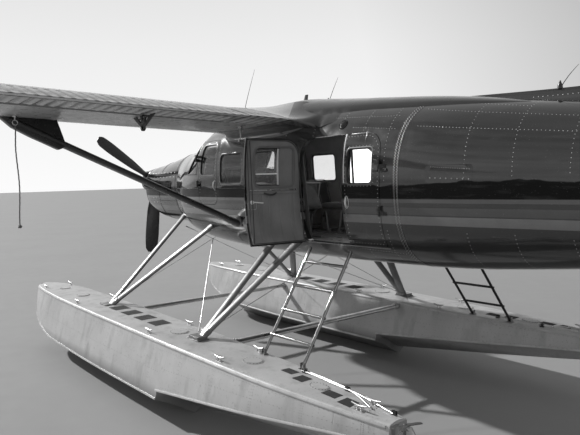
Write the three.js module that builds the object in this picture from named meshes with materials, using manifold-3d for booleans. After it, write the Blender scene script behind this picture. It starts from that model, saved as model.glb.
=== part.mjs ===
// High-wing utility floatplane on twin floats.
// Millimetres, +X forward, +Y port, +Z up, z = 0 at the float keels.
import * as THREE from "three";
import { mergeVertices } from "three/addons/utils/BufferGeometryUtils.js";
import Module from "manifold-3d";

const wasm = await Module();
wasm.setup();

// Driving dimensions. A station is measured aft from the wing's leading edge.
const DATUM = 2745; // x of station 0, half way between float bow and rudder edge
const SPAN = 17680;
const CHORD = 1980;
const FIT = 0.35; // gap between pieces that touch
const DOOR_GAP = 6;
const WALL = 50;
const CABIN_FRONT = -1550;
const SPLICE = 3360; // joint of cabin and tail cone
const CONE_END = 8870;
const WING_ROOT = 600; // half width of the centre section
const WING_LEADING_Z = 3395;
const WING_DROP = 0.058; // fall of the chord line from front to back, about 3.3 degrees
const DIHEDRAL_ANGLE = 2;
const DIHEDRAL = Math.tan(THREE.MathUtils.degToRad(DIHEDRAL_ANGLE));
const FLAP_STATION = 1450; // rear face of the fixed wing ahead of flaps and ailerons
const FLAP_SPAN = [1570, 5080];
const AILERON_SPAN = [5130, 8280];
const PROP = { station: -3280, z: 2680, radius: 1300, spin: 36 };
const FLOAT_Y = 1760;
const FRONT_LEAF_ANGLE = 100; // how far the forward cargo leaf stands open
const SILL = 1956;
const DOOR_TOP = 3100;

const X = (station) => DATUM - station;
const at = (station, y, z) => new THREE.Vector3(X(station), y, z);
const clamp = THREE.MathUtils.clamp;
const lerp = THREE.MathUtils.lerp;
const zUp = new THREE.Vector3(0, 0, 1);

// Colours and finishes, one material for each finish.
const paint = (color, roughness, metalness = 0) =>
  new THREE.MeshStandardMaterial({ color, roughness, metalness });
const FINISH = {
  darkPaint: paint(0x202429, 0.18, 0.1),
  wingPaint: paint(0x4a4e52, 0.35, 0.1),
  floatPaint: paint(0xd8dad8, 0.4, 0.1),
  metal: paint(0xb8babc, 0.25, 1),
  blackPaint: paint(0x17181a, 0.5),
  engine: paint(0x8a8a86, 0.45, 0.8),
  lining: paint(0x6c6f72, 0.8),
  seat: paint(0x2c2e31, 0.8),
  glass: new THREE.MeshStandardMaterial({
    color: 0xaab4b8,
    roughness: 0.05,
    transparent: true,
    opacity: 0.35,
  }),
  rope: paint(0x9a9280, 0.9),
};

const airplane = new THREE.Group();

// Booleans on closed geometry.
function solid(geometry) {
  const bare = geometry.clone();
  bare.deleteAttribute("normal");
  bare.deleteAttribute("uv");
  const merged = mergeVertices(bare, 1e-3);
  return new wasm.Manifold(
    new wasm.Mesh({
      numProp: 3,
      vertProperties: new Float32Array(merged.attributes.position.array),
      triVerts: new Uint32Array(merged.index.array),
    }),
  );
}

function geometryOf(body) {
  const mesh = body.getMesh();
  const geometry = new THREE.BufferGeometry();
  geometry.setAttribute("position", new THREE.BufferAttribute(mesh.vertProperties, 3));
  geometry.setIndex(new THREE.BufferAttribute(mesh.triVerts, 1));
  geometry.computeVertexNormals();
  return geometry;
}

const join = (...bodies) => bodies.reduce((whole, body) => whole.add(body));
const cut = (body, ...tools) => tools.reduce((left, tool) => left.subtract(tool), body);

function add(name, finish, body) {
  const mesh = new THREE.Mesh(geometryOf(body), finish);
  mesh.name = name;
  airplane.add(mesh);
}

// A closed skin through rings of equal point count, with a fan on each end.
function loft(rings) {
  const count = rings[0].length;
  const points = rings.flat();
  const triangles = [];
  for (let r = 0; r + 1 < rings.length; r++)
    for (let i = 0; i < count; i++) {
      const a = r * count + i;
      const b = r * count + ((i + 1) % count);
      triangles.push(a, b, b + count, a, b + count, a + count);
    }
  [0, rings.length - 1].forEach((r) => {
    const middle = new THREE.Vector3();
    rings[r].forEach((p) => middle.addScaledVector(p, 1 / count));
    points.push(middle);
    for (let i = 0; i < count; i++) {
      const a = r * count + i;
      const b = r * count + ((i + 1) % count);
      if (r === 0) triangles.push(b, a, points.length - 1);
      else triangles.push(a, b, points.length - 1);
    }
  });
  let volume = 0;
  for (let i = 0; i < triangles.length; i += 3) {
    const [a, b, c] = [0, 1, 2].map((k) => points[triangles[i + k]]);
    volume += a.dot(b.clone().cross(c));
  }
  if (volume < 0)
    for (let i = 0; i < triangles.length; i += 3)
      [triangles[i], triangles[i + 1]] = [triangles[i + 1], triangles[i]];
  const geometry = new THREE.BufferGeometry().setFromPoints(points);
  geometry.setIndex(triangles);
  return solid(geometry);
}

function box(x0, x1, y0, y1, z0, z1) {
  const geometry = new THREE.BoxGeometry(Math.abs(x1 - x0), Math.abs(y1 - y0), Math.abs(z1 - z0));
  return solid(geometry.translate((x0 + x1) / 2, (y0 + y1) / 2, (z0 + z1) / 2));
}

// A bar of elliptical section from p to q, its long radius towards `along`.
function bar(p, q, radius, across = radius, sides = 12, along = new THREE.Vector3(1, 0, 0)) {
  const axis = q.clone().sub(p).normalize();
  const side = axis.clone().cross(along).normalize();
  const front = side.clone().cross(axis).normalize();
  const ring = (centre) =>
    Array.from({ length: sides }, (_, i) => {
      const turn = (2 * Math.PI * (i + 0.5)) / sides;
      return centre
        .clone()
        .addScaledVector(front, radius * Math.cos(turn))
        .addScaledVector(side, across * Math.sin(turn));
    });
  return loft([ring(p), ring(q)]);
}

// An outline in the x-z plane, drawn out between two values of y.
function sidePrism(shape, y0, y1) {
  const geometry = new THREE.ExtrudeGeometry(shape, {
    depth: y1 - y0,
    bevelEnabled: false,
    curveSegments: 2,
  });
  return solid(geometry.rotateX(Math.PI / 2).translate(0, y1, 0));
}

const outline = (points) => new THREE.Shape(points.map(([x, y]) => new THREE.Vector2(x, y)));

// A rectangle between two stations and two heights, its corners rounded.
function panel(front, rear, bottom, top, radiusTop, radiusBottom = radiusTop, inset = 0) {
  const [x0, x1] = [X(rear) + inset, X(front) - inset];
  const [z0, z1] = [bottom + inset, top - inset];
  const [t, b] = [radiusTop - inset / 2, radiusBottom - inset / 2];
  const shape = new THREE.Shape();
  shape.moveTo(x0 + b, z0);
  shape.lineTo(x1 - b, z0);
  shape.absarc(x1 - b, z0 + b, b, -Math.PI / 2, 0);
  shape.lineTo(x1, z1 - t);
  shape.absarc(x1 - t, z1 - t, t, 0, Math.PI / 2);
  shape.lineTo(x0 + t, z1);
  shape.absarc(x0 + t, z1 - t, t, Math.PI / 2, Math.PI);
  shape.lineTo(x0, z0 + b);
  shape.absarc(x0 + b, z0 + b, b, Math.PI, (3 * Math.PI) / 2);
  return shape;
}

const mirrored = (body) => body.mirror([0, 1, 0]);

// Fuselage

// Each row: station, half width, bottom, top, and how square the lower and upper corners are.
const HULL = [
  { station: -1550, half: 500, bottom: 1990, top: 3130, lower: 2.6, upper: 2.3 },
  { station: -1000, half: 690, bottom: 1860, top: 3180, lower: 2.8, upper: 2.4 },
  { station: -330, half: 790, bottom: 1770, top: 3440, lower: 3.0, upper: 2.8 },
  { station: 500, half: 838, bottom: 1730, top: 3500, lower: 3.2, upper: 3.0 },
  { station: 2200, half: 838, bottom: 1722, top: 3490, lower: 3.2, upper: 2.8 },
  { station: SPLICE, half: 815, bottom: 1735, top: 3405, lower: 3.0, upper: 2.6 },
  { station: 4870, half: 650, bottom: 1850, top: 3225, lower: 2.7, upper: 2.4 },
  { station: 6700, half: 420, bottom: 2080, top: 3010, lower: 2.4, upper: 2.2 },
  { station: CONE_END, half: 95, bottom: 2470, top: 2830, lower: 2, upper: 2 },
];
const HULL_POINTS = 24;

function hullRow(station) {
  const next = clamp(
    HULL.findIndex((row) => row.station >= station),
    1,
    HULL.length - 1,
  );
  const [a, b] = [HULL[next - 1], HULL[next]];
  const share = (station - a.station) / (b.station - a.station);
  const between = (key) => lerp(a[key], b[key], share);
  return {
    half: between("half"),
    bottom: between("bottom"),
    top: between("top"),
    lower: between("lower"),
    upper: between("upper"),
  };
}

function hullRing(station, grow) {
  const row = hullRow(station);
  const middle = (row.top + row.bottom) / 2;
  return Array.from({ length: HULL_POINTS }, (_, i) => {
    const turn = (2 * Math.PI * (i + 0.5)) / HULL_POINTS;
    const [c, s] = [Math.cos(turn), Math.sin(turn)];
    const power = 2 / (s > 0 ? row.upper : row.lower);
    const y = Math.sign(c) * Math.abs(c) ** power * (row.half + grow);
    const z = Math.sign(s) * Math.abs(s) ** power * (middle - row.bottom + grow);
    return at(station, y, middle + z);
  });
}

function hull(front, rear, grow) {
  const between = HULL.map((row) => row.station).filter((s) => s > front && s < rear);
  return loft([front, ...between, rear].map((station) => hullRing(station, grow)));
}

const sideOf = (station) => hullRow(station).half;

// Wing section

const SECTION_STEPS = 11;
const THICKNESS = 0.15;
const CAMBER = 0.02;
const CAMBER_AT = 0.4;

function sectionPoint(share, upper) {
  const half =
    5 *
    THICKNESS *
    (0.2969 * Math.sqrt(share) -
      0.126 * share -
      0.3516 * share ** 2 +
      0.2843 * share ** 3 -
      0.1015 * share ** 4);
  const camber =
    share < CAMBER_AT
      ? (CAMBER / CAMBER_AT ** 2) * (2 * CAMBER_AT * share - share ** 2)
      : (CAMBER / (1 - CAMBER_AT) ** 2) * (1 - 2 * CAMBER_AT + 2 * CAMBER_AT * share - share ** 2);
  return camber + (upper ? half : -half);
}

// Points of a section round from the trailing edge over the top and back below,
// starting at `from` of the chord; a section cut short gets a round nose.
function sectionRing(y, z, leading, chord, from = 0, scale = 1, grow = 0) {
  const shares = Array.from({ length: SECTION_STEPS }, (_, i) => {
    const share = (1 - Math.cos((Math.PI * i) / (SECTION_STEPS - 1))) / 2;
    return from + (1 - from) * share;
  });
  const place = (share, upper) => {
    const rise = sectionPoint(share, upper) * chord * scale + (upper ? grow : -grow);
    const station = leading + share * (chord + 2 * grow) - grow;
    return at(station, y, z - WING_DROP * share * chord + rise);
  };
  const top = shares.map((share) => place(share, true)).reverse();
  const under = shares.map((share) => place(share, false));
  if (from === 0) under.shift();
  return [...top, ...under];
}

const wingZ = (y) => WING_LEADING_Z + Math.max(0, Math.abs(y) - WING_ROOT) * DIHEDRAL;

// Each row: distance from the tip inwards, leading edge, chord, thickness scale.
const TIP = [
  { inward: 420, leading: 0, chord: CHORD, scale: 1 },
  { inward: 130, leading: 70, chord: 1820, scale: 0.86 },
  { inward: 0, leading: 300, chord: 1400, scale: 0.35 },
];

function wingBody(y0, y1, grow = 0) {
  const rings = [];
  const plain = (y) => sectionRing(y, wingZ(y), 0, CHORD, 0, 1, grow);
  rings.push(plain(y0));
  if (y1 < SPAN / 2) rings.push(plain(y1));
  else
    TIP.forEach((row) => {
      const y = SPAN / 2 - row.inward;
      rings.push(sectionRing(y, wingZ(y), row.leading, row.chord, 0, row.scale, grow));
    });
  return loft(rings);
}

const centreGrown = wingBody(-WING_ROOT, WING_ROOT, FIT);
const wingGrownLeft = wingBody(WING_ROOT, SPAN / 2, FIT);
const wingGrownRight = mirrored(wingGrownLeft);
const hullGrown = hull(CABIN_FRONT, CONE_END, FIT);

// Doors and windows

// Each row: name, side, stations of front and rear edge, heights, corner radii,
// hinged edge, how far it stands open, and its window.
const CABIN_WINDOW_Z = [2620, 3000];
const DOORS = [
  {
    name: "crew_door_left",
    side: 1,
    edges: [-390, 150, 2340, 3210],
    radii: [60, 110],
    hinge: "front",
    open: 0,
    window: [-330, 90, 2740, 3150, 60],
  },
  {
    name: "crew_door_right",
    side: -1,
    edges: [-390, 150, 2340, 3210],
    radii: [60, 110],
    hinge: "front",
    open: 0,
    window: [-330, 90, 2740, 3150, 60],
  },
  {
    name: "cargo_door_front",
    side: 1,
    edges: [1880, 2555, SILL, DOOR_TOP],
    radii: [200, 40],
    squareEdge: "rear",
    hinge: "front",
    open: FRONT_LEAF_ANGLE,
    window: [1985, 2440, 2590, 2990, 60],
  },
  {
    name: "cargo_door_rear",
    side: 1,
    edges: [2567, 3070, SILL, DOOR_TOP],
    radii: [200, 40],
    squareEdge: "front",
    hinge: "rear",
    open: 0,
    window: [2625, 2960, 2590, 2945, 45],
  },
  {
    name: "cabin_door_right",
    side: -1,
    edges: [1880, 2640, SILL, DOOR_TOP],
    radii: [160, 60],
    hinge: "front",
    open: 0,
    window: [2020, 2500, 2590, 2990, 60],
  },
];

// Each row: name, side and front, rear, bottom, top, corner radius.
const WINDOWS = [
  { name: "window_left_front", side: 1, edges: [240, 740, ...CABIN_WINDOW_Z, 60] },
  { name: "window_left_rear", side: 1, edges: [920, 1420, ...CABIN_WINDOW_Z, 60] },
  { name: "window_right_front", side: -1, edges: [240, 740, ...CABIN_WINDOW_Z, 60] },
  { name: "window_right_middle", side: -1, edges: [920, 1420, ...CABIN_WINDOW_Z, 60] },
  { name: "window_right_rear", side: -1, edges: [2790, 3130, 2640, 2960, 60] },
];

const REACH = 1200; // a cutter's far side, outside the fuselage
const INSIDE = 250; // a cutter's near side, inside the cabin
const sideCutter = (shape, side) =>
  side > 0 ? sidePrism(shape, INSIDE, REACH) : sidePrism(shape, -REACH, -INSIDE);

function doorShape(door, inset) {
  const [front, rear, bottom, top] = door.edges;
  const [t, b] = door.radii;
  return panel(front, rear, bottom, top, t, b, inset);
}

// A double door's leaves have their round corners on the outer side only.
function doorCutter(door, inset) {
  const [front, rear, bottom, top] = door.edges;
  const whole = sideCutter(doorShape(door, inset), door.side);
  if (!door.squareEdge) return whole;
  const middle = (front + rear) / 2;
  const [s0, s1] = door.squareEdge === "rear" ? [middle, rear] : [front, middle];
  const trim = (station, sign) => X(station) + sign * inset;
  const square = sidePrism(
    outline([
      [trim(s1, 1), bottom + inset],
      [trim(s0, -1), bottom + inset],
      [trim(s0, -1), top - inset],
      [trim(s1, 1), top - inset],
    ]),
    door.side > 0 ? INSIDE : -REACH,
    door.side > 0 ? REACH : -INSIDE,
  );
  return join(whole, square);
}

const outerHull = hull(CABIN_FRONT, SPLICE - FIT, 0);
const innerHull = hull(CABIN_FRONT + 40, SPLICE - 40, -WALL);
const sideShell = cut(outerHull, hull(CABIN_FRONT - 1, SPLICE + 1, -WALL));
const GLASS_OUT = -12;
const GLASS_IN = -22;
const glassShell = cut(
  hull(CABIN_FRONT, SPLICE, GLASS_OUT),
  hull(CABIN_FRONT - 1, SPLICE + 1, GLASS_IN),
);

// Windshield: two front panes and a three-cornered pane on each side.
const SCREEN_BASE = -960;
const SCREEN_TOP = -380;
const SCREEN_POST = 28;
const SCREEN_SIDE = 500; // outer edge of a front pane
function screenCutter(inset) {
  const shape = outline([
    [X(SCREEN_BASE) - inset, SCREEN_POST + inset],
    [X(SCREEN_TOP) + inset, SCREEN_POST + inset],
    [X(SCREEN_TOP) + inset, SCREEN_SIDE - inset],
    [X(SCREEN_BASE) - inset, SCREEN_SIDE - inset],
  ]);
  const geometry = new THREE.ExtrudeGeometry(shape, { depth: 700, bevelEnabled: false });
  return solid(geometry.translate(0, 0, 2900));
}
const QUARTER = [
  [-455, 2760],
  [-455, 3235],
  [-850, 2760],
];
function quarterCutter(inset) {
  const shape = outline([
    [X(QUARTER[0][0]) + inset, QUARTER[0][1] + inset],
    [X(QUARTER[2][0]) - 3 * inset, QUARTER[2][1] + inset],
    [X(QUARTER[1][0]) + inset, QUARTER[1][1] - 2 * inset],
  ]);
  return sidePrism(shape, SCREEN_SIDE + 40, REACH);
}

const HINGE_RADIUS = 13;
const KNUCKLE = 45;
const HINGE_STAND = 20; // the pin line stands this far outside the skin

function hingeAxis(door) {
  const station = door.hinge === "front" ? door.edges[0] : door.edges[1];
  const widest = Math.max(sideOf(station - 60), sideOf(station + 60));
  return { x: X(station), y: door.side * (widest + HINGE_STAND) };
}

// The two halves of a door's hinges: knuckles on the frame and knuckles on the leaf.
function hinges(door) {
  const { x, y } = hingeAxis(door);
  const [, , bottom, top] = door.edges;
  const forward = door.hinge === "front" ? 1 : -1;
  const halves = { frame: [], leaf: [] };
  [0.28, 0.68].forEach((share) => {
    const z = lerp(bottom, top, share);
    const depth = y - door.side * 75;
    halves.frame.push(
      bar(new THREE.Vector3(x, y, z), new THREE.Vector3(x, y, z + KNUCKLE), HINGE_RADIUS),
      box(x, x + forward * 45, y, depth, z, z + KNUCKLE),
    );
    halves.leaf.push(
      bar(
        new THREE.Vector3(x, y, z + KNUCKLE + FIT),
        new THREE.Vector3(x, y, z + 2 * KNUCKLE),
        HINGE_RADIUS,
      ),
      box(x - forward * 12, x - forward * 50, y, depth, z + KNUCKLE + FIT, z + 2 * KNUCKLE),
      box(x, x - forward * 20, y - 8, y + 8, z + KNUCKLE + FIT, z + 2 * KNUCKLE),
    );
  });
  return halves;
}

function turned(body, door, angle = door.open) {
  if (!angle) return body;
  const { x, y } = hingeAxis(door);
  const outward = door.side * (door.hinge === "front" ? -1 : 1);
  return body.translate([-x, -y, 0]).rotate([0, 0, outward * angle]).translate([x, y, 0]);
}

// A single leaf's free edge is bevelled inwards, so that it swings past its frame.
const SWING_GAP = 5;
const SWING_STEPS = [2, 4, 6, 8];
function bevelled(leaf, door) {
  if (door.squareEdge) return leaf;
  const [front, rear, bottom, top] = door.edges;
  const freeEdge = door.hinge === "front" ? rear : front;
  const near = box(X(freeEdge - 150), X(freeEdge + 80), door.side * INSIDE, door.side * REACH, bottom, top);
  const frame = cut(sideShell.intersect(near), doorCutter(door, SWING_GAP));
  return cut(leaf, ...SWING_STEPS.map((angle) => turned(frame, door, -angle)));
}

let cabin = cut(outerHull, innerHull, centreGrown, wingGrownLeft, wingGrownRight);
DOORS.forEach((door) => {
  cabin = cut(cabin, doorCutter(door, 0));
});
DOORS.forEach((door) => {
  const { frame, leaf } = hinges(door);
  cabin = join(cabin, ...frame);
  const [front, rear, bottom, top, radius] = door.window;
  const frameCut = sideCutter(panel(front, rear, bottom, top, radius), door.side);
  const paneCut = sideCutter(panel(front, rear, bottom, top, radius, radius, FIT), door.side);
  const skin = bevelled(sideShell.intersect(doorCutter(door, DOOR_GAP)), door);
  add(door.name, FINISH.darkPaint, turned(join(cut(skin, frameCut), ...leaf), door));
  const pane = door.name.replace("door", "door_window");
  add(pane, FINISH.glass, turned(glassShell.intersect(paneCut), door));
});
WINDOWS.forEach(({ name, side, edges }) => {
  const [front, rear, bottom, top, radius] = edges;
  cabin = cut(cabin, sideCutter(panel(front, rear, bottom, top, radius), side));
  const pane = sideCutter(panel(front, rear, bottom, top, radius, radius, FIT), side);
  add(name, FINISH.glass, glassShell.intersect(pane));
});
cabin = cut(
  cabin,
  screenCutter(0),
  mirrored(screenCutter(0)),
  quarterCutter(0),
  mirrored(quarterCutter(0)),
);
const screenPane = glassShell.intersect(screenCutter(FIT));
const quarterPane = glassShell.intersect(quarterCutter(FIT));
add("windshield_left", FINISH.glass, screenPane);
add("windshield_right", FINISH.glass, mirrored(screenPane));
add("quarter_window_left", FINISH.glass, quarterPane);
add("quarter_window_right", FINISH.glass, mirrored(quarterPane));
add("cabin_shell", FINISH.darkPaint, cabin);

// Cabin fittings
const FLOOR_Z = 1935;
const COCKPIT_Z = 2130;
const FLOOR_THICK = 40;
const floorProfile = outline([
  [X(SPLICE - 45), FLOOR_Z - FLOOR_THICK],
  [X(20), FLOOR_Z - FLOOR_THICK],
  [X(20), COCKPIT_Z - FLOOR_THICK],
  [X(-1300), COCKPIT_Z - FLOOR_THICK],
  [X(-1300), COCKPIT_Z],
  [X(60), COCKPIT_Z],
  [X(60), FLOOR_Z],
  [X(SPLICE - 45), FLOOR_Z],
]);
const roomInside = hull(CABIN_FRONT + 41, SPLICE - 41, -WALL - FIT);
// A raised plate takes the wear of cargo inside the double door.
const CARGO_PLATE = { front: 1690, rear: 3270, right: -150, thick: 6 };
const cargoPlate = box(
  X(CARGO_PLATE.rear),
  X(CARGO_PLATE.front),
  CARGO_PLATE.right,
  900,
  FLOOR_Z - 1,
  FLOOR_Z + CARGO_PLATE.thick,
);
const floorWhole = join(sidePrism(floorProfile, -900, 900), cargoPlate);
add("cabin_floor", FINISH.lining, floorWhole.intersect(roomInside));

const panelProfile = outline([
  [X(-760), 2350],
  [X(-700), 2350],
  [X(-720), 2860],
  [X(-860), 2930],
  [X(-980), 2930],
  [X(-860), 2860],
]);
add("instrument_panel", FINISH.blackPaint, sidePrism(panelProfile, -900, 900).intersect(roomInside));

const SEAT = { width: 420, height: 400, back: 690, thick: 90, depth: 440 };
const RAIL = 25;

// One seat facing forward, its feet standing on two rails.
function seat(station, y, floor) {
  const [x, z] = [X(station), floor + FIT];
  const profile = outline([
    [x + SEAT.depth / 2, z + SEAT.height - SEAT.thick],
    [x + SEAT.depth / 2, z + SEAT.height],
    [x - SEAT.depth / 2 + SEAT.thick, z + SEAT.height],
    [x - SEAT.depth / 2, z + SEAT.back],
    [x - SEAT.depth / 2 - SEAT.thick, z + SEAT.back],
    [x - SEAT.depth / 2, z + SEAT.height - SEAT.thick],
  ]);
  const width = SEAT.width / 2;
  const legs = [-1, 1].map((side) =>
    box(
      x - 150,
      x + 150,
      y + side * (width - 70),
      y + side * (width - 45),
      z + RAIL / 2,
      z + SEAT.height - SEAT.thick / 2,
    ),
  );
  return join(sidePrism(profile, y - width, y + width), ...legs);
}

function rails(front, rear, y, floor) {
  const z = floor + FIT;
  return [-1, 1].map((side) => {
    const line = y + side * (SEAT.width / 2 - 57);
    return box(X(rear), X(front), line - 20, line + 20, z, z + RAIL);
  });
}

// Each row: name, distance from the centre line, stations of the seats.
const SEAT_ROWS = [
  { name: "seats_left", y: 400, stations: [560, 1260] },
  { name: "seats_right", y: -400, stations: [560, 1260, 1960, 2660] },
];
SEAT_ROWS.forEach(({ name, y, stations }) => {
  const track = rails(stations[0] - 350, stations.at(-1) + 350, y, FLOOR_Z);
  const seats = stations.map((station) => seat(station, y, FLOOR_Z));
  add(name, FINISH.seat, join(...track, ...seats));
});
const crewTrack = [350, -350].flatMap((y) => rails(-420, 0, y, COCKPIT_Z));
const crewSeats = [350, -350].map((y) => seat(-250, y, COCKPIT_Z));
const crewTie = box(X(-60), X(-100), -350, 350, COCKPIT_Z + FIT, COCKPIT_Z + FIT + 20);
add("crew_seats", FINISH.seat, join(...crewTrack, ...crewSeats, crewTie));

// Tail cone, open at the front against the cabin's rear wall
const CONE_WALL = 30;
const coneOuter = hull(SPLICE, CONE_END, 0);
const coneInner = hull(SPLICE - 10, CONE_END - 500, -CONE_WALL);
add("tail_cone", FINISH.darkPaint, cut(coneOuter, coneInner));

// Nose

// Each row: station, half width, bottom, top.
const COWL = [
  { station: -3120, half: 235, bottom: 2330, top: 2890 },
  { station: -2980, half: 320, bottom: 2170, top: 2930 },
  { station: -2500, half: 400, bottom: 2040, top: 2985 },
  { station: CABIN_FRONT - FIT, half: 500, bottom: 1990, top: 3130 },
];
const COWL_POINTS = 20;
const COWL_WALL = 30;

function cowl(grow, rows = COWL) {
  const ring = (row) => {
    const middle = (row.top + row.bottom) / 2;
    return Array.from({ length: COWL_POINTS }, (_, i) => {
      const turn = (2 * Math.PI * (i + 0.5)) / COWL_POINTS;
      const [c, s] = [Math.cos(turn), Math.sin(turn)];
      const y = Math.sign(c) * Math.abs(c) ** 0.87 * (row.half + grow);
      const z = Math.sign(s) * Math.abs(s) ** 0.87 * (middle - row.bottom + grow);
      return at(row.station, y, middle + z);
    });
  };
  return loft(rows.map(ring));
}

const cowlRoom = cowl(-COWL_WALL, [
  { ...COWL[0], station: -3085 },
  COWL[1],
  COWL[2],
  { ...COWL[3], station: CABIN_FRONT + 5 },
]);
const chinIntake = sidePrism(outline([
  [X(-3200), 2360],
  [X(-2900), 2330],
  [X(-2900), 2500],
  [X(-3200), 2500],
]), -150, 150);
const SHAFT = bar(at(-3200, 0, PROP.z), at(-3000, 0, PROP.z), 95, 95, 16, zUp);

// Each exhaust leaves the cowl's flank and turns aft.
const STACK = { station: -2700, z: 2640, radius: 85 };
function stack(grow = 0, bore = 0) {
  const root = at(STACK.station, 200 - grow, STACK.z);
  const bend = at(STACK.station + 60, 480, STACK.z + 10);
  const end = at(STACK.station + 330, 590, STACK.z + 25);
  const r = STACK.radius + grow - bore;
  const stretch = end.clone().sub(bend).normalize().multiplyScalar(bore ? 5 : 0);
  return join(
    bar(root, bend, r, r, 10, zUp),
    bar(bend.clone().lerp(root, 0.12), end.clone().add(stretch), r, r, 10, zUp),
  );
}
const stackPipe = cut(stack(), cut(stack(0, 8), box(X(-3400), X(0), 0, 340, 2000, 3000)));
const stackGrown = stack(FIT);
add(
  "nose_cowl",
  FINISH.darkPaint,
  cut(cowl(0), cowlRoom, chinIntake, SHAFT, stackGrown, mirrored(stackGrown)),
);
const engineCore = bar(at(-3000, 0, PROP.z - 45), at(-1700, 0, PROP.z - 45), 235, 235, 16, zUp);
const stackRoom = stack(1);
const engineMount = box(X(-1760), X(CABIN_FRONT - FIT), -250, 250, 2300, 2850);
add(
  "engine_block",
  FINISH.engine,
  cut(join(engineCore, engineMount), stackRoom, mirrored(stackRoom)),
);
add("exhaust_left", FINISH.metal, stackPipe);
add("exhaust_right", FINISH.metal, mirrored(stackPipe));

// Propeller and spinner

// Each row: share of the radius, chord, thickness, pitch in degrees.
const BLADE = [
  { share: 0.1, chord: 110, thick: 90, pitch: 60 },
  { share: 0.2, chord: 150, thick: 62, pitch: 48 },
  { share: 0.45, chord: 225, thick: 34, pitch: 34 },
  { share: 0.75, chord: 235, thick: 20, pitch: 24 },
  { share: 0.94, chord: 205, thick: 13, pitch: 19 },
  { share: 1, chord: 110, thick: 9, pitch: 18 },
];
const BLADE_SIDES = 12;

function blade(angle) {
  const turn = THREE.MathUtils.degToRad(angle);
  const out = new THREE.Vector3(0, Math.cos(turn), Math.sin(turn));
  const tangent = new THREE.Vector3(0, -Math.sin(turn), Math.cos(turn));
  const forward = new THREE.Vector3(1, 0, 0);
  const centre = at(PROP.station, 0, PROP.z);
  const rings = BLADE.map(({ share, chord, thick, pitch }) => {
    const tilt = THREE.MathUtils.degToRad(pitch);
    const wide = tangent.clone().multiplyScalar(Math.cos(tilt)).addScaledVector(forward, Math.sin(tilt));
    const thin = tangent.clone().multiplyScalar(-Math.sin(tilt)).addScaledVector(forward, Math.cos(tilt));
    return Array.from({ length: BLADE_SIDES }, (_, i) => {
      const a = (2 * Math.PI * i) / BLADE_SIDES;
      return centre
        .clone()
        .addScaledVector(out, share * PROP.radius)
        .addScaledVector(wide, (chord / 2) * Math.cos(a))
        .addScaledVector(thin, (thick / 2) * Math.sin(a));
    });
  });
  return loft(rings);
}

const hub = join(
  bar(at(PROP.station - 90, 0, PROP.z), at(PROP.station + 90, 0, PROP.z), 150, 150, 18, zUp),
  bar(at(PROP.station, 0, PROP.z), at(-3000 - FIT, 0, PROP.z), 70, 70, 16, zUp),
);
const blades = [0, 120, 240].map((step) => blade(PROP.spin + step));
add("propeller", FINISH.blackPaint, join(hub, ...blades));

const SPINNER = { back: -3135, front: -3650, radius: 232, wall: 12 };
function spinnerBody(inset) {
  const steps = 6;
  const length = SPINNER.back - SPINNER.front - inset;
  const profile = [new THREE.Vector2(0, 0)];
  for (let i = 0; i <= steps; i++) {
    const share = i / steps;
    const r = (SPINNER.radius - inset) * Math.sqrt(1 - share ** 2.2);
    profile.push(new THREE.Vector2(i === steps ? 0 : r, share * length));
  }
  const geometry = new THREE.LatheGeometry(profile, 20);
  geometry.rotateZ(-Math.PI / 2);
  geometry.translate(X(SPINNER.back), 0, PROP.z);
  return solid(geometry);
}
const bladeHoles = [0, 120, 240].map((step) => {
  const turn = THREE.MathUtils.degToRad(PROP.spin + step);
  const out = new THREE.Vector3(0, Math.cos(turn), Math.sin(turn));
  const centre = at(PROP.station, 0, PROP.z);
  const along = new THREE.Vector3(1, 0, 0);
  return bar(
    centre.clone().addScaledVector(out, 100),
    centre.clone().addScaledVector(out, 320),
    82,
    82,
    10,
    along,
  );
});
const spinnerPlate = bar(
  at(PROP.station - 90 - FIT, 0, PROP.z),
  at(PROP.station - 130, 0, PROP.z),
  226,
  226,
  20,
  zUp,
);
const spinnerShell = cut(
  spinnerBody(0),
  spinnerBody(SPINNER.wall).translate([-1, 0, 0]),
  ...bladeHoles,
);
const plateHole = bar(at(PROP.station, 0, PROP.z), at(PROP.station - 200, 0, PROP.z), 70, 70, 16, zUp);
const spinnerRing = cut(spinnerPlate.intersect(spinnerBody(2)), plateHole);
add("spinner", FINISH.metal, join(spinnerShell, spinnerRing));

// Wings

const centre = wingBody(-WING_ROOT + FIT / 2, WING_ROOT - FIT / 2);
add("wing_centre", FINISH.wingPaint, centre);

const bay = ([y0, y1]) => box(X(FLAP_STATION), X(CHORD + 200), y0, y1, 2900, 4100);
const HINGE_NOSE = 1545; // hinge line of the ailerons
const hingeHeight = (y) => {
  const share = HINGE_NOSE / CHORD;
  return wingZ(y) - WING_DROP * HINGE_NOSE + sectionPoint(share, true) * CHORD * 0.5 +
    sectionPoint(share, false) * CHORD * 0.5;
};
const aileronArm = (y) => {
  const z = hingeHeight(y);
  return box(X(FLAP_STATION - 60), X(HINGE_NOSE + 18), y - 6, y + 6, z - 30, z + 30);
};

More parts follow.
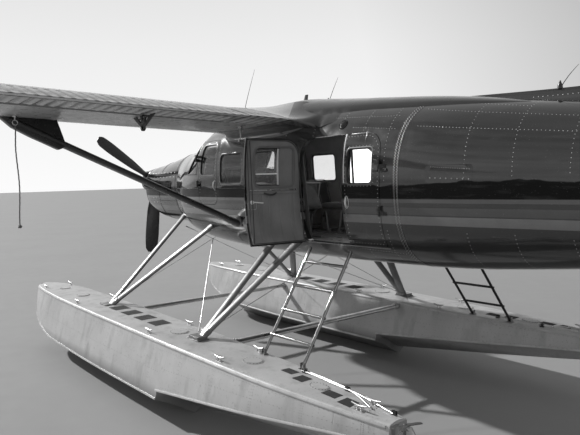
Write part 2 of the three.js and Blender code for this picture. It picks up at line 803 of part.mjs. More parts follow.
// Flap brackets: an arm below the wing and a matching arm on the flap share one pin.
const FLAP_PIN = { station: 1470, below: 265, brackets: [2490, 4600] };
const pinPoint = (y) => new THREE.Vector3(X(FLAP_PIN.station), y, wingZ(y) - FLAP_PIN.below - 60);
function flapArm(y, onWing) {
  const pin = pinPoint(y);
  const [y0, y1] = onWing ? [y - 14, y] : [y + FIT, y + 14];
  const top = wingZ(y) - 60;
  const ears = onWing
    ? [
        [X(1180), top],
        [X(1400), top],
      ]
    : [
        [X(1540), top],
        [X(1700), top],
      ];
  const arm = outline([
    [pin.x - 24, pin.z - 18],
    [pin.x + 24, pin.z - 18],
    [ears[0][0], ears[0][1]],
    [ears[1][0], ears[1][1]],
  ]);
  const upright = sidePrism(arm, y0, y1).translate([-pin.x, -pin.y, -pin.z]);
  return upright.rotate([DIHEDRAL_ANGLE, 0, 0]).translate([pin.x, pin.y, pin.z]);
}

// The moving trailing edge between two spans, with a round nose.
const NOSE_STATION = FLAP_STATION + 22;
function movable([y0, y1]) {
  const ring = (y) => {
    const from = (NOSE_STATION + 70) / CHORD;
    const ringPoints = sectionRing(y, wingZ(y), 0, CHORD, from);
    const top = ringPoints[SECTION_STEPS - 1];
    const under = ringPoints[SECTION_STEPS];
    const middle = top.clone().lerp(under, 0.5);
    const radius = top.distanceTo(under) / 2;
    const nose = [1, 2, 3, 4, 5].map((i) => {
      const a = (Math.PI * i) / 6;
      return new THREE.Vector3(
        middle.x + 70 * Math.sin(a),
        y,
        middle.z + radius * Math.cos(a),
      );
    });
    return [
      ...ringPoints.slice(0, SECTION_STEPS),
      ...nose,
      ...ringPoints.slice(SECTION_STEPS),
    ];
  };
  return loft([ring(y0), ring(y1)]);
}

const boss = (y0, y1) => {
  const z = hingeHeight((y0 + y1) / 2);
  return bar(
    new THREE.Vector3(X(HINGE_NOSE), y0, z),
    new THREE.Vector3(X(HINGE_NOSE), y1, z),
    16,
  );
};

// Tie-down eye under the wing, behind the strut's head.
const EYE = { station: 700, y: 3480, z: 3285, radius: 24, wire: 5 };
function tieDownEye() {
  const ring = new THREE.TorusGeometry(EYE.radius, EYE.wire, 6, 12).rotateX(Math.PI / 2);
  ring.translate(X(EYE.station), EYE.y, EYE.z);
  const top = at(EYE.station, EYE.y, EYE.z + EYE.radius);
  return join(solid(ring), bar(top, at(EYE.station, EYE.y, EYE.z + 110), 9, 9, 8));
}

const WING_ARM_Y = (FLAP_SPAN[1] + AILERON_SPAN[0]) / 2 + 8;
let wing = wingBody(WING_ROOT + FIT / 2, SPAN / 2);
wing = cut(wing, bay([FLAP_SPAN[0] - 10, AILERON_SPAN[1] + 10]));
wing = join(wing, tieDownEye(), aileronArm(WING_ARM_Y), ...FLAP_PIN.brackets.map((y) => flapArm(y, true)));
wing = cut(wing, hullGrown.intersect(box(X(0), X(SPLICE), -1000, 1000, 2000, 3300)));
const flap = join(movable(FLAP_SPAN), ...FLAP_PIN.brackets.map((y) => flapArm(y, false)));
const aileron = join(
  movable(AILERON_SPAN),
  boss(WING_ARM_Y + 6 + FIT, AILERON_SPAN[0] + 40),
  boss(AILERON_SPAN[1] - 40, AILERON_SPAN[1] + 10 - FIT),
);
[
  { side: "left", place: (body) => body },
  { side: "right", place: mirrored },
].forEach(({ side, place }) => {
  add("wing_" + side, FINISH.wingPaint, place(wing));
  add("flap_" + side, FINISH.wingPaint, place(flap));
  add("aileron_" + side, FINISH.wingPaint, place(aileron));
});

// Wing struts

const STRUT = { station: 545, foot: [800, 2120], head: [3450, 3300], chord: 85, thick: 34 };
const strutFairing = () => {
  const geometry = new THREE.ExtrudeGeometry(
    outline([
      [3060, 3420],
      [3640, 3420],
      [3480, 3250],
      [3020, 3030],
      [2960, 3120],
    ]),
    { depth: 130, bevelEnabled: false },
  );
  geometry.rotateX(Math.PI / 2).rotateZ(Math.PI / 2);
  return solid(geometry.translate(X(STRUT.station) - 65, 0, 0));
};
const strut = cut(
  join(
    bar(
      at(STRUT.station, STRUT.foot[0] - 60, STRUT.foot[1] - 30),
      at(STRUT.station, STRUT.head[0] + 60, STRUT.head[1] + 30),
      STRUT.chord,
      STRUT.thick,
      16,
    ),
    strutFairing(),
  ),
  hullGrown,
  wingGrownLeft,
);
add("wing_strut_left", FINISH.blackPaint, strut);
add("wing_strut_right", FINISH.blackPaint, mirrored(strut));

// Tail

const RUDDER_HINGE = 8930;
const TAIL_Z = 3160;
const TAIL_HINGE = 8800;
// Each row: station, height of the ridge, half thickness.
const FIN = [
  { station: SPLICE + 30, ridge: 3425, half: 8 },
  { station: 4870, ridge: 3372, half: 20 },
  { station: 6600, ridge: 3370, half: 34 },
  { station: 7300, ridge: 3480, half: 42 },
  { station: 7750, ridge: 3830, half: 52 },
  { station: 8100, ridge: 4250, half: 55 },
  { station: 8400, ridge: 4480, half: 55 },
  { station: 8700, ridge: 4565, half: 50 },
  { station: RUDDER_HINGE - 80, ridge: 4570, half: 45 },
];
const finRing = ({ station, ridge, half }) => {
  const base = hullRow(station).top - 90;
  const taper = Math.min(1, 0.4 + (4570 - ridge) / 2400);
  const points = [
    [half, base],
    [half, ridge - 90],
    [half * 0.8 * taper, ridge - 30],
    [0.25 * half, ridge],
  ];
  return [
    ...points.map(([y, z]) => at(station, y, z)),
    ...points.reverse().map(([y, z]) => at(station, -y, z)),
  ];
};

// Each row: share of the half span, leading edge, half thickness; the surface is flat behind.
const TAILPLANE = [
  { y: 0, leading: 7900, half: 68 },
  { y: 2700, leading: 8090, half: 48 },
  { y: 3080, leading: 8200, half: 38 },
  { y: 3225, leading: 8420, half: 18 },
];
const TAIL_REAR = TAIL_HINGE - 72;
function tailRing({ y, leading, half }, side, grow = 0) {
  const shares = [0.0, 0.04, 0.16, 0.4, 1];
  const heights = [0, 0.45, 0.8, 1, 0.92];
  const point = (i, sign) =>
    at(
      lerp(leading - grow, TAIL_REAR + grow, shares[i]),
      side * y,
      TAIL_Z + sign * (heights[i] * half + grow),
    );
  return [4, 3, 2, 1].map((i) => point(i, 1)).concat([point(0, 0)], [1, 2, 3, 4].map((i) => point(i, -1)));
}
const tailplaneOf = (grow) =>
  loft([
    ...TAILPLANE.slice(1).reverse().map((row) => tailRing(row, -1, grow)),
    tailRing(TAILPLANE[0], 1, grow),
    ...TAILPLANE.slice(1).map((row) => tailRing(row, 1, grow)),
  ]);
const TAIL_ARM = { y: 2000, half: 6, reach: 16 };
const tailArm = (side, z0, z1, x0, x1, grow) =>
  box(
    X(x0),
    X(x1),
    side * TAIL_ARM.y - TAIL_ARM.half - grow,
    side * TAIL_ARM.y + TAIL_ARM.half + grow,
    TAIL_Z - z0,
    TAIL_Z + z1,
  );
const tailArms = [-1, 1].map((side) =>
  tailArm(side, TAIL_ARM.reach, TAIL_ARM.reach, TAIL_REAR - 40, TAIL_HINGE + TAIL_ARM.reach, 0),
);

// Elevator: two halves on one torque tube.
const ELEVATOR = [
  { y: 110, trailing: 8850, half: 56 },
  { y: 330, trailing: 9330, half: 56 },
  { y: 2700, trailing: 9300, half: 44 },
  { y: 3080, trailing: 9180, half: 36 },
  { y: 3215, trailing: 9020, half: 18 },
];
const NOSE = 62;
function elevatorRing({ y, trailing, half }, side) {
  const points = [[trailing, 3]];
  points.push([TAIL_HINGE, half]);
  [60, 30, 0, -30, -60].forEach((degrees) => {
    const a = THREE.MathUtils.degToRad(degrees);
    points.push([TAIL_HINGE - NOSE * Math.cos(a), half * Math.sin(a)]);
  });
  points.push([TAIL_HINGE, -half], [trailing, -3]);
  return points.map(([station, z]) => at(station, side * y, TAIL_Z + z));
}
const elevatorSlots = [-1, 1].map((side) =>
  tailArm(side, 80, 80, TAIL_HINGE - 90, TAIL_HINGE + 30, FIT),
);
const elevatorHalf = (side) => loft(ELEVATOR.map((row) => elevatorRing(row, side)));
const torqueTube = bar(at(TAIL_HINGE, -130, TAIL_Z), at(TAIL_HINGE, 130, TAIL_Z), 22, 22, 12);
add("elevator", FINISH.darkPaint, cut(join(elevatorHalf(1), elevatorHalf(-1), torqueTube), ...elevatorSlots));
add("tailplane", FINISH.darkPaint, join(tailplaneOf(0), ...tailArms));

const coneGrown = hull(SPLICE, CONE_END, FIT);
const tubeRoom = box(X(TAIL_HINGE - 34), X(RUDDER_HINGE), -100, 100, TAIL_Z - 34, TAIL_Z + 34);
const FIN_ARMS = [2960, 3900];
const finArm = (z) => box(X(RUDDER_HINGE - 120), X(RUDDER_HINGE + 16), -14, 14, z - 6, z + 6);
const fin = cut(
  join(loft(FIN.map(finRing)), ...FIN_ARMS.map(finArm)),
  coneGrown,
  tailplaneOf(FIT),
  tubeRoom,
);
add("fin", FINISH.darkPaint, fin);

// Each row: height, trailing edge, half thickness of the rudder.
const RUDDER = [
  { z: 2560, trailing: 9380, half: 34 },
  { z: 2760, trailing: 9640, half: 50 },
  { z: 3300, trailing: 9750, half: 52 },
  { z: 3900, trailing: 9690, half: 48 },
  { z: 4380, trailing: 9540, half: 42 },
  { z: 4540, trailing: 9330, half: 24 },
];
function rudderRing({ z, trailing, half }) {
  const points = [[trailing, 3]];
  points.push([RUDDER_HINGE, half]);
  [60, 30, 0, -30, -60].forEach((degrees) => {
    const a = THREE.MathUtils.degToRad(degrees);
    points.push([RUDDER_HINGE - 60 * Math.cos(a), half * Math.sin(a)]);
  });
  points.push([RUDDER_HINGE, -half], [trailing, -3]);
  return points.map(([station, y]) => at(station, y, z));
}
const rudderSlots = FIN_ARMS.map((z) =>
  box(X(RUDDER_HINGE - 90), X(RUDDER_HINGE + 30), -80, 80, z - 6 - FIT, z + 6 + FIT),
);
const coneEndRoom = box(X(CONE_END - 200), X(RUDDER_HINGE - 18), -200, 200, 2400, 2900);
add("rudder", FINISH.darkPaint, cut(loft(RUDDER.map(rudderRing)), coneEndRoom, ...rudderSlots));

const ventralShape = new THREE.Shape();
ventralShape.moveTo(X(7900), 2420);
ventralShape.absarc(X(8320), 2380, 420, Math.PI * 0.02, -Math.PI, true);
ventralShape.lineTo(X(8740), 2560);
const ventral = cut(sidePrism(ventralShape, -16, 16), coneGrown);
add("ventral_fin", FINISH.darkPaint, ventral);

// Floats

// Each row: station, half width and height of the deck edge, of the chine, and the keel's height.
const FLOAT = [
  { station: -4260, deck: 60, deckZ: 900, chine: 60, chineZ: 800, keelZ: 760 },
  { station: -4080, deck: 170, deckZ: 912, chine: 190, chineZ: 690, keelZ: 520 },
  { station: -3650, deck: 260, deckZ: 920, chine: 350, chineZ: 500, keelZ: 235 },
  { station: -3100, deck: 310, deckZ: 920, chine: 450, chineZ: 370, keelZ: 75 },
  { station: -2500, deck: 335, deckZ: 910, chine: 500, chineZ: 310, keelZ: 0 },
  { station: -800, deck: 345, deckZ: 890, chine: 515, chineZ: 280, keelZ: 0 },
  { station: 1000, deck: 340, deckZ: 870, chine: 495, chineZ: 270, keelZ: 0 },
  { station: 1006, deck: 340, deckZ: 870, chine: 495, chineZ: 370, keelZ: 100 },
  { station: 2500, deck: 285, deckZ: 838, chine: 370, chineZ: 510, keelZ: 300 },
  { station: 3500, deck: 180, deckZ: 810, chine: 220, chineZ: 600, keelZ: 440 },
  { station: 4080, deck: 100, deckZ: 795, chine: 110, chineZ: 640, keelZ: 530 },
];
const KEEL_HALF = 18;
const CROWN = 16;
const floatRing = (row, grow = 0) =>
  [
    [0, row.deckZ + CROWN],
    [row.deck - 30, row.deckZ + 5],
    [row.deck, row.deckZ - 22],
    [row.chine, row.chineZ],
    [KEEL_HALF, row.keelZ],
    [-KEEL_HALF, row.keelZ],
    [-row.chine, row.chineZ],
    [-row.deck, row.deckZ - 22],
    [-row.deck + 30, row.deckZ + 5],
  ].map(([y, z]) => at(row.station, FLOAT_Y + y, z + (z > row.chineZ ? grow : 0)));
const floatHull = loft(FLOAT.map((row) => floatRing(row)));
const floatGrown = loft(FLOAT.map((row) => floatRing(row, FIT)));
const RUDDER_POST = 4150;
const postLug = (z) => box(X(4060), X(RUDDER_POST + 14), FLOAT_Y - 14, FLOAT_Y + 14, z - 6, z + 6);
const POST_LUGS = [600, 760];
const floatWhole = join(floatHull, ...POST_LUGS.map(postLug));
const waterBlade = new THREE.Shape();
waterBlade.moveTo(X(RUDDER_POST) + 16, 790);
waterBlade.lineTo(X(RUDDER_POST) + 16, 360);
waterBlade.lineTo(X(RUDDER_POST + 60), 250);
waterBlade.lineTo(X(RUDDER_POST + 300), 290);
waterBlade.lineTo(X(RUDDER_POST + 330), 480);
waterBlade.lineTo(X(RUDDER_POST + 200), 620);
waterBlade.lineTo(X(RUDDER_POST + 60), 790);
const waterRudder = cut(
  join(
    sidePrism(waterBlade, FLOAT_Y - 8, FLOAT_Y + 8),
    bar(new THREE.Vector3(X(RUDDER_POST), FLOAT_Y, 350), new THREE.Vector3(X(RUDDER_POST), FLOAT_Y, 800), 16),
  ),
  ...POST_LUGS.map((z) =>
    box(X(RUDDER_POST - 60), X(RUDDER_POST + 40), FLOAT_Y - 40, FLOAT_Y + 40, z - 6 - FIT, z + 6 + FIT),
  ),
);
add("float_left", FINISH.floatPaint, floatWhole);
add("float_right", FINISH.floatPaint, mirrored(floatWhole));
add("water_rudder_left", FINISH.metal, waterRudder);
add("water_rudder_right", FINISH.metal, mirrored(waterRudder));

// Float struts: from one foot on the float two legs spread to the fuselage.
// Each row: name, foot station, station and height of the legs' heads, long and short radius.
const BAY = [
  {
    name: "float_strut_front",
    foot: -1450,
    heads: [
      [-1400, 2150],
      [-200, 2045],
    ],
    radius: 62,
    thick: 24,
  },
  {
    name: "float_strut_rear",
    foot: 1130,
    heads: [
      [1210, 1920],
      [1640, 1920],
    ],
    radius: 62,
    thick: 26,
  },
];
const LONGERON_Y = 690; // the heads end inside the skin, near its lower corners
function floatStrut({ foot, heads, radius, thick }) {
  const base = at(foot, FLOAT_Y, 860);
  const legs = heads.map(([station, z]) =>
    bar(base, at(station, Math.min(LONGERON_Y, sideOf(station) - 110), z), radius, thick),
  );
  const shoe = box(X(foot + 110), X(foot - 110), FLOAT_Y - 60, FLOAT_Y + 60, 860, 925);
  return join(...legs, shoe);
}
// Two cross tubes tie the floats together.
// Each row: name and station.
const SPREADERS = [
  { name: "spreader_bar_front", station: -1290 },
  { name: "spreader_bar_rear", station: 1290 },
];
const SPREADER_Z = 800;
const spreader = (station, grow = 0) =>
  bar(at(station, -FLOAT_Y + 300, SPREADER_Z), at(station, FLOAT_Y - 300, SPREADER_Z), 58 + grow, 30 + grow, 12);
BAY.forEach((bay) => {
  const body = cut(floatStrut(bay), floatGrown, hullGrown);
  add(bay.name + "_left", FINISH.blackPaint, body);
  add(bay.name + "_right", FINISH.blackPaint, mirrored(body));
});
const floatSides = loft(
  FLOAT.map((row) =>
    floatRing({ ...row, deck: row.deck + FIT, chine: row.chine + FIT }, FIT),
  ),
);
SPREADERS.forEach(({ name, station }) => {
  add(name, FINISH.metal, cut(spreader(station), floatSides, mirrored(floatSides)));
});

// Ladders

// A ladder from the deck to the fuselage between two stations.
function ladder({ foot, head, stations, rungs, radius }) {
  const rail = (station) =>
    bar(
      at(station[0], foot.y, foot.z),
      at(station[1], head.y, head.z),
      radius,
      radius,
      8,
    );
  const steps = rungs.map((share) =>
    bar(
      at(lerp(stations[0][0], stations[0][1], share) - 25, lerp(foot.y, head.y, share), lerp(foot.z, head.z, share)),
      at(lerp(stations[1][0], stations[1][1], share) + 25, lerp(foot.y, head.y, share), lerp(foot.z, head.z, share)),
      radius * 0.85,
      radius * 0.85,
      8,
      zUp,
    ),
  );
  return cut(join(rail(stations[0]), rail(stations[1]), ...steps), floatGrown, hullGrown);
}
add(
  "ladder_port",
  FINISH.metal,
  ladder({
    foot: { y: 1560, z: 830 },
    head: { y: 800, z: 1900 },
    stations: [
      [2080, 2010],
      [2700, 2640],
    ],
    rungs: [0.2, 0.42, 0.64, 0.86],
    radius: 17,
  }),
);
add(
  "ladder_starboard",
  FINISH.blackPaint,
  mirrored(
    ladder({
      foot: { y: 1560, z: 820 },
      head: { y: 760, z: 1870 },
      stations: [
        [2480, 2420],
        [3010, 2950],
      ],
      rungs: [0.22, 0.46, 0.7],
      radius: 16,
    }),
  ),
);

// Tie-down rope: from the eye under the wing down to a knot.
const ROPE = { radius: 7, sides: 8, steps: 40, knot: 19 };
// Offsets from the eye, by hand: the rope hangs with the slight waves of a limp line.
const ROPE_ROUTE = [
  [0, 0, 0],
  [1, 1, -60],
  [1, 4, -125],
  [-2, 8, -190],
  [-6, 9, -255],
  [-9, 7, -320],
  [-9, 3, -385],
  [-6, -2, -450],
  [-1, -7, -515],
  [4, -10, -580],
  [8, -11, -645],
  [10, -9, -710],
  [9, -5, -775],
  [6, 0, -840],
  [3, 4, -905],
  [1, 6, -960],
  [0, 6, -1000],
];
const ropeTop = at(EYE.station, EYE.y, EYE.z - EYE.radius - EYE.wire - FIT);
const route = ROPE_ROUTE.map(([x, y, z]) => new THREE.Vector3(x, y, z).add(ropeTop));
const ropeCurve = new THREE.CatmullRomCurve3(route);
const ropeSection = new THREE.Shape();
ropeSection.absarc(0, 0, ROPE.radius, 0, 2 * Math.PI);
const ropeTube = solid(
  new THREE.ExtrudeGeometry(ropeSection, {
    extrudePath: ropeCurve,
    steps: ROPE.steps,
    curveSegments: ROPE.sides / 2,
  }),
);
const knotEnd = route.at(-1);
const knot = solid(
  new THREE.SphereGeometry(ROPE.knot, 10, 7).translate(knotEnd.x, knotEnd.y, knotEnd.z),
);
add("tie_down_rope", FINISH.rope, join(ropeTube, knot));

export default airplane;
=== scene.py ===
"""Looks of a high-wing floatplane: fine skins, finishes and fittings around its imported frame.

Metres, +X forward, +Y port, +Z up. A station is measured aft from the wing's leading edge.
"""

import math

import bmesh
import bpy
import numpy as np
from mathutils import Matrix, Vector


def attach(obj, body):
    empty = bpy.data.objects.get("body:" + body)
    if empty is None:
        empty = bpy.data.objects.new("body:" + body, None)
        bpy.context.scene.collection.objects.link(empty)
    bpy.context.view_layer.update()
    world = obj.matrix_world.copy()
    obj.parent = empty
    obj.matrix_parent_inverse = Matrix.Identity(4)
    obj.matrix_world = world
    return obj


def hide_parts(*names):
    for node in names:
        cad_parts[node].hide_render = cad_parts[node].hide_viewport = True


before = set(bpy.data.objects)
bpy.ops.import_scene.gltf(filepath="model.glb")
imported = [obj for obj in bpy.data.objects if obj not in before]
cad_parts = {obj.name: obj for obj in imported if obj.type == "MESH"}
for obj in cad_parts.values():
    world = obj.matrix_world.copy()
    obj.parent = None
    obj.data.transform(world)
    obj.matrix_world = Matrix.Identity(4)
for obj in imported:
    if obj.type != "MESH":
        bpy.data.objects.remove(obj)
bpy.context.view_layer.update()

DATUM = 2.745  # x of station 0
UP = Vector((0, 0, 1))
FORE = Vector((1, 0, 0))


def X(station):
    return DATUM - station


def at(station, y, z):
    return Vector((DATUM - station, y, z))


# Camera at the photograph's place, behind and left of the fuselage, its horizon 2 degrees off level.
PHOTO = {"width": 580, "height": 435, "horizon": 193, "focal": 615}
CAMERA = {"place": (-4.395, 5.23, 2.6525), "heading": 39, "bank": 2}
SENSOR = 36


def make_camera():
    data = bpy.data.cameras.new("photo_camera")
    data.sensor_width = SENSOR
    data.lens = SENSOR * PHOTO["focal"] / PHOTO["width"]
    data.clip_end = 500
    camera = bpy.data.objects.new("photo_camera", data)
    bpy.context.scene.collection.objects.link(camera)
    bank = math.radians(CAMERA["bank"])
    heading = math.radians(CAMERA["heading"])
    level_up = Vector((0, -math.sin(bank), math.cos(bank)))
    ahead = Vector((math.cos(heading), -math.sin(heading), 0))
    ahead = (ahead - ahead.dot(level_up) * level_up).normalized()
    drop = (PHOTO["height"] / 2 - PHOTO["horizon"]) / PHOTO["focal"]
    ahead = (ahead - drop * level_up).normalized()
    side = ahead.cross(level_up).normalized()
    turn = Matrix((side, side.cross(ahead), -ahead)).transposed()
    camera.matrix_world = Matrix.Translation(CAMERA["place"]) @ turn.to_4x4()
    bpy.context.scene.camera = camera


make_camera()
bpy.context.scene.view_settings.view_transform = "Standard"


# Studio: a grey floor, a bright hazy sky, a low sun ahead of the nose and soft fill from the camera's side.
# Greys at three heights, strengths under cloud and clear, height and strength of the shore, strength aft.
SKY = {
    "low": 0.97,
    "middle": 0.86,
    "high": 0.5,
    "cloud": 0.45,
    "clear": 0.85,
    "ridge": 0.02,
    "shore": 0.4,
    "tail_side": 0.6,
}
SUN = {"azimuth": 18, "elevation": 30, "strength": 3.8, "angle": 1.5}
CABIN_LAMP = {"place": (0.75, 0.1, 2.75), "watts": 8, "radius": 0.3}
# Each row: place, target, size, watts.
FILLS = [
    ((-6, 13, 6), (0, 0, 2.4), 7.0, 90),
    ((-12, 2, 9), (-2, 0, 2.8), 6.0, 70),
]


def make_world():
    """A bright sky with clouds and a dark shore on the port side, which the paint reflects."""
    world = bpy.data.worlds.new("studio_sky")
    world.use_nodes = True
    tree = world.node_tree

    def node(kind, *links, **settings):
        made = tree.nodes.new(kind)
        for key, value in settings.items():
            setattr(made, key, value)
        for socket, value in zip(made.inputs, links):
            if isinstance(value, bpy.types.NodeSocket):
                tree.links.new(value, socket)
            else:
                socket.default_value = value
        return made.outputs

    place = node("ShaderNodeTexCoord")["Generated"]
    parts = node("ShaderNodeSeparateXYZ", place)
    ramp = tree.nodes.new("ShaderNodeValToRGB")
    tree.links.new(parts["Z"], ramp.inputs[0])
    first, last = ramp.color_ramp.elements
    first.color = grey(SKY["low"])
    last.position = 0.6
    last.color = grey(SKY["high"])
    ramp.color_ramp.elements.new(0.2).color = grey(SKY["middle"])
    stretched = node("ShaderNodeVectorMath", place, (1.0, 1.0, 5.0), operation="MULTIPLY")["Vector"]
    cloud = tree.nodes.new("ShaderNodeTexNoise")
    cloud.inputs["Scale"].default_value = 3.0
    cloud.inputs["Detail"].default_value = 4.0
    tree.links.new(stretched, cloud.inputs["Vector"])
    shade = node("ShaderNodeMapRange", cloud.outputs["Fac"], 0.35, 0.65, SKY["cloud"], SKY["clear"])[0]
    ridge = node("ShaderNodeMath", cloud.outputs["Fac"], SKY["ridge"], operation="MULTIPLY")["Value"]
    over = node("ShaderNodeMath", parts["Z"], ridge, operation="SUBTRACT")["Value"]
    shore = node("ShaderNodeMapRange", over, 0.0, 0.02, SKY["shore"], 1.0)[0]
    left = node("ShaderNodeMath", shade, shore, operation="MULTIPLY")["Value"]
    right = node("ShaderNodeMapRange", parts["X"], 0.38, 0.68, SKY["tail_side"], 1.0)[0]
    share = node("ShaderNodeMapRange", parts["Y"], -0.1, 0.25, right, left)
    tree.links.new(ramp.outputs["Color"], tree.nodes["Background"].inputs["Color"])
    tree.links.new(share["Result"], tree.nodes["Background"].inputs["Strength"])
    bpy.context.scene.world = world


def make_light(name, kind, energy):
    data = bpy.data.lights.new(name, kind)
    data.energy = energy
    light = bpy.data.objects.new(name, data)
    bpy.context.scene.collection.objects.link(light)
    return light, data


def make_lights():
    sun, data = make_light("sun", "SUN", SUN["strength"])
    data.angle = math.radians(SUN["angle"])
    tilt = math.radians(90 - SUN["elevation"])
    sun.rotation_euler = (tilt, 0, math.radians(SUN["azimuth"] + 90))
    cabin, data = make_light("cabin_lamp", "POINT", CABIN_LAMP["watts"])
    data.shadow_soft_size = CABIN_LAMP["radius"]
    cabin.location = CABIN_LAMP["place"]
    for i, (place, target, size, watts) in enumerate(FILLS):
        fill, data = make_light(f"fill_{i}", "AREA", watts)
        data.size = size
        fill.location = place
        ahead = Vector(target) - Vector(place)
        fill.rotation_euler = ahead.to_track_quat("-Z", "Y").to_euler()


FLOOR_REACH = 300
FLOOR_DROP = 0.002


def make_floor():
    look = Look("studio_floor", Roughness=0.9)
    look.color(look.mix(look.noise(0.4, 3.0), grey(0.3), grey(0.34)))
    look.wear(3.0, 4.0, 0.8, 0.95)
    look.bump((look.noise(40.0, 3.0), 0.001))
    mesh = bpy.data.meshes.new("studio_floor")
    signs = ((-1, -1), (1, -1), (1, 1), (-1, 1))
    corners = [(x * FLOOR_REACH, y * FLOOR_REACH, -FLOOR_DROP) for x, y in signs]
    mesh.from_pydata(corners, [], [(0, 1, 2, 3)])
    mesh.materials.append(look.material)
    floor = bpy.data.objects.new("studio_floor", mesh)
    bpy.context.scene.collection.objects.link(floor)


# Materials


def grey(value):
    return (value, value, value, 1.0)


class Look:
    """One material: the Principled shader, fed by short chains of nodes in the object's own coordinates."""

    def __init__(self, name, **constants):
        self.material = bpy.data.materials.new(name)
        self.material.use_nodes = True
        self.tree = self.material.node_tree
        self.shader = self.tree.nodes["Principled BSDF"]
        for socket, value in constants.items():
            self.shader.inputs[socket.replace("_", " ")].default_value = value
        self.place = self.node("ShaderNodeTexCoord").outputs["Object"]

    def feed(self, socket, value):
        if isinstance(value, bpy.types.NodeSocket):
            self.tree.links.new(value, socket)
        else:
            socket.default_value = value

    def node(self, kind, *values, **settings):
        made = self.tree.nodes.new(kind)
        for key, value in settings.items():
            setattr(made, key, value)
        for socket, value in zip(made.inputs, values):
            self.feed(socket, value)
        return made

    def math(self, operation, a, b=0.0):
        return self.node("ShaderNodeMath", a, b, operation=operation).outputs[0]

    def axis(self, letter):
        parts = self.node("ShaderNodeSeparateXYZ", self.place)
        return parts.outputs["XYZ".index(letter)]

    def stretched(self, x, y, z):
        scale = self.node("ShaderNodeVectorMath", self.place, (x, y, z), operation="MULTIPLY")
        return scale.outputs[0]

    def noise(self, scale, detail, vector=None):
        made = self.node("ShaderNodeTexNoise")
        self.feed(made.inputs["Vector"], vector or self.place)
        made.inputs["Scale"].default_value = scale
        made.inputs["Detail"].default_value = detail
        return made.outputs["Fac"]

    def spread(self, value, low, high, to_low=0.0, to_high=1.0):
        made = self.node("ShaderNodeMapRange", value, low, high, to_low, to_high)
        return made.outputs[0]

    def band(self, value, low, high, soft=0.002):
        """1 between low and high, with edges as sharp as `soft`."""
        rise = self.spread(value, low - soft, low + soft)
        fall = self.spread(value, high - soft, high + soft, 1.0, 0.0)
        return self.math("MULTIPLY", rise, fall)

    def mix(self, share, a, b):
        made = self.node("ShaderNodeMix", data_type="RGBA")
        self.feed(made.inputs["Factor"], share)
        self.feed(made.inputs["A"], a)
        self.feed(made.inputs["B"], b)
        return made.outputs["Result"]

    def color(self, value):
        self.feed(self.shader.inputs["Base Color"], value)
        return self

    def roughness(self, value):
        self.feed(self.shader.inputs["Roughness"], value)
        return self

    def wear(self, scale, detail, low, high, edge=0.7):
        """Roughness that varies between two values with a noise."""
        return self.roughness(self.spread(self.noise(scale, detail), 0.3, edge, low, high))

    def bump(self, *layers):
        """Each layer is a height and its depth in metres."""
        before = None
        for height, depth in layers:
            made = self.node("ShaderNodeBump")
            made.inputs["Strength"].default_value = 1.0
            made.inputs["Distance"].default_value = depth
            self.feed(made.inputs["Height"], height)
            if before is not None:
                self.feed(made.inputs["Normal"], before)
            before = made.outputs["Normal"]
        self.feed(self.shader.inputs["Normal"], before)
        return self


# Stripes along the fuselage. Each row: lower edge, upper edge, grey.
STRIPES = [(2.203, 2.283, 0.15), (2.293, 2.362, 0.055), (2.405, 2.44, 0.07)]
# The black band above them, a painted reflection of the shore's dark treeline: its edges, and the heights
# between which its ragged outline fades in.
SHORE_REFLECTION_BAND = (2.442, 2.585)
SHORE_REFLECTION_FADE = (2.45, 2.52)


def hull_paint():
    look = Look("hull_paint", Coat_Roughness=0.035, IOR=1.6)
    z = look.axis("Z")
    fade = look.noise(1.3, 2.0)
    paint = look.mix(fade, grey(0.014), grey(0.024))
    for low, high, tone in STRIPES:
        worn = look.mix(look.noise(9.0, 5.0), grey(tone * 0.85), grey(tone * 1.15))
        paint = look.mix(look.band(z, low, high), paint, worn)
    # Painted reflection: the shore's dark treeline as a black band with a ragged top edge.
    ragged = look.spread(look.noise(2.2, 5.0, look.stretched(1.0, 0.2, 0.2)), 0.3, 0.7, -0.03, 0.03)
    shift = look.math("MULTIPLY", ragged, look.spread(z, *SHORE_REFLECTION_FADE))
    band = look.band(look.math("SUBTRACT", z, shift), *SHORE_REFLECTION_BAND, 0.004)
    paint = look.mix(band, paint, grey(0.004))
    streaks = look.noise(3.0, 6.0, look.stretched(1.0, 1.0, 7.0))
    dust = look.spread(streaks, 0.56, 0.8, 0.0, 0.3)
    paint = look.mix(dust, paint, grey(0.09))
    specks = look.spread(look.noise(130.0, 2.0), 0.7, 0.78)
    look.color(look.mix(look.math("MULTIPLY", specks, 0.5), paint, grey(0.3)))
    look.wear(6.0, 6.0, 0.1, 0.24, 0.75)
    gloss = look.spread(z, 2.1, 2.4, 0.35, 0.9)
    # Less coat and a lower specular level inside the painted reflection band.
    coat = look.math("MULTIPLY", gloss, look.spread(band, 0.0, 1.0, 1.0, 0.0))
    look.feed(look.shader.inputs["Coat Weight"], coat)
    look.feed(look.shader.inputs["Specular IOR Level"], look.spread(band, 0.0, 1.0, 0.5, 0.12))
    seams = look.math("PINGPONG", look.math("ADD", look.axis("X"), 0.1), 0.76)
    pillow = look.noise(2.6, 1.0, look.stretched(1.0, 1.0, 1.6))
    return look.bump(
        (look.spread(seams, 0.0, 0.004), 0.0006),
        (pillow, 0.004),
        (look.noise(260.0, 2.0), 0.00006),
    ).material


def roof_paint():
    """Pale ahead of a slanting seam, like the wing, and dark behind it, like the fuselage."""
    look = Look("roof_paint", Coat_Weight=0.4, Coat_Roughness=0.08)
    slant = look.math("ADD", look.axis("X"), look.math("ABSOLUTE", look.axis("Y")))
    tone = look.noise(2.0, 5.0)
    dark = look.mix(tone, grey(0.016), grey(0.03))
    pale = look.mix(look.spread(tone, 0.3, 0.7), grey(0.26), grey(0.36))
    look.color(look.mix(look.spread(slant, 1.842, 1.848), dark, pale))
    look.wear(7.0, 6.0, 0.14, 0.3, 0.75)
    return look.bump((look.noise(260.0, 2.0), 0.00006)).material


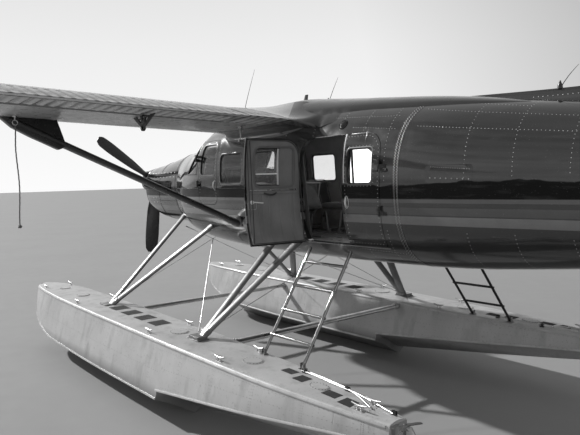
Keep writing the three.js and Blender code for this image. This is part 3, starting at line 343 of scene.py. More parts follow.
def lining():
    look = Look("lining", Roughness=0.75)
    weave = look.noise(420.0, 3.0)
    quilt = look.math("PINGPONG", look.axis("X"), 0.19)
    stains = look.noise(4.0, 5.0)
    look.color(look.mix(look.spread(stains, 0.35, 0.7), grey(0.15), grey(0.21)))
    look.roughness(look.spread(weave, 0.3, 0.7, 0.62, 0.85))
    return look.bump((look.spread(quilt, 0.0, 0.012), 0.003), (weave, 0.0004)).material


def wing_paint():
    look = Look("wing_paint", Coat_Weight=0.25, Coat_Roughness=0.12)
    y = look.axis("Y")
    tone = look.noise(1.1, 5.0, look.stretched(1.0, 0.5, 1.0))
    paint = look.mix(look.spread(tone, 0.3, 0.7), grey(0.34), grey(0.43))
    streaks = look.noise(5.0, 6.0, look.stretched(0.5, 5.0, 1.0))
    paint = look.mix(look.spread(streaks, 0.55, 0.85, 0.0, 0.5), paint, grey(0.2))
    look.color(paint)
    look.wear(9.0, 6.0, 0.22, 0.42)
    seams = look.math("PINGPONG", look.math("ADD", y, 0.02), 0.33)
    return look.bump(
        (look.spread(seams, 0.0, 0.005), 0.0012),
        (look.noise(2.4, 1.5), 0.006),
        (look.noise(300.0, 2.0), 0.00006),
    ).material


BEAD_PITCH = 0.1  # of the pressed beads on flaps and ailerons


def flap_paint():
    """The wing's paint with painted shade between the pressed beads, stronger in patches."""
    look = Look("flap_paint", Coat_Weight=0.25, Coat_Roughness=0.12)
    beads = look.math("COSINE", look.math("MULTIPLY", look.axis("Y"), 2 * math.pi / BEAD_PITCH))
    patches = look.spread(look.noise(3.0, 5.0), 0.3, 0.6, 0.6, 1.0)
    # Painted shade: darker in the hollows between the beads, paint colour on the beads.
    darkening = look.math("MULTIPLY", look.spread(beads, -0.7, 0.3, 1.0, 0.0), patches)
    look.color(look.mix(darkening, grey(0.45), grey(0.07)))
    look.wear(9.0, 6.0, 0.22, 0.42)
    return look.bump((look.noise(300.0, 2.0), 0.00006)).material


def float_paint():
    look = Look("float_paint", Coat_Weight=0.15, Coat_Roughness=0.2)
    z = look.axis("Z")
    tone = look.noise(1.6, 5.0)
    paint = look.mix(look.spread(tone, 0.3, 0.7), grey(0.4), grey(0.52))
    # Dark runs of dirt down the sides.
    runs = look.noise(7.0, 6.0, look.stretched(1.0, 1.0, 0.15))
    darkening = look.spread(runs, 0.52, 0.8, 0.0, 0.55)
    low = look.spread(z, 0.28, 0.42, 0.75, 0.0)
    paint = look.mix(darkening, paint, grey(0.16))
    paint = look.mix(low, paint, grey(0.09))
    scuffs = look.spread(look.noise(34.0, 8.0), 0.62, 0.72, 0.0, 0.6)
    look.color(look.mix(scuffs, paint, grey(0.24)))
    look.wear(8.0, 6.0, 0.3, 0.55)
    seams = look.math("PINGPONG", look.axis("X"), 0.41)
    return look.bump(
        (look.spread(seams, 0.0, 0.005), 0.0014),
        (look.noise(3.2, 2.0), 0.007),
        (look.noise(240.0, 3.0), 0.00012),
    ).material


def metal(name, tone, rough, streak=(1.0, 1.0, 1.0), scratch=0.5):
    look = Look(name, Metallic=1.0)
    brushed = look.noise(90.0, 6.0, look.stretched(*streak))
    blotch = look.noise(7.0, 4.0)
    clean = look.mix(look.spread(brushed, 0.3, 0.7), grey(tone * 0.85), grey(tone))
    dull = look.spread(blotch, 0.5, 0.75, 0.0, scratch)
    look.color(look.mix(dull, clean, grey(tone * 0.55)))
    look.roughness(look.spread(blotch, 0.3, 0.7, rough * 0.7, rough * 1.5))
    return look.bump((brushed, 0.00012)).material


def painted(name, tone, rough):
    look = Look(name, Coat_Weight=0.2, Coat_Roughness=0.15)
    chips = look.spread(look.noise(55.0, 8.0), 0.66, 0.72)
    paint = look.mix(look.noise(5.0, 4.0), grey(tone * 0.7), grey(tone * 1.6))
    look.color(look.mix(look.math("MULTIPLY", chips, 0.6), paint, grey(0.22)))
    look.wear(14.0, 5.0, rough * 0.75, rough * 1.4)
    return look.bump((look.noise(180.0, 3.0), 0.00012)).material


def rubber(name, tone):
    look = Look(name, Roughness=0.7)
    look.color(look.mix(look.noise(30.0, 5.0), grey(tone), grey(tone * 2.2)))
    look.wear(60.0, 4.0, 0.55, 0.8)
    return look.bump((look.noise(350.0, 4.0), 0.0003)).material


def non_skid():
    look = Look("non_skid", Roughness=0.9)
    grit = look.noise(600.0, 2.0)
    worn = look.spread(look.noise(9.0, 6.0), 0.5, 0.75)
    look.color(look.mix(worn, grey(0.02), grey(0.075)))
    look.roughness(look.spread(grit, 0.3, 0.7, 0.75, 0.98))
    return look.bump((grit, 0.0012)).material


def glass():
    look = Look("glass", Roughness=0.03, IOR=1.45, Transmission_Weight=1.0)
    smear = look.noise(5.0, 6.0)
    look.color(look.mix(smear, grey(0.82), grey(0.93)))
    look.roughness(look.spread(smear, 0.4, 0.8, 0.0, 0.07))
    return look.bump((look.noise(3.0, 1.0), 0.0006)).material


def upholstery():
    look = Look("upholstery", Roughness=0.8, Sheen_Weight=0.25, Sheen_Roughness=0.4)
    warp = look.math("SINE", look.math("MULTIPLY", look.axis("Y"), 2200.0))
    weft = look.math("SINE", look.math("MULTIPLY", look.axis("Z"), 2200.0))
    weave = look.math("MULTIPLY", warp, weft)
    wear = look.noise(7.0, 5.0)
    look.color(look.mix(look.spread(wear, 0.35, 0.75), grey(0.025), grey(0.06)))
    look.roughness(look.spread(weave, -1.0, 1.0, 0.7, 0.92))
    return look.bump((weave, 0.0004), (look.noise(24.0, 4.0), 0.002)).material


def hemp():
    look = Look("rope_fibre", Roughness=0.9, Sheen_Weight=0.2)
    around = look.math("ARCTAN2", look.axis("Y"), look.axis("X"))
    lay = look.math("ADD", look.math("MULTIPLY", look.axis("Z"), 380.0), around)
    strands = look.math("SINE", lay)
    fibre = look.noise(500.0, 4.0)
    look.color(look.mix(look.spread(fibre, 0.3, 0.7), grey(0.12), grey(0.3)))
    look.roughness(look.spread(fibre, 0.3, 0.7, 0.8, 0.98))
    return look.bump((strands, 0.0015), (fibre, 0.0006)).material


def heat_tinted():
    look = Look("heat_tinted_steel", Metallic=1.0)
    along = look.spread(look.axis("X"), 5.1, 5.45)
    tint = look.mix(along, grey(0.12), grey(0.36))
    look.color(look.mix(look.noise(22.0, 6.0), tint, grey(0.2)))
    look.wear(12.0, 4.0, 0.28, 0.55)
    return look.bump((look.noise(160.0, 3.0), 0.0002)).material


def lamp(name, tone, strength):
    look = Look(name, Roughness=0.08, Transmission_Weight=0.5)
    ribs = look.math("SINE", look.math("MULTIPLY", look.axis("Z"), 900.0))
    look.color(look.mix(look.spread(ribs, -1.0, 1.0), grey(tone * 0.8), grey(tone)))
    look.roughness(look.spread(ribs, -1.0, 1.0, 0.04, 0.2))
    look.shader.inputs["Emission Color"].default_value = grey(tone)
    look.shader.inputs["Emission Strength"].default_value = strength
    return look.bump((ribs, 0.0005)).material


make_world()
make_lights()
make_floor()

HULL_PAINT = hull_paint()
ROOF_PAINT = roof_paint()
LINING = lining()
WING_PAINT = wing_paint()
FLAP_PAINT = flap_paint()
FLOAT_PAINT = float_paint()
BRIGHT = metal("bright_metal", 0.34, 0.14, scratch=0.3)
BRUSHED = metal("brushed_metal", 0.62, 0.32, (0.2, 1.0, 1.0))
SATIN = metal("satin_metal", 0.5, 0.28, scratch=0.4)
CAST = metal("cast_metal", 0.35, 0.45)
BLACK = painted("black_paint", 0.014, 0.32)
GREY_PAINT = painted("grey_paint", 0.1, 0.4)
STRUT_PAINT = painted("strut_paint", 0.11, 0.35)
PALE_PAINT = painted("pale_paint", 0.42, 0.3)
PALE_TRIM = painted("pale_trim", 0.6, 0.3)
# White for the front leaf's guard bar: a painted reflection of the bright sky in its metal.
GUARD_BAR_REFLECTION = painted("guard_bar_painted_reflection", 0.85, 0.3)
RUBBER = rubber("rubber", 0.018)
FLOOR_COVER = rubber("floor_cover", 0.06)
NON_SKID = non_skid()
GLASS = glass()
FABRIC = upholstery()
FIBRE = hemp()
HEAT = heat_tinted()
LENS = lamp("clear_lens", 0.75, 0.0)
DARK_LENS = lamp("dark_lens", 0.03, 0.0)
# Pale rivet heads on the dark paint: a painted highlight for the sun's glints on them.
RIVET_GLINT = painted("rivet_painted_glint", 0.42, 0.25)
RIVET_PALE = metal("worn_rivet", 0.5, 0.4)
RIVET_WING = painted("wing_rivet", 0.3, 0.35)
RIVET_DEEP = painted("deep_rivet", 0.03, 0.4)


# Mesh helpers


def orient(points, faces):
    """Turns a closed set of faces so that they look outwards."""
    volume = 0.0
    for face in faces:
        a = points[face[0]]
        for i in range(1, len(face) - 1):
            b, c = points[face[i]], points[face[i + 1]]
            volume += float(np.dot(a, np.cross(b, c)))
    return faces if volume > 0 else [face[::-1] for face in faces]


class Build:
    """Gathers the closed bodies of one piece."""

    def __init__(self):
        self.points = []
        self.faces = []
        self.marks = []

    def add(self, points, faces, mark=0, inside_out=False):
        points = np.asarray(points, float).reshape(-1, 3)
        faces = orient(points, [list(map(int, face)) for face in faces])
        if inside_out:
            faces = [face[::-1] for face in faces]
        base = sum(len(block) for block in self.points)
        self.points.append(points)
        self.faces += [[base + i for i in face] for face in faces]
        self.marks += [mark] * len(faces)
        return self

    def loft(self, rings, joined=False, inside_out=False):
        """A skin over rings of equal point count. It's capped at both ends unless it joins itself."""
        rings = np.asarray(rings, float)
        count = rings.shape[1]
        total = len(rings)
        faces = []
        for r in range(total if joined else total - 1):
            near, far = r * count, ((r + 1) % total) * count
            for i in range(count):
                j = (i + 1) % count
                faces.append([near + i, near + j, far + j, far + i])
        if not joined:
            faces.append(list(range(count))[::-1])
            faces.append([(total - 1) * count + i for i in range(count)])
        return self.add(rings.reshape(-1, 3), faces, inside_out=inside_out)

    def tube(self, path, radius, sides, flat=1.0, wide=None, closed=False):
        """A round tube along a path. `flat` squeezes it across the direction `wide`."""
        path = [Vector(p) for p in path]
        radii = radius if hasattr(radius, "__len__") else [radius] * len(path)
        rings = []
        side = None
        for i, point in enumerate(path):
            before = path[i - 1] if (i or closed) else point
            after = path[(i + 1) % len(path)] if (i + 1 < len(path) or closed) else point
            ahead = (after - before).normalized()
            if wide is not None:
                side = Vector(wide)
            elif side is None:
                side = ahead.orthogonal()
            side = (side - side.dot(ahead) * ahead).normalized()
            over = ahead.cross(side)
            ring = []
            for k in range(sides):
                turn = 2 * math.pi * (k + 0.5) / sides
                out = side * math.cos(turn) + over * (math.sin(turn) * flat)
                ring.append(point + out * radii[i])
            rings.append(ring)
        return self.loft(rings, joined=closed)

    def block(self, low, high, mark=0, turn=None):
        """A box between two corners, turned about its middle."""
        low, high = Vector(low), Vector(high)
        middle, half = (low + high) / 2, (high - low) / 2
        corners = []
        for k in range(8):
            sign = [1 if k >> b & 1 else -1 for b in range(3)]
            corner = Vector([half[b] * sign[b] for b in range(3)])
            corners.append(middle + (turn @ corner if turn is not None else corner))
        faces = [(0, 1, 3, 2), (4, 6, 7, 5), (0, 4, 5, 1), (2, 3, 7, 6), (0, 2, 6, 4), (1, 5, 7, 3)]
        return self.add(corners, faces, mark)

    def lathe(self, profile, origin, axis, sides):
        """A turned body. Each row of the profile: distance along the axis, radius."""
        axis = Vector(axis).normalized()
        side = axis.orthogonal().normalized()
        over = axis.cross(side)
        rings = []
        for along, radius in profile:
            ring = []
            for k in range(sides):
                turn = 2 * math.pi * k / sides
                out = side * math.cos(turn) + over * math.sin(turn)
                ring.append(Vector(origin) + axis * along + out * max(radius, 1e-4))
            rings.append(ring)
        return self.loft(rings)

    def domes(self, places, normals, radius, height, sides=6, rings=2):
        """Rivet heads: a low dome at each place."""
        places = np.asarray(places, float).reshape(-1, 3)
        normals = np.asarray(normals, float).reshape(-1, 3)
        normals /= np.linalg.norm(normals, axis=1, keepdims=True)
        aside = np.cross(normals, [0.31, 0.17, 0.93])
        aside /= np.linalg.norm(aside, axis=1, keepdims=True)
        over = np.cross(normals, aside)
        layers = []
        for share, rise in ((1.0, -0.3), (0.75, 0.7))[:rings]:
            for k in range(sides):
                turn = 2 * math.pi * k / sides
                out = (aside * math.cos(turn) + over * math.sin(turn)) * radius * share
                layers.append(places + out + normals * height * rise)
        layers.append(places + normals * height)
        points = np.stack(layers, axis=1)
        pattern = []
        for first in range(0, (rings - 1) * sides, sides):
            for k in range(sides):
                after = (k + 1) % sides
                pattern.append([first + k, first + after, first + sides + after, first + sides + k])
        last = (rings - 1) * sides
        pattern += [[last + k, last + (k + 1) % sides, last + sides] for k in range(sides)]
        pattern.append(list(range(sides))[::-1])
        base = sum(len(block) for block in self.points)
        step = rings * sides + 1
        for n in range(len(places)):
            self.faces += [[base + n * step + i for i in face] for face in pattern]
        self.points.append(points.reshape(-1, 3))
        self.marks += [0] * (len(places) * len(pattern))
        return self

    def raw(self, name="tool"):
        mesh = bpy.data.meshes.new(name)
        mesh.from_pydata(np.concatenate(self.points).tolist(), [], self.faces)
        mesh.polygons.foreach_set("material_index", self.marks)
        mesh.update()
        piece = bpy.data.objects.new(name, mesh)
        bpy.context.scene.collection.objects.link(piece)
        return piece

    def piece(self, name, body, slot, *materials, **options):
        return dress(self.raw(name), body, slot, materials, **options)


def dress(piece, body, slot, materials, angle=35, bevel=0.0, place=None, replaces=()):
    """Finishes a piece: shading, materials and the body it rides on. Its paint slot is not used."""
    mesh = piece.data
    mesh.name = piece.name
    for material in materials:
        mesh.materials.append(material)
    if not mesh.has_custom_normals:
        mesh.polygons.foreach_set("use_smooth", [True] * len(mesh.polygons))
        mesh.set_sharp_from_angle(angle=math.radians(angle))
    if bevel:
        edges = piece.modifiers.new("edges", "BEVEL")
        edges.width = bevel
        edges.segments = 2
        edges.limit_method = "ANGLE"
        edges.angle_limit = math.radians(40)
        edges.harden_normals = True
    if place is not None:
        piece.matrix_world = place
        bpy.context.view_layer.update()
    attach(piece, body)
    if replaces:
        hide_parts(*replaces)
    return piece


def cut(piece, tool, operation="DIFFERENCE"):
    """Cuts one mesh object with another by an exact boolean, and removes the tool."""
    change = piece.modifiers.new("cut", "BOOLEAN")
    change.operation = operation
    change.solver = "MANIFOLD"
    change.object = tool
    bpy.context.view_layer.update()
    graph = bpy.context.evaluated_depsgraph_get()
    result = bpy.data.meshes.new_from_object(piece.evaluated_get(graph))
    result.materials.clear()
    old = piece.data
    piece.modifiers.clear()
    piece.data = result
    bpy.data.meshes.remove(old)
    made = tool.data
    bpy.data.objects.remove(tool)
    bpy.data.meshes.remove(made)
    return piece


def between(table, places):
    """Rows of a table at other values of its first column, on smooth curves that don't overshoot."""
    x, y = table[:, 0], table[:, 1:]
    places = np.clip(np.atleast_1d(np.asarray(places, float)), x[0], x[-1])
    step = np.diff(x)[:, None]
    slope = np.diff(y, axis=0) / step
    tangent = np.empty_like(y)
    product, total = slope[:-1] * slope[1:], slope[:-1] + slope[1:]
    safe = np.where(total == 0, 1, total)
    tangent[1:-1] = np.where(product > 0, 2 * product / safe, 0)
    tangent[0], tangent[-1] = slope[0], slope[-1]
    k = np.clip(np.searchsorted(x, places, side="right") - 1, 0, len(x) - 2)
    h = step[k]
    t = (places - x[k])[:, None] / h
    return (
        (2 * t**3 - 3 * t**2 + 1) * y[k]
        + (t**3 - 2 * t**2 + t) * h * tangent[k]
        + (3 * t**2 - 2 * t**3) * y[k + 1]
        + (t**3 - t**2) * h * tangent[k + 1]
    )


def spline(points, i, t):
    """The point at share `t` between points i and i + 1 of a smooth line through all of them."""
    a, b = points[max(i - 1, 0)], points[i]
    c, d = points[i + 1], points[min(i + 2, len(points) - 1)]
    bend = (2 * a - 5 * b + 4 * c - d) * t**2 + (3 * b - a - 3 * c + d) * t**3
    return 0.5 * (2 * b + (c - a) * t + bend)


def curve_through(points, count):
    """A smooth line through a few given points."""
    points = [Vector(p) for p in points]
    line = []
    for n in range(count + 1):
        place = n / count * (len(points) - 1)
        i = min(int(place), len(points) - 2)
        line.append(spline(points, i, place - i))
    return line


def around(count):
    """Angles of equal steps round a full turn."""
    return np.linspace(0, 2 * math.pi, count + 1)[:-1]


def progress(value, start, length):
    """0 before `start`, 1 beyond `start` plus `length`, straight between."""
    return min(1.0, max(0.0, (value - start) / length))


def spaced(path, spacing):
    """Points at equal distances along a polyline."""
    path = np.asarray(path, float)
    lengths = np.concatenate([[0], np.cumsum(np.linalg.norm(np.diff(path, axis=0), axis=1))])
    marks = np.arange(spacing / 2, lengths[-1], spacing)
    return np.stack([np.interp(marks, lengths, path[:, k]) for k in range(path.shape[1])], axis=1)


# Tie-down rope, hanging from the eye under the port wing
EYE = {"station": 0.7, "y": 3.48, "z": 3.285, "radius": 0.024, "wire": 0.005}
STRANDS = {"count": 3, "offset": 0.0034, "radius": 0.0036, "turn": 0.62}
# Offsets from the eye in millimetres, as in the solids.
ROPE_ROUTE = [
    (0, 0, 0),
    (1, 1, -60),
    (1, 4, -125),
    (-2, 8, -190),
    (-6, 9, -255),
    (-9, 7, -320),
    (-9, 3, -385),
    (-6, -2, -450),
    (-1, -7, -515),
    (4, -10, -580),
    (8, -11, -645),
    (10, -9, -710),
    (9, -5, -775),
    (6, 0, -840),
    (3, 4, -905),
    (1, 6, -960),
    (0, 6, -1000),
]


def rope():
    top = at(EYE["station"], EYE["y"], EYE["z"] - EYE["radius"] - EYE["wire"] - 0.00035)
    route = [top + Vector(offset) / 1000 for offset in ROPE_ROUTE]
    fine = [spline(route, i, k / 4) for i in range(len(route) - 1) for k in range(4)]
    fine.append(route[-1])
    build = Build()
    for strand in range(STRANDS["count"]):
        line = []
        for i, point in enumerate(fine):
            turn = i * STRANDS["turn"] + 2 * math.pi * strand / STRANDS["count"]
            line.append(point + Vector((math.cos(turn), math.sin(turn), 0)) * STRANDS["offset"])
        build.tube(line, STRANDS["radius"], 8)
    line = build.piece("tie_down_line", "airframe", "rope", FIBRE, angle=60, replaces=["tie_down_rope"])
    knot = Build()
    end = route[-1]
    loops = []
    for k in range(40):
        a = 2 * math.pi * k / 40
        reach = 0.0105 + 0.0042 * math.cos(3 * a)
        rise = 0.0105 * math.sin(3 * a)
        loops.append(end + Vector((reach * math.cos(2 * a), reach * math.sin(2 * a), rise)))
    knot.tube(loops, 0.0058, 8, closed=True)
    tail = knot.piece("tie_down_knot", "airframe", "rope", FIBRE, angle=60)


rope()


# Fuselage skin
HULL = np.array(
    [
        # station, half width, bottom, top, squareness of the lower and the upper corners
        (-1.55, 0.500, 1.990, 3.130, 2.6, 2.3),
        (-1.00, 0.690, 1.860, 3.180, 2.8, 2.4),
        (-0.33, 0.790, 1.770, 3.440, 3.0, 2.8),
        (0.50, 0.838, 1.730, 3.500, 3.2, 3.0),
        (2.20, 0.838, 1.722, 3.490, 3.2, 2.8),
        (3.36, 0.815, 1.735, 3.405, 3.0, 2.6),
        (4.87, 0.650, 1.850, 3.225, 2.7, 2.4),
        (6.70, 0.420, 2.080, 3.010, 2.4, 2.2),
        (8.87, 0.095, 2.470, 2.830, 2.0, 2.0),
    ]
)
CABIN_FRONT = -1.55
SPLICE = 3.36
CONE_END = 8.87
WALL = 0.05
RING = 144
ALL_ROUND = 2 * math.pi * (np.arange(RING) + 0.5) / RING


def hull_points(stations, grow=0.0, angles=ALL_ROUND):
    """Points of the skin: a row for each station, a column for each angle from port upwards."""
    stations = np.atleast_1d(np.asarray(stations, float))
    rows = between(HULL, stations)
    half, bottom, top, lower, upper = (rows[:, [k]] for k in range(5))
    middle, tall, wide = (top + bottom) / 2, (top - bottom) / 2 + grow, half + grow
    c, s = np.cos(angles)[None], np.sin(angles)[None]
    power = np.where(s > 0, upper, lower)
    reach = (np.abs(c / wide) ** power + np.abs(s / tall) ** power) ** (-1 / power)
    y, z = reach * c, middle + reach * s
    return np.stack([np.broadcast_to(X(stations)[:, None], y.shape), y, z], axis=-1)


def hull_side(station, z, side=1, grow=0.0):
    """The point of the skin at a station and a height."""
    half, bottom, top, lower, upper = between(HULL, station)[0]
    middle, tall = (top + bottom) / 2, (top - bottom) / 2 + grow
    power = upper if z > middle else lower
    share = min(abs(z - middle) / tall, 1.0)
    return Vector((X(station), side * (half + grow) * (1 - share**power) ** (1 / power), z))


def hull_field(points, grow=0.0):
    """Below 0 inside the skin and above 0 outside."""
    half, bottom, top, lower, upper = between(HULL, DATUM - points[:, 0]).T
    middle, tall, wide = (top + bottom) / 2, (top - bottom) / 2 + grow, half + grow
    power = np.where(points[:, 2] > middle, upper, lower)
    return np.abs(points[:, 1] / wide) ** power + np.abs((points[:, 2] - middle) / tall) ** power - 1


def hull_gradient(points, grow=0.0):
    step = 1e-4
    slopes = []
    for axis in np.eye(3) * step:
        slopes.append((hull_field(points + axis, grow) - hull_field(points - axis, grow)) / (2 * step))
    return np.stack(slopes, axis=1)


def hull_normal(point):
    return Vector(hull_gradient(np.array([point], float))[0]).normalized()


def roof_height(station, y):
    """Height of the skin's upper half at a distance from the middle."""
    half, bottom, top, _, upper = between(HULL, station)[0]
    middle, tall = (top + bottom) / 2, (top - bottom) / 2
    return middle + tall * (1 - min(abs(y) / half, 1.0) ** upper) ** (1 / upper)


def shade_skin(piece, surfaces):
    """True normals and materials on cut pieces of the skin. Each surface: grow, facing, material."""
    mesh = piece.data
    corners = np.empty(len(mesh.loops), int)
    mesh.loops.foreach_get("vertex_index", corners)
    places = np.empty(len(mesh.vertices) * 3)
    mesh.vertices.foreach_get("co", places)
    places = places.reshape(-1, 3)
    count = len(mesh.polygons)
    totals, normals, centres = np.empty(count, int), np.empty(count * 3), np.empty(count * 3)
    mesh.polygons.foreach_get("loop_total", totals)
    mesh.polygons.foreach_get("normal", normals)
    mesh.polygons.foreach_get("center", centres)
    normals, centres = normals.reshape(-1, 3), centres.reshape(-1, 3)
    marks = np.zeros(count, int)
    corner_normals = np.repeat(normals, totals, axis=0)
    for grow, facing, mark in surfaces:
        slope = hull_gradient(centres, grow)
        steep = np.linalg.norm(slope, axis=1)
        on = np.abs(hull_field(centres, grow)) / steep < 0.004
        on &= facing * np.einsum("ij,ij->i", slope, normals) / steep > 0.9
        marks[on] = mark
        here = np.repeat(on, totals)
        true = hull_gradient(places[corners[here]], grow) * facing
        corner_normals[here] = true / np.linalg.norm(true, axis=1, keepdims=True)
    mesh.polygons.foreach_set("material_index", marks)
    mesh.normals_split_custom_set(corner_normals.tolist())
    mesh.update()
    return piece


def outline(front, rear, bottom, top, radius_top, radius_bottom=None, inset=0.0, square=None, steps=8):
    """Station and height of a rounded rectangle's points. `square` names an edge without round corners."""
    radius_bottom = radius_top if radius_bottom is None else radius_bottom
    s0, s1, z0, z1 = front + inset, rear - inset, bottom + inset, top - inset
    corners = [
        (s0, z0, 1, 1, radius_bottom, "front", math.pi),
        (s1, z0, -1, 1, radius_bottom, "rear", 1.5 * math.pi),
        (s1, z1, -1, -1, radius_top, "rear", 0.0),
        (s0, z1, 1, -1, radius_top, "front", 0.5 * math.pi),
    ]
    points = []
    for s, z, to_s, to_z, radius, edge, start in corners:
        if edge == square:
            points.append((s, z))
            continue
        r = max(radius - inset / 2, 0.002)
        for k in range(steps + 1):
            a = start + 0.5 * math.pi * k / steps
            points.append((s + to_s * r + r * math.cos(a), z + to_z * r + r * math.sin(a)))
    return points


def prism(shape, y0, y1):
    build = Build()
    build.loft([[(X(s), y, z) for s, z in shape] for y in (y0, y1)])
    return build.raw()


# Cutting tools for the side walls start inside the cabin and end outside it.
INSIDE = 0.25
REACH = 1.2


def side_prism(shape, side):
    return prism(shape, side * INSIDE, side * REACH)


def hull_patch(front, rear, side, outer, inner, low=-62, high=70):
    """A closed piece of the wall on one side, between two depths."""
    stations = np.linspace(front, rear, max(2, int((rear - front) / 0.04)))
    angles = np.radians(np.linspace(low, high, 90))
    if side < 0:
        angles = math.pi - angles
    out = hull_points(stations, outer, angles)
    into = hull_points(stations, inner, angles)[:, ::-1]
    return Build().loft(np.concatenate([out, into], axis=1)).raw()


def on_skin(shape, side, grow=0.0):
    """Places and normals on the skin for a list of stations and heights."""
    places = [hull_side(s, z, side, grow) for s, z in shape]
    return places, [hull_normal(p) for p in places]


def trim(build, shape, side, width, height, closed=True, grow=0.0):
    """A strip of trim on the skin along an outline, its edges chamfered."""
    places, normals = on_skin(shape, side, grow)
    count = len(places)
    rings = []
    for i, (place, normal) in enumerate(zip(places, normals)):
        before = places[i - 1] if (i or closed) else place
        after = places[(i + 1) % count] if (i + 1 < count or closed) else place
        along = (after - before).normalized()
        across = normal.cross(along).normalized()
        section = [(-1, -0.4), (-1, 0.6), (-0.7, 1), (0.7, 1), (1, 0.6), (1, -0.4)]
        rings.append([place + across * (u * width / 2) + normal * (v * height) for u, v in section])
    return build.loft(rings, joined=closed)


# Doors. Each row: name, side, edges (front, rear, bottom, top), radii (top, bottom), the edge without
# round corners, the hinge pin's x and y, the angle it stands open, and its window.
DOORS = [
    {
        "name": "crew_door_left",
        "side": 1,
        "edges": (-0.39, 0.15, 2.34, 3.21),
        "radii": (0.06, 0.11),
        "square": None,
        "pin": (3.135, 0.81),
        "open": 0,
        "window": (-0.33, 0.09, 2.74, 3.15, 0.06),
    },
    {
        "name": "crew_door_right",
        "side": -1,
        "edges": (-0.39, 0.15, 2.34, 3.21),
        "radii": (0.06, 0.11),
        "square": None,
        "pin": (3.135, -0.81),
        "open": 0,
        "window": (-0.33, 0.09, 2.74, 3.15, 0.06),
    },
    {
        "name": "cargo_door_front",
        "side": 1,
        "edges": (1.88, 2.555, 1.956, 3.1),
        "radii": (0.2, 0.04),
        "square": "rear",
        "pin": (0.865, 0.858),
        "open": -100,
        "window": (1.985, 2.44, 2.59, 2.99, 0.06),
    },
    {
        "name": "cargo_door_rear",
        "side": 1,
        "edges": (2.567, 3.07, 1.956, 3.1),
        "radii": (0.2, 0.04),
        "square": "front",
        "pin": (-0.325, 0.841922),
        "open": 0,
        "window": (2.625, 2.96, 2.59, 2.945, 0.045),
    },
    {
        "name": "cabin_door_right",
        "side": -1,
        "edges": (1.88, 2.64, 1.956, 3.1),
        "radii": (0.16, 0.06),
        "square": None,
        "pin": (0.865, -0.858),
        "open": 0,
        "window": (2.02, 2.5, 2.59, 2.99, 0.06),
    },
]
# Each row: name, side, then front, rear, bottom, top and corner radius.
WINDOWS = [
    ("window_left_front", 1, (0.24, 0.74, 2.62, 3.0, 0.06)),
    ("window_left_rear", 1, (0.92, 1.42, 2.62, 3.0, 0.06)),
    ("window_right_front", -1, (0.24, 0.74, 2.62, 3.0, 0.06)),
    ("window_right_middle", -1, (0.92, 1.42, 2.62, 3.0, 0.06)),
    ("window_right_rear", -1, (2.79, 3.13, 2.64, 2.96, 0.06)),
]
DOOR_GAP = 0.006
LEAF_SKIN = -0.015  # a leaf's outer skin ends at this depth, its narrower inner pan goes on
PAN_INSET = 0.026
PANE = (-0.012, -0.022)  # depths of a pane's outer and inner face
PANE_GAP = 0.0005
SCREEN = {"base": -0.96, "top": -0.38, "post": 0.028, "side": 0.5}
QUARTER = [(-0.455, 2.76), (-0.455, 3.235), (-0.85, 2.76)]


def door_outline(door, inset):
    return outline(*door["edges"], *door["radii"], inset=inset, square=door["square"])


def door_place(door):
    if not door["open"]:
        return None
    pin = Vector((*door["pin"], 0))
    turn = Matrix.Rotation(math.radians(door["open"]), 4, "Z")
    return Matrix.Translation(pin) @ turn @ Matrix.Translation(-pin)


# Cutting tools of the front panes: heights below and above the screen, distance inside the quarter.
SCREEN_HEIGHTS = (2.9, 3.6)
QUARTER_INSIDE = 0.54


def screen_prism(side, inset=0.0):
    x0, x1 = X(SCREEN["base"]) - inset, X(SCREEN["top"]) + inset
    y0, y1 = side * (SCREEN["post"] + inset), side * (SCREEN["side"] - inset)
    corners = [(x0, y0), (x1, y0), (x1, y1), (x0, y1)]
    return Build().loft([[(x, y, z) for x, y in corners] for z in SCREEN_HEIGHTS]).raw()


def quarter_prism(side, inset=0.0):
    (a, low), (b, high), (c, _) = QUARTER
    shape = [(a - inset, low + inset), (b - inset, high - 2 * inset), (c + 3 * inset, low + inset)]
    return prism(shape, side * QUARTER_INSIDE, side * REACH)


def joined(tools):
    """One mesh object of several, which must not touch each other."""
    with bpy.context.temp_override(active_object=tools[0], selected_editable_objects=tools):
        bpy.ops.object.join()
    return tools[0]


def cabin_skin():
    stations = np.linspace(CABIN_FRONT, SPLICE, 100)
    inside = np.linspace(CABIN_FRONT + 0.04, SPLICE - 0.04, 80)
    build = Build()
    build.loft(hull_points(stations))
    build.loft(hull_points(inside, -WALL), inside_out=True)
    skin = build.raw("cabin_skin")
    tools = [side_prism(door_outline(door, 0), door["side"]) for door in DOORS]
    tools += [side_prism(outline(*edges), side) for _, side, edges in WINDOWS]
    for side in (1, -1):
        tools += [screen_prism(side), quarter_prism(side)]
    cut(skin, joined(tools))
    shade_skin(skin, [(0, 1, 0), (-WALL, -1, 1)])
    dress(skin, "airframe", "dark_paint", [HULL_PAINT, LINING], replaces=["cabin_shell"])


def glaze(pane, tool, name, body, node, place=None):
    """Cuts a curved sheet of glass to its opening and finishes it."""
    cut(pane, tool, "INTERSECT")
    shade_skin(pane, [(PANE[0], 1, 0), (PANE[1], -1, 0)])
    pane.name = name + "_pane"
    dress(pane, body, "glass", [GLASS], place=place, replaces=[node])


def glaze_side(edges, side, name, body, node, place=None):
    front, rear, bottom, top, radius = edges
    pane = hull_patch(front - 0.02, rear + 0.02, side, *PANE)
    shape = outline(front, rear, bottom, top, radius, inset=PANE_GAP)
    glaze(pane, side_prism(shape, side), name, body, node, place)


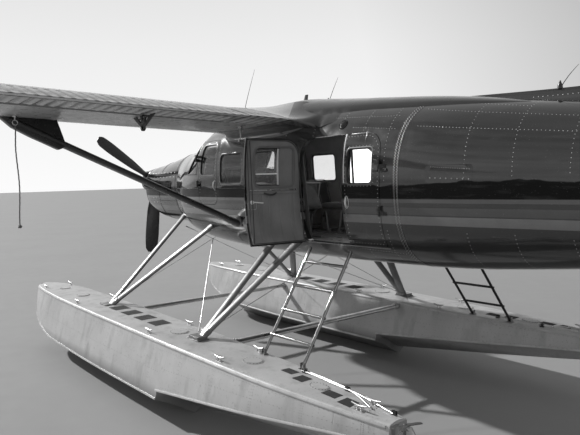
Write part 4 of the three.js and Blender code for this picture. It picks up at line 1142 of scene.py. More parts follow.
def leaves():
    for door in DOORS:
        name, side, place = door["name"], door["side"], door_place(door)
        front, rear = door["edges"][0] - 0.05, door["edges"][1] + 0.05
        skin = hull_patch(front, rear, side, 0, LEAF_SKIN)
        cut(skin, side_prism(door_outline(door, DOOR_GAP), side), "INTERSECT")
        cut(skin, side_prism(outline(*door["window"]), side))
        shade_skin(skin, [(0, 1, 0)])
        skin.name = name + "_skin"
        dress(skin, name, "dark_paint", [HULL_PAINT], place=place, replaces=[name])
        pan = hull_patch(front, rear, side, LEAF_SKIN + 0.001, -WALL)
        cut(pan, side_prism(door_outline(door, PAN_INSET), side), "INTERSECT")
        cut(pan, side_prism(outline(*door["window"], inset=-0.004), side))
        shade_skin(pan, [(-WALL, -1, 0)])
        pan.name = name + "_pan"
        dress(pan, name, "lining", [LINING], place=place)
        node = name.replace("door", "door_window")
        glaze_side(door["window"], side, name, name, node, place)


def panes():
    for name, side, edges in WINDOWS:
        glaze_side(edges, side, name, "airframe", name)
    stations = np.linspace(-1.2, -0.3, 40)
    for side, word in ((1, "left"), (-1, "right")):
        for shape, title in ((screen_prism, "windshield"), (quarter_prism, "quarter_window")):
            build = Build().loft(hull_points(stations, PANE[0]))
            build.loft(hull_points(stations[1:-1], PANE[1]), inside_out=True)
            name = f"{title}_{word}"
            glaze(build.raw(), shape(side, PANE_GAP), name, "airframe", name)


def tail_cone():
    stations = np.linspace(SPLICE + 0.001, CONE_END, 90)
    skin = Build().loft(hull_points(stations)).raw("tail_cone_skin")
    shade_skin(skin, [(0, 1, 0)])
    dress(skin, "airframe", "tail_paint", [HULL_PAINT], replaces=["tail_cone"])


cabin_skin()
leaves()
panes()
tail_cone()

# Nose. Each row: station, half width, bottom, top.
COWL = np.array(
    [
        (-3.12, 0.235, 2.33, 2.89),
        (-3.10, 0.258, 2.30, 2.898),
        (-2.98, 0.320, 2.17, 2.93),
        (-2.50, 0.400, 2.04, 2.985),
        (-1.55, 0.500, 1.99, 3.13),
    ]
)
COWL_POWER = 0.87
PROP = Vector((X(-3.28), 0, 2.68))
PROP_RADIUS = 1.3
PROP_ANGLES = (36, 156, 276)


def cowl_ring(station, grow=0.0, count=96):
    half, bottom, top = between(COWL, station)[0]
    middle, tall = (top + bottom) / 2, (top - bottom) / 2 + grow
    turn = 2 * math.pi * (np.arange(count) + 0.5) / count
    c, s = np.cos(turn), np.sin(turn)
    y = np.sign(c) * np.abs(c) ** COWL_POWER * (half + grow)
    z = middle + np.sign(s) * np.abs(s) ** COWL_POWER * tall
    return np.stack([np.full(count, X(station)), y, z], axis=1)


def cowl_side(station, z, side, grow):
    half, bottom, top = between(COWL, station)[0]
    middle, tall = (top + bottom) / 2, (top - bottom) / 2 + grow
    share = min(abs(z - middle) / tall, 1.0)
    s = share ** (1 / COWL_POWER)
    return Vector((X(station), side * (half + grow) * math.sqrt(1 - s * s) ** COWL_POWER, z))


def nose_cowl():
    stations = np.concatenate([np.linspace(-3.12, -2.95, 14), np.linspace(-2.9, -1.5504, 50)])
    build = Build()
    build.loft([cowl_ring(s) for s in stations])
    inside = [s for s in stations if -3.09 < s < -1.56]
    build.loft([cowl_ring(s, -0.014) for s in inside], inside_out=True)
    skin = build.raw("cowl_skin")
    intake = [(-3.3, 2.37), (-2.86, 2.345), (-2.86, 2.49), (-3.3, 2.5)]
    shaft = Build().lathe([(0, 0.095), (0.3, 0.095)], (X(-3.0), 0, PROP.z), FORE, 32).raw()
    tools = [prism(intake, -0.15, 0.15), shaft]
    cut(skin, joined(tools))
    dress(skin, "airframe", "dark_paint", [HULL_PAINT], angle=40, replaces=["nose_cowl"])


nose_cowl()

# Wing
CHORD = 1.98
SPAN = 17.68
WING_ROOT = 0.6
WING_LEADING_Z = 3.395
WING_DROP = 0.058
DIHEDRAL = math.tan(math.radians(2))
THICKNESS = 0.15
CAMBER = 0.02
CAMBER_AT = 0.4
FLAP_STATION = 1.45
FLAP_NOSE = 1.542
FLAP_SPAN = (1.57, 5.08)
FLAP_BRACKETS = (2.49, 4.6)
FLAP_PIN_BELOW = 0.265
FLAP_PIN_S = 1.47
AILERON_SPAN = (5.13, 8.28)
AILERON_MIDDLE = 6.7
AILERON_AXIS_Z = 3.5421  # at the ailerons' middle
# Each row: distance from the tip inwards, leading edge, chord, thickness scale.
TIP = np.array(
    [
        (-0.420, 0.000, 1.98, 1.00),
        (-0.260, 0.015, 1.95, 0.96),
        (-0.130, 0.070, 1.82, 0.86),
        (-0.050, 0.160, 1.64, 0.66),
        (0.000, 0.300, 1.40, 0.30),
    ]
)


def wing_z(y):
    return WING_LEADING_Z + max(0.0, abs(y) - WING_ROOT) * DIHEDRAL


def wing_height(share, upper):
    half = 5 * THICKNESS * (
        0.2969 * np.sqrt(share) - 0.126 * share - 0.3516 * share**2
        + 0.2843 * share**3 - 0.1015 * share**4
    )
    front = CAMBER / CAMBER_AT**2 * (2 * CAMBER_AT * share - share**2)
    rear = CAMBER / (1 - CAMBER_AT) ** 2 * (1 - 2 * CAMBER_AT + 2 * CAMBER_AT * share - share**2)
    camber = np.where(share < CAMBER_AT, front, rear)
    return camber + (half if upper else -half)


def wing_points(y, shares, upper, leading=0.0, chord=CHORD, scale=1.0, grow=0.0):
    shares = np.asarray(shares, float)
    rise = wing_height(shares, upper) * chord * scale + (grow if upper else -grow)
    z = wing_z(y) - WING_DROP * shares * chord + rise
    return np.stack([X(leading + shares * chord), np.full(len(shares), y), z], axis=1)


def wing_ring(y, last=1.0, **shape):
    """A section from its rear edge over the top to the nose and back below."""
    count = 34
    arc = 1.0 if last == 1 else 0.9
    shares = last * (1 - np.cos(np.pi * np.arange(count) / (count - 1) * arc)) / 2
    shares = shares * (last / shares[-1])
    top = wing_points(y, shares[::-1], True, **shape)
    under = wing_points(y, shares[1:], False, **shape)
    return np.concatenate([top, under])


FLAP_BEAD = {"height": 0.014, "half": 0.032}
ROOT_EDGES = (1.09, 1.555)


def beaded_surface(build, side, span, grow=0.0):
    rows = beaded(*span, BEAD_PITCH, **FLAP_BEAD)
    return build.loft([flap_ring(side * y, lift, grow) for y, lift in rows])


def wings():
    build = Build().loft([wing_ring(y) for y in np.linspace(-WING_ROOT, WING_ROOT, 9)])
    build.piece("wing_centre_skin", "airframe", "wing_paint", WING_PAINT, replaces=["wing_centre"])
    cut_share = FLAP_STATION / CHORD
    for side, word in ((1, "left"), (-1, "right")):
        build = Build()
        inner = np.linspace(WING_ROOT + 0.0002, FLAP_SPAN[0] - 0.01, 6)
        middle = np.linspace(FLAP_SPAN[0] - 0.01, AILERON_SPAN[1] + 0.01, 40)
        build.loft([wing_ring(side * y) for y in inner])
        build.loft([wing_ring(side * y, cut_share) for y in middle])
        build.loft([wing_ring(side * (AILERON_SPAN[1] + 0.01))] + tip_rings(side))
        build.piece(f"wing_{word}_skin", "airframe", "wing_paint", WING_PAINT, replaces=[f"wing_{word}"])
        for title, span in (("flap", FLAP_SPAN), ("aileron", AILERON_SPAN)):
            name = f"{title}_{word}"
            moving = beaded_surface(Build(), side, span)
            moving.piece(name + "_skin", name, "wing_paint", FLAP_PAINT, replaces=[name])
    root = Build()
    for side in (1, -1):
        beaded_surface(root, side, ROOT_EDGES, 0.003)
    root.piece("wing_root_edges", "airframe", "wing_paint", FLAP_PAINT)


def tip_rings(side):
    rings = []
    for inward in (-0.42, -0.34, -0.26, -0.19, -0.13, -0.09, -0.05, -0.022, 0.0):
        leading, chord, scale = between(TIP, inward)[0]
        y = side * (SPAN / 2 + inward)
        rings.append(wing_ring(y, leading=leading, chord=chord, scale=scale))
    return rings


def beaded(start, end, pitch, height, half=0.014):
    """Places along a span and the height of the pressed beads there."""
    rows = [(start, 0.0)]
    first = math.ceil((start + 0.05) / pitch) * pitch
    count = int((end - 0.04 - first) / pitch) + 1
    for k in range(count):
        middle = first + k * pitch
        for offset, share in ((-1, 0), (-0.5, 0.7), (0, 1), (0.5, 0.7), (1, 0)):
            rows.append((middle + offset * half, share * height))
    return rows + [(end, 0.0)]


def flap_ring(y, lift, grow):
    """A flap's section. The bead's lift fades out towards both edges."""
    first = FLAP_NOSE / CHORD
    shares = np.linspace(first, 1, 20)
    fade = np.clip(np.minimum(shares - first, 0.955 - shares) / 0.03, 0, 1)
    top = wing_points(y, shares, True)
    under = wing_points(y, shares, False)
    top[:, 2] += lift * fade + grow
    under[:, 2] -= lift * fade + grow
    middle = (top[0] + under[0]) / 2
    radius = (top[0, 2] - under[0, 2]) / 2
    turn = np.pi * np.arange(1, 10) / 10
    nose = np.stack(
        [middle[0] + 0.07 * np.sin(turn), np.full(9, y), middle[2] + radius * np.cos(turn)], axis=1
    )
    return np.concatenate([top[::-1], nose, under])


wings()

# Tail. Each row of the fin: station, height of the ridge, half thickness.
FIN = np.array(
    [
        (3.39, 3.425, 0.008),
        (4.87, 3.372, 0.020),
        (6.60, 3.370, 0.034),
        (7.30, 3.480, 0.042),
        (7.75, 3.830, 0.052),
        (8.10, 4.250, 0.055),
        (8.40, 4.480, 0.055),
        (8.70, 4.565, 0.050),
        (8.85, 4.570, 0.045),
    ]
)
RUDDER_HINGE = 8.93
# Each row: height, trailing edge, half thickness.
RUDDER = np.array(
    [
        (2.56, 9.38, 0.034),
        (2.76, 9.64, 0.050),
        (3.30, 9.75, 0.052),
        (3.90, 9.69, 0.048),
        (4.38, 9.54, 0.042),
        (4.54, 9.33, 0.024),
    ]
)
TRAILING_HALF = 0.003  # half the thickness of a moving surface's rear edge
TAIL_Z = 3.16
TAIL_HINGE = 8.8
TAIL_REAR = 8.728
# The tailplane's section. Each row: share of the chord, share of the half thickness.
TAIL_SECTION = [
    (0.0, 0.0),
    (0.01, 0.3),
    (0.035, 0.52),
    (0.09, 0.74),
    (0.18, 0.9),
    (0.3, 0.98),
    (0.45, 1.0),
    (0.7, 0.97),
    (1.0, 0.92),
]
# Each row: distance from the middle, leading edge, half thickness.
TAILPLANE = np.array(
    [
        (0.0, 7.900, 0.068),
        (2.7, 8.090, 0.048),
        (3.08, 8.200, 0.038),
        (3.225, 8.420, 0.018),
    ]
)
# Each row: distance from the middle, trailing edge, half thickness.
ELEVATOR = np.array(
    [
        (0.11, 8.85, 0.056),
        (0.33, 9.33, 0.056),
        (2.70, 9.30, 0.044),
        (3.08, 9.18, 0.036),
        (3.215, 9.02, 0.018),
    ]
)


def linear(table, place):
    return [np.interp(place, table[:, 0], table[:, k]) for k in range(1, table.shape[1])]


def fin():
    rings = []
    stations = np.concatenate([np.linspace(3.39, 6.6, 30), np.linspace(6.65, 8.85, 60)])
    for station in stations:
        ridge, half = between(FIN, station)[0]
        base = between(HULL, min(station, CONE_END))[0][2] - 0.09
        taper = min(1.0, 0.4 + (4.57 - ridge) / 2.4)
        points = [(half, base), (half, (base + ridge) / 2), (half, ridge - 0.09)]
        points += [(half * 0.9 * taper, ridge - 0.045), (half * 0.6 * taper, ridge - 0.015)]
        points.append((half * 0.2, ridge))
        ring = [at(station, y, z) for y, z in points] + [at(station, -y, z) for y, z in points[::-1]]
        rings.append(ring)
    build = Build().loft(rings)
    build.piece("fin_skin", "airframe", "tail_paint", HULL_PAINT, angle=30, replaces=["fin"])


def hinged_ring(hinge, trailing, half, lift, nose, place):
    """A moving surface's section: a round nose ahead of the hinge and flat sides behind it."""
    points = [(trailing, TRAILING_HALF)]
    for share in (0.12, 0.3, 0.55, 0.8, 0.93):
        station = trailing + (hinge - trailing) * share
        rise = TRAILING_HALF + (half - TRAILING_HALF) * share
        points.append((station, rise + (lift if 0.1 < share < 0.9 else 0)))
    for degrees in (90, 70, 50, 30, 12):
        a = math.radians(degrees)
        points.append((hinge - nose * math.cos(a), half * math.sin(a)))
    return [place(s, r) for s, r in points] + [place(s, -r) for s, r in points[::-1]]


def rudder():
    rings = []
    for z, lift in beaded(2.56, 4.54, 0.11, 0.004):
        trailing, half = linear(RUDDER, z)
        place = lambda s, r, z=z: at(s, r, z)
        rings.append(hinged_ring(RUDDER_HINGE, trailing, half, lift, 0.06, place))
    skin = Build().loft(rings).raw("rudder_skin")
    cut(skin, prism([(8.67, 2.4), (8.912, 2.4), (8.912, 2.9), (8.67, 2.9)], -0.2, 0.2))
    dress(skin, "rudder", "tail_paint", [HULL_PAINT], replaces=["rudder"])


def tailplane():
    rings = []
    outer = list(np.linspace(0, 2.7, 20)) + [2.85, 3.0, 3.08, 3.15, 3.2, 3.225]
    for y in [-y for y in outer[:0:-1]] + outer:
        leading, half = linear(TAILPLANE, abs(y))
        points = [(leading + (TAIL_REAR - leading) * a, b * half) for a, b in TAIL_SECTION]
        ring = [at(s, y, TAIL_Z + r) for s, r in points[::-1]]
        rings.append(ring + [at(s, y, TAIL_Z - r) for s, r in points[1:]])
    build = Build().loft(rings)
    build.piece("tailplane_skin", "airframe", "tail_paint", HULL_PAINT, replaces=["tailplane"])


def elevator():
    build = Build()
    for side in (1, -1):
        rings = []
        for y, lift in beaded(0.11, 3.215, 0.12, 0.004):
            trailing, half = linear(ELEVATOR, y)
            place = lambda s, r, y=y: at(s, side * y, TAIL_Z + r)
            rings.append(hinged_ring(TAIL_HINGE, trailing, half, lift, 0.062, place))
        build.loft(rings)
    build.tube([at(TAIL_HINGE, y, TAIL_Z) for y in (-0.13, 0.13)], 0.022, 20)
    build.piece("elevator_skin", "elevator", "tail_paint", HULL_PAINT, replaces=["elevator"])


def ventral_fin():
    arc = [(8.32 + 0.42 * math.cos(a), 2.38 - 0.42 * math.sin(a)) for a in np.linspace(0, math.pi, 40)]
    shape = arc + [(7.9, 2.44), (8.74, 2.56)]
    build = Build().loft([[at(s, y, z) for s, z in shape] for y in (-0.016, 0.016)])
    build.piece("ventral_skin", "airframe", "tail_paint", HULL_PAINT, bevel=0.005, replaces=["ventral_fin"])


fin()
rudder()
tailplane()
elevator()
ventral_fin()

# Floats. Each row: station, half width and height of the deck's edge, of the chine, height of the keel.
FLOAT_Y = 1.76
FLOAT_FRONT = np.array(
    [
        (-4.26, 0.060, 0.900, 0.060, 0.800, 0.760),
        (-4.08, 0.170, 0.912, 0.190, 0.690, 0.520),
        (-3.65, 0.260, 0.920, 0.350, 0.500, 0.235),
        (-3.10, 0.310, 0.920, 0.450, 0.370, 0.075),
        (-2.50, 0.335, 0.910, 0.500, 0.310, 0.000),
        (-0.80, 0.345, 0.890, 0.515, 0.280, 0.000),
        (1.00, 0.340, 0.870, 0.495, 0.270, 0.000),
    ]
)
FLOAT_REAR = np.array(
    [
        (1.0, 0.340, 0.870, 0.495, 0.370, 0.100),
        (2.50, 0.285, 0.838, 0.370, 0.510, 0.300),
        (3.50, 0.180, 0.810, 0.220, 0.600, 0.440),
        (4.08, 0.100, 0.795, 0.110, 0.640, 0.530),
    ]
)
STEP = 1.0  # station of the step in the floats' bottoms
DECK_EDGE = 0.03  # width of the rounding at a deck's edge
DECK_CROWN = 0.016
DECK_FALL = 0.011
DECK_DROP = 0.022
SIDE_BULGE = 0.012


def float_row(station):
    return between(FLOAT_FRONT if station < STEP else FLOAT_REAR, station)[0]


def deck_height(station, offset=0.0):
    deck, deck_z = float_row(station)[:2]
    return deck_z + DECK_CROWN - DECK_FALL * min(1.0, abs(offset) / (deck - DECK_EDGE)) ** 2


def side_bulge(deck, t):
    return SIDE_BULGE * math.sin(math.pi * t) * min(1.0, deck / 0.2)


def float_ring(station, row, side):
    deck, deck_z, chine, chine_z, keel_z = row
    edge = deck - DECK_EDGE
    points = [(edge * k / 5, deck_z + DECK_CROWN - DECK_FALL * (k / 5) ** 2) for k in range(6)]
    top = deck_z - DECK_DROP
    for t in (0.25, 0.5, 0.75, 1.0):
        y = (1 - t) ** 2 * edge + 2 * t * (1 - t) * (deck - 0.001) + t * t * deck
        z = (1 - t) ** 2 * (deck_z + 0.005) + 2 * t * (1 - t) * (deck_z + 0.003) + t * t * top
        points.append((y, z))
    for t in (0.2, 0.4, 0.6, 0.8, 0.93, 0.96):
        points.append((deck + (chine - deck) * t + side_bulge(deck, t), top + (chine_z - top) * t))
    points += [(chine, chine_z + 0.01), (chine, chine_z)]
    for t in (0.06, 0.2, 0.4, 0.6, 0.8, 0.95):
        hollow = 0.014 * math.sin(math.pi * t) * min(1.0, deck / 0.2)
        points.append((chine + (0.018 - chine) * t, chine_z + (keel_z - chine_z) * t + hollow))
    points.append((0.018, keel_z))
    whole = points + [(-y, z) for y, z in points[::-1] if y > 0]
    return [at(station, side * (FLOAT_Y + y), z) for y, z in whole]


def floats():
    for side, word in ((1, "left"), (-1, "right")):
        build = Build()
        for table, stations in (
            (FLOAT_FRONT, np.concatenate([np.linspace(-4.26, -3.9, 8), np.linspace(-3.8, STEP, 60)])),
            (FLOAT_REAR, np.linspace(STEP, 4.08, 40)),
        ):
            build.loft([float_ring(s, between(table, s)[0], side) for s in stations])
        build.piece(
            f"float_{word}_hull", "airframe", "float_paint", FLOAT_PAINT,
            angle=28, replaces=[f"float_{word}"],
        )


floats()

# Struts. The wing strut runs from a foot on the fuselage to a head in a fairing under the wing.
STRUT = {"station": 0.545, "foot": (0.74, 2.09), "head": (3.51, 3.33), "half": 0.085, "flat": 0.42}
# The fairing's outline (y, z), and its layers: distance from the strut's middle and inset of the edge.
STRUT_FAIRING = [
    (3.06, 3.43),
    (3.64, 3.45),
    (3.6, 3.36),
    (3.48, 3.25),
    (3.3, 3.155),
    (3.02, 3.03),
    (2.94, 3.06),
    (2.96, 3.12),
]
FAIRING_LAYERS = [(-0.065, 0.03), (-0.055, 0.008), (-0.03, 0), (0.03, 0), (0.055, 0.008), (0.065, 0.03)]
# Sleeves on the strut. Each row: share of its length where one starts and ends, and its extra radius.
STRUT_SLEEVES = [(0.0, 0.055, 0.007), (0.055, 0.075, 0.004), (0.86, 0.88, 0.004), (0.88, 1, 0.007)]
# Each row: name, foot station, station and height of the legs' heads, half width and thickness.
FLOAT_STRUTS = [
    ("float_strut_front", -1.45, ((-1.4, 2.15), (-0.2, 2.045)), 0.062, 0.024),
    ("float_strut_rear", 1.13, ((1.21, 1.92), (1.64, 1.92)), 0.062, 0.026),
]
SPREADER_Z = 0.8


def bolts(build, places, axis, radius=0.009, height=0.007):
    """Hexagon heads on washers."""
    head = [(0.001, radius), (height * 0.8, radius), (height, radius * 0.8)]
    for place in places:
        build.lathe([(0, radius * 1.5), (0.002, radius * 1.5)], place, axis, 16)
        build.lathe(head, place, axis, 6)


def wing_struts():
    for side, word in ((1, "left"), (-1, "right")):
        foot, head = (at(STRUT["station"], side * y, z) for y, z in (STRUT["foot"], STRUT["head"]))
        along = [foot.lerp(head, k / 24) for k in range(25)]
        build = Build()
        build.tube(along, STRUT["half"], 28, flat=STRUT["flat"], wide=(1, 0, 0))
        for start, end, grow in STRUT_SLEEVES:
            sleeve = [foot.lerp(head, start + (end - start) * k / 4) for k in range(5)]
            build.tube(sleeve, STRUT["half"] + grow, 28, flat=STRUT["flat"] + 0.02, wide=(1, 0, 0))
        layers = []
        for x, inset in FAIRING_LAYERS:
            middle = Vector((3.3, 3.25))
            ring = []
            for y, z in STRUT_FAIRING:
                out = Vector((y, z)) - middle
                out = middle + out * (1 - inset / out.length)
                ring.append(Vector((X(STRUT["station"]) + x, side * out.x, out.y)))
            layers.append(ring)
        build.loft(layers)
        build.piece(
            f"wing_strut_{word}_tube", "airframe", "black_paint", BLACK,
            angle=40, replaces=[f"wing_strut_{word}"],
        )
        fittings = Build()
        normal = (head - foot).normalized()
        for share in (0.028, 0.05):
            place = foot.lerp(head, share)
            for s in (1, -1):
                out = normal.cross(FORE) * s
                bolts(fittings, [place + out * 0.039 + FORE * x for x in (-0.03, 0.03)], out)
        plate = hull_side(STRUT["station"], 2.14, side)
        out = hull_normal(plate)
        turn = Matrix((FORE, out, FORE.cross(out))).transposed()
        half = Vector((0.12, 0.008, 0.07))
        fittings.block(plate - half, plate + half, turn=turn)
        corners = [plate + turn @ Vector((x, half.y, z)) for x in (-0.1, 0.1) for z in (-0.05, 0.05)]
        bolts(fittings, corners, out)
        fittings.piece(f"wing_strut_{word}_fittings", "airframe", "metal", CAST)


def float_struts():
    for name, foot, heads, half, thick in FLOAT_STRUTS:
        for side, word in ((1, "left"), (-1, "right")):
            base = at(foot, side * FLOAT_Y, 0.86)
            build, metalwork = Build(), Build()
            for station, z in heads:
                y = min(0.69, between(HULL, station)[0][0] - 0.11)
                head = at(station, side * y, z)
                along = [base.lerp(head, k / 16) for k in range(17)]
                build.tube(along, half, 24, flat=thick / half, wide=(1, 0, 0))
                line = np.array([base.lerp(head, k / 400) for k in range(401)])
                out = np.argmax(hull_field(line) < 0.01) / 400 or 1.0
                collar = [base.lerp(head, out - 0.03 + 0.045 * k / 4) for k in range(5)]
                build.tube(collar, half + 0.006, 24, flat=thick / half + 0.06, wide=(1, 0, 0))
                lower = [base.lerp(head, 0.06 + 0.05 * k / 3) for k in range(4)]
                build.tube(lower, half + 0.005, 24, flat=thick / half + 0.06, wide=(1, 0, 0))
                normal = (head - base).normalized().cross(FORE)
                for s in (1, -1):
                    spots = [base.lerp(head, 0.085) + FORE * x for x in (-0.025, 0.025)]
                    bolts(metalwork, [p + normal * s * (thick + 0.005) for p in spots], normal * s, 0.007)
            deck = deck_height(foot)
            shoe = [(-0.11, -0.06), (-0.1, -0.07), (0.1, -0.07), (0.11, -0.06)]
            shoe = shoe + [(-x, -y) for x, y in shoe]
            for low, high, grow in ((deck - 0.01, deck + 0.008, 0.015), (deck, 0.925, -0.006)):
                ring = [base + Vector((x * (1 + grow * 8), y * (1 + grow * 8), 0)) for x, y in shoe]
                build.loft([[Vector((p.x, p.y, z)) for p in ring] for z in (low, high)])
            build.piece(
                f"{name}_{word}_legs", "airframe", "black_paint", STRUT_PAINT,
                bevel=0.003, replaces=[f"{name}_{word}"],
            )
            rise = deck + 0.008 - base.z
            corners = [base + Vector((x, y, rise)) for x in (-0.115, 0.115) for y in (-0.05, 0.05)]
            bolts(metalwork, corners, UP)
            metalwork.piece(f"{name}_{word}_bolts", "airframe", "metal", CAST)


def spreaders():
    for name, station in (("spreader_bar_front", -1.29), ("spreader_bar_rear", 1.29)):
        reach = FLOAT_Y - 0.33
        along = [at(station, y, SPREADER_Z) for y in np.linspace(-reach, reach, 25)]
        build = Build().tube(along, 0.058, 28, flat=30 / 58, wide=(1, 0, 0))
        for side in (1, -1):
            sleeve = [at(station, side * y, SPREADER_Z) for y in (reach - 0.09, reach - 0.03, reach + 0.01)]
            build.tube(sleeve, 0.066, 28, flat=0.58, wide=(1, 0, 0))
            spots = [at(station + s, side * (reach - 0.06), SPREADER_Z + 0.036) for s in (-0.02, 0.02)]
            bolts(build, spots, UP)
        build.piece(name + "_tube", "airframe", "metal", BRUSHED, replaces=[name])


def wire(build, a, b):
    """A bracing wire with a turnbuckle at each end."""
    ahead = (b - a).normalized()
    build.tube([a, a.lerp(b, 0.5), b], 0.004, 8)
    turnbuckle = [(0, 0.009), (0.03, 0.009), (0.05, 0.006), (0.13, 0.006), (0.15, 0.004)]
    for end, way in ((a, ahead), (b, -ahead)):
        build.lathe(turnbuckle, end, way, 10)


def bracing():
    build = Build()
    for station, head in ((-1.45, -1.3), (1.13, 1.21)):
        for side in (1, -1):
            low = at(station, side * (FLOAT_Y - 0.06), 0.93)
            high = at(head, -side * 0.5, between(HULL, head)[0][1] + 0.045)
            wire(build, low, high)
    for side in (1, -1):
        wire(build, at(1.08, side * (FLOAT_Y - 0.04), 0.95), at(-0.2, side * 0.7, 1.86))
    build.piece("bracing_wires", "airframe", "metal", BRUSHED)


wing_struts()
float_struts()
spreaders()
bracing()


# Ladders. Each row: name, side, foot and head (y, z), the rails' stations, rungs, radius, material.
LADDERS = [
    (
        "ladder_port", 1, (1.56, 0.83), (0.8, 1.9), ((2.08, 2.01), (2.7, 2.64)),
        (0.2, 0.42, 0.64, 0.86), 0.017, "metal", BRIGHT,
    ),
    (
        "ladder_starboard", -1, (1.56, 0.82), (0.76, 1.87), ((2.48, 2.42), (3.01, 2.95)),
        (0.22, 0.46, 0.7), 0.016, "black_paint", BLACK,
    ),
]


def ladders():
    for name, side, foot, head, stations, rungs, radius, slot, material in LADDERS:
        build = Build()
        fittings = Build()

        def point(rail, share):
            s = stations[rail][0] + (stations[rail][1] - stations[rail][0]) * share
            y, z = (foot[k] + (head[k] - foot[k]) * share for k in (0, 1))
            return at(s, side * y, z)

        for rail in (0, 1):
            path = [point(rail, 0.02), point(rail, 0.03)] + [point(rail, k / 10) for k in range(1, 10)]
            path += [point(rail, 0.985), point(rail, 1.0)]
            radii = [radius * 0.8] + [radius] * (len(path) - 2) + [radius * 0.7]
            build.tube(path, radii, 20)
            base = point(rail, 0.03)
            base.z = deck_height(stations[rail][0], FLOAT_Y - foot[0])
            fittings.block(base - Vector((0.035, 0.03, 0.004)), base + Vector((0.035, 0.03, 0.006)))
            for x in (-0.022, 0.022):
                fittings.block(base + Vector((x - 0.003, -0.016, 0)), base + Vector((x + 0.003, 0.016, 0.06)))
            fittings.tube([base + Vector((x, 0, 0.035)) for x in (-0.03, 0.03)], 0.006, 10)
            spots = [base + Vector((x, y, 0.006)) for x in (-0.028, 0.028) for y in (-0.022, 0.022)]
            bolts(fittings, spots, UP, 0.005, 0.004)
        for share in rungs:
            a, b = point(0, share), point(1, share)
            out = (a - b).normalized()
            ends = [radius * share for share in (0.8, 0.85, 0.85, 0.8)]
            build.tube([a + out * 0.025, a, b, b - out * 0.025], ends, 18)
            grip = [a.lerp(b, 0.08 + 0.84 * k / 30) for k in range(31)]
            build.tube(grip, [radius * (0.87 if k % 2 else 0.93) for k in range(31)], 18)
        build.piece(name + "_tubes", "airframe", slot, material, replaces=[name])
        fittings.piece(name + "_feet", "airframe", "metal", CAST, bevel=0.001)


ladders()


# Engine, exhausts, propeller. Each row of the blade: share of the radius, chord, thickness, pitch.
BLADE = np.array(
    [
        (0.10, 0.110, 0.090, 60),
        (0.20, 0.150, 0.062, 48),
        (0.45, 0.225, 0.034, 34),
        (0.75, 0.235, 0.020, 24),
        (0.94, 0.205, 0.013, 19),
        (1.00, 0.110, 0.009, 18),
    ]
)


BLADE_SHARES = (0.1, 0.14, 0.18, *np.linspace(0.22, 0.9, 24), 0.92, 0.94, 0.96, 0.975, 0.987, 0.995, 1.0)


def blade_out(angle):
    turn = math.radians(angle)
    return Vector((0, math.cos(turn), math.sin(turn)))


def blade_frame(angle, share):
    """A blade's middle, the directions along its chord and across it, and its chord and thickness."""
    turn = math.radians(angle)
    out = blade_out(angle)
    tangent = Vector((0, -math.sin(turn), math.cos(turn)))
    chord, thick, pitch = between(BLADE, share)[0]
    tilt = math.radians(pitch)
    wide = tangent * math.cos(tilt) + FORE * math.sin(tilt)
    thin = tangent * -math.sin(tilt) + FORE * math.cos(tilt)
    return PROP + out * (share * PROP_RADIUS), wide, thin, chord, thick


def propeller():
    build = Build()
    for angle in PROP_ANGLES:
        rings = []
        for share in BLADE_SHARES:
            middle, wide, thin, chord, thick = blade_frame(angle, share)
            ring = []
            for k in range(28):
                a = 2 * math.pi * k / 28
                sharp = 1 - 0.35 * max(0.0, math.cos(a)) * progress(share, 0.18, 0.2)
                across = thin * (thick / 2 * math.sin(a) * sharp)
                ring.append(middle + wide * (chord / 2 * math.cos(a)) + across)
            rings.append(ring)
        build.loft(rings)
        out = blade_out(angle)
        for share, radius in ((0.12, 0.072), (0.175, 0.068)):
            clamp = [(-0.012, radius - 0.004), (-0.009, radius), (0.009, radius), (0.012, radius - 0.004)]
            build.lathe(clamp, PROP + out * (share * PROP_RADIUS), out, 28)
    hub = [(-0.09, 0.11), (-0.08, 0.14), (-0.05, 0.15), (0.05, 0.15), (0.08, 0.14), (0.09, 0.11)]
    build.lathe(hub, PROP, FORE, 48)
    build.lathe([(-0.28, 0.07), (-0.09, 0.07)], PROP, FORE, 32)
    build.piece("propeller_blades", "propeller", "black_paint", BLACK, angle=40, replaces=["propeller"])
    propeller_boots()
    spinner()


def propeller_boots():
    """Rubber over each blade's leading edge."""
    boots = Build()
    arc = np.radians(np.linspace(-50, 50, 9))
    for angle in PROP_ANGLES:
        rings = []
        for share in np.linspace(0.24, 0.46, 12):
            middle, wide, thin, chord, thick = blade_frame(angle, share)
            ring = []
            for angles, proud, flat in ((arc, 0.0015, 1.0), (arc[::-1], -0.004, 0.8)):
                for a in angles:
                    across = thin * ((thick / 2 + proud) * math.sin(a) * flat)
                    ring.append(middle + wide * ((chord / 2 + proud) * math.cos(a)) + across)
            rings.append(ring)
        boots.loft(rings)
    boots.piece("propeller_boots", "propeller", "black_paint", RUBBER)


# Stations of the spinner's base and tip, and its radius.
SPINNER = {"base": -3.135, "tip": -3.65, "radius": 0.232}


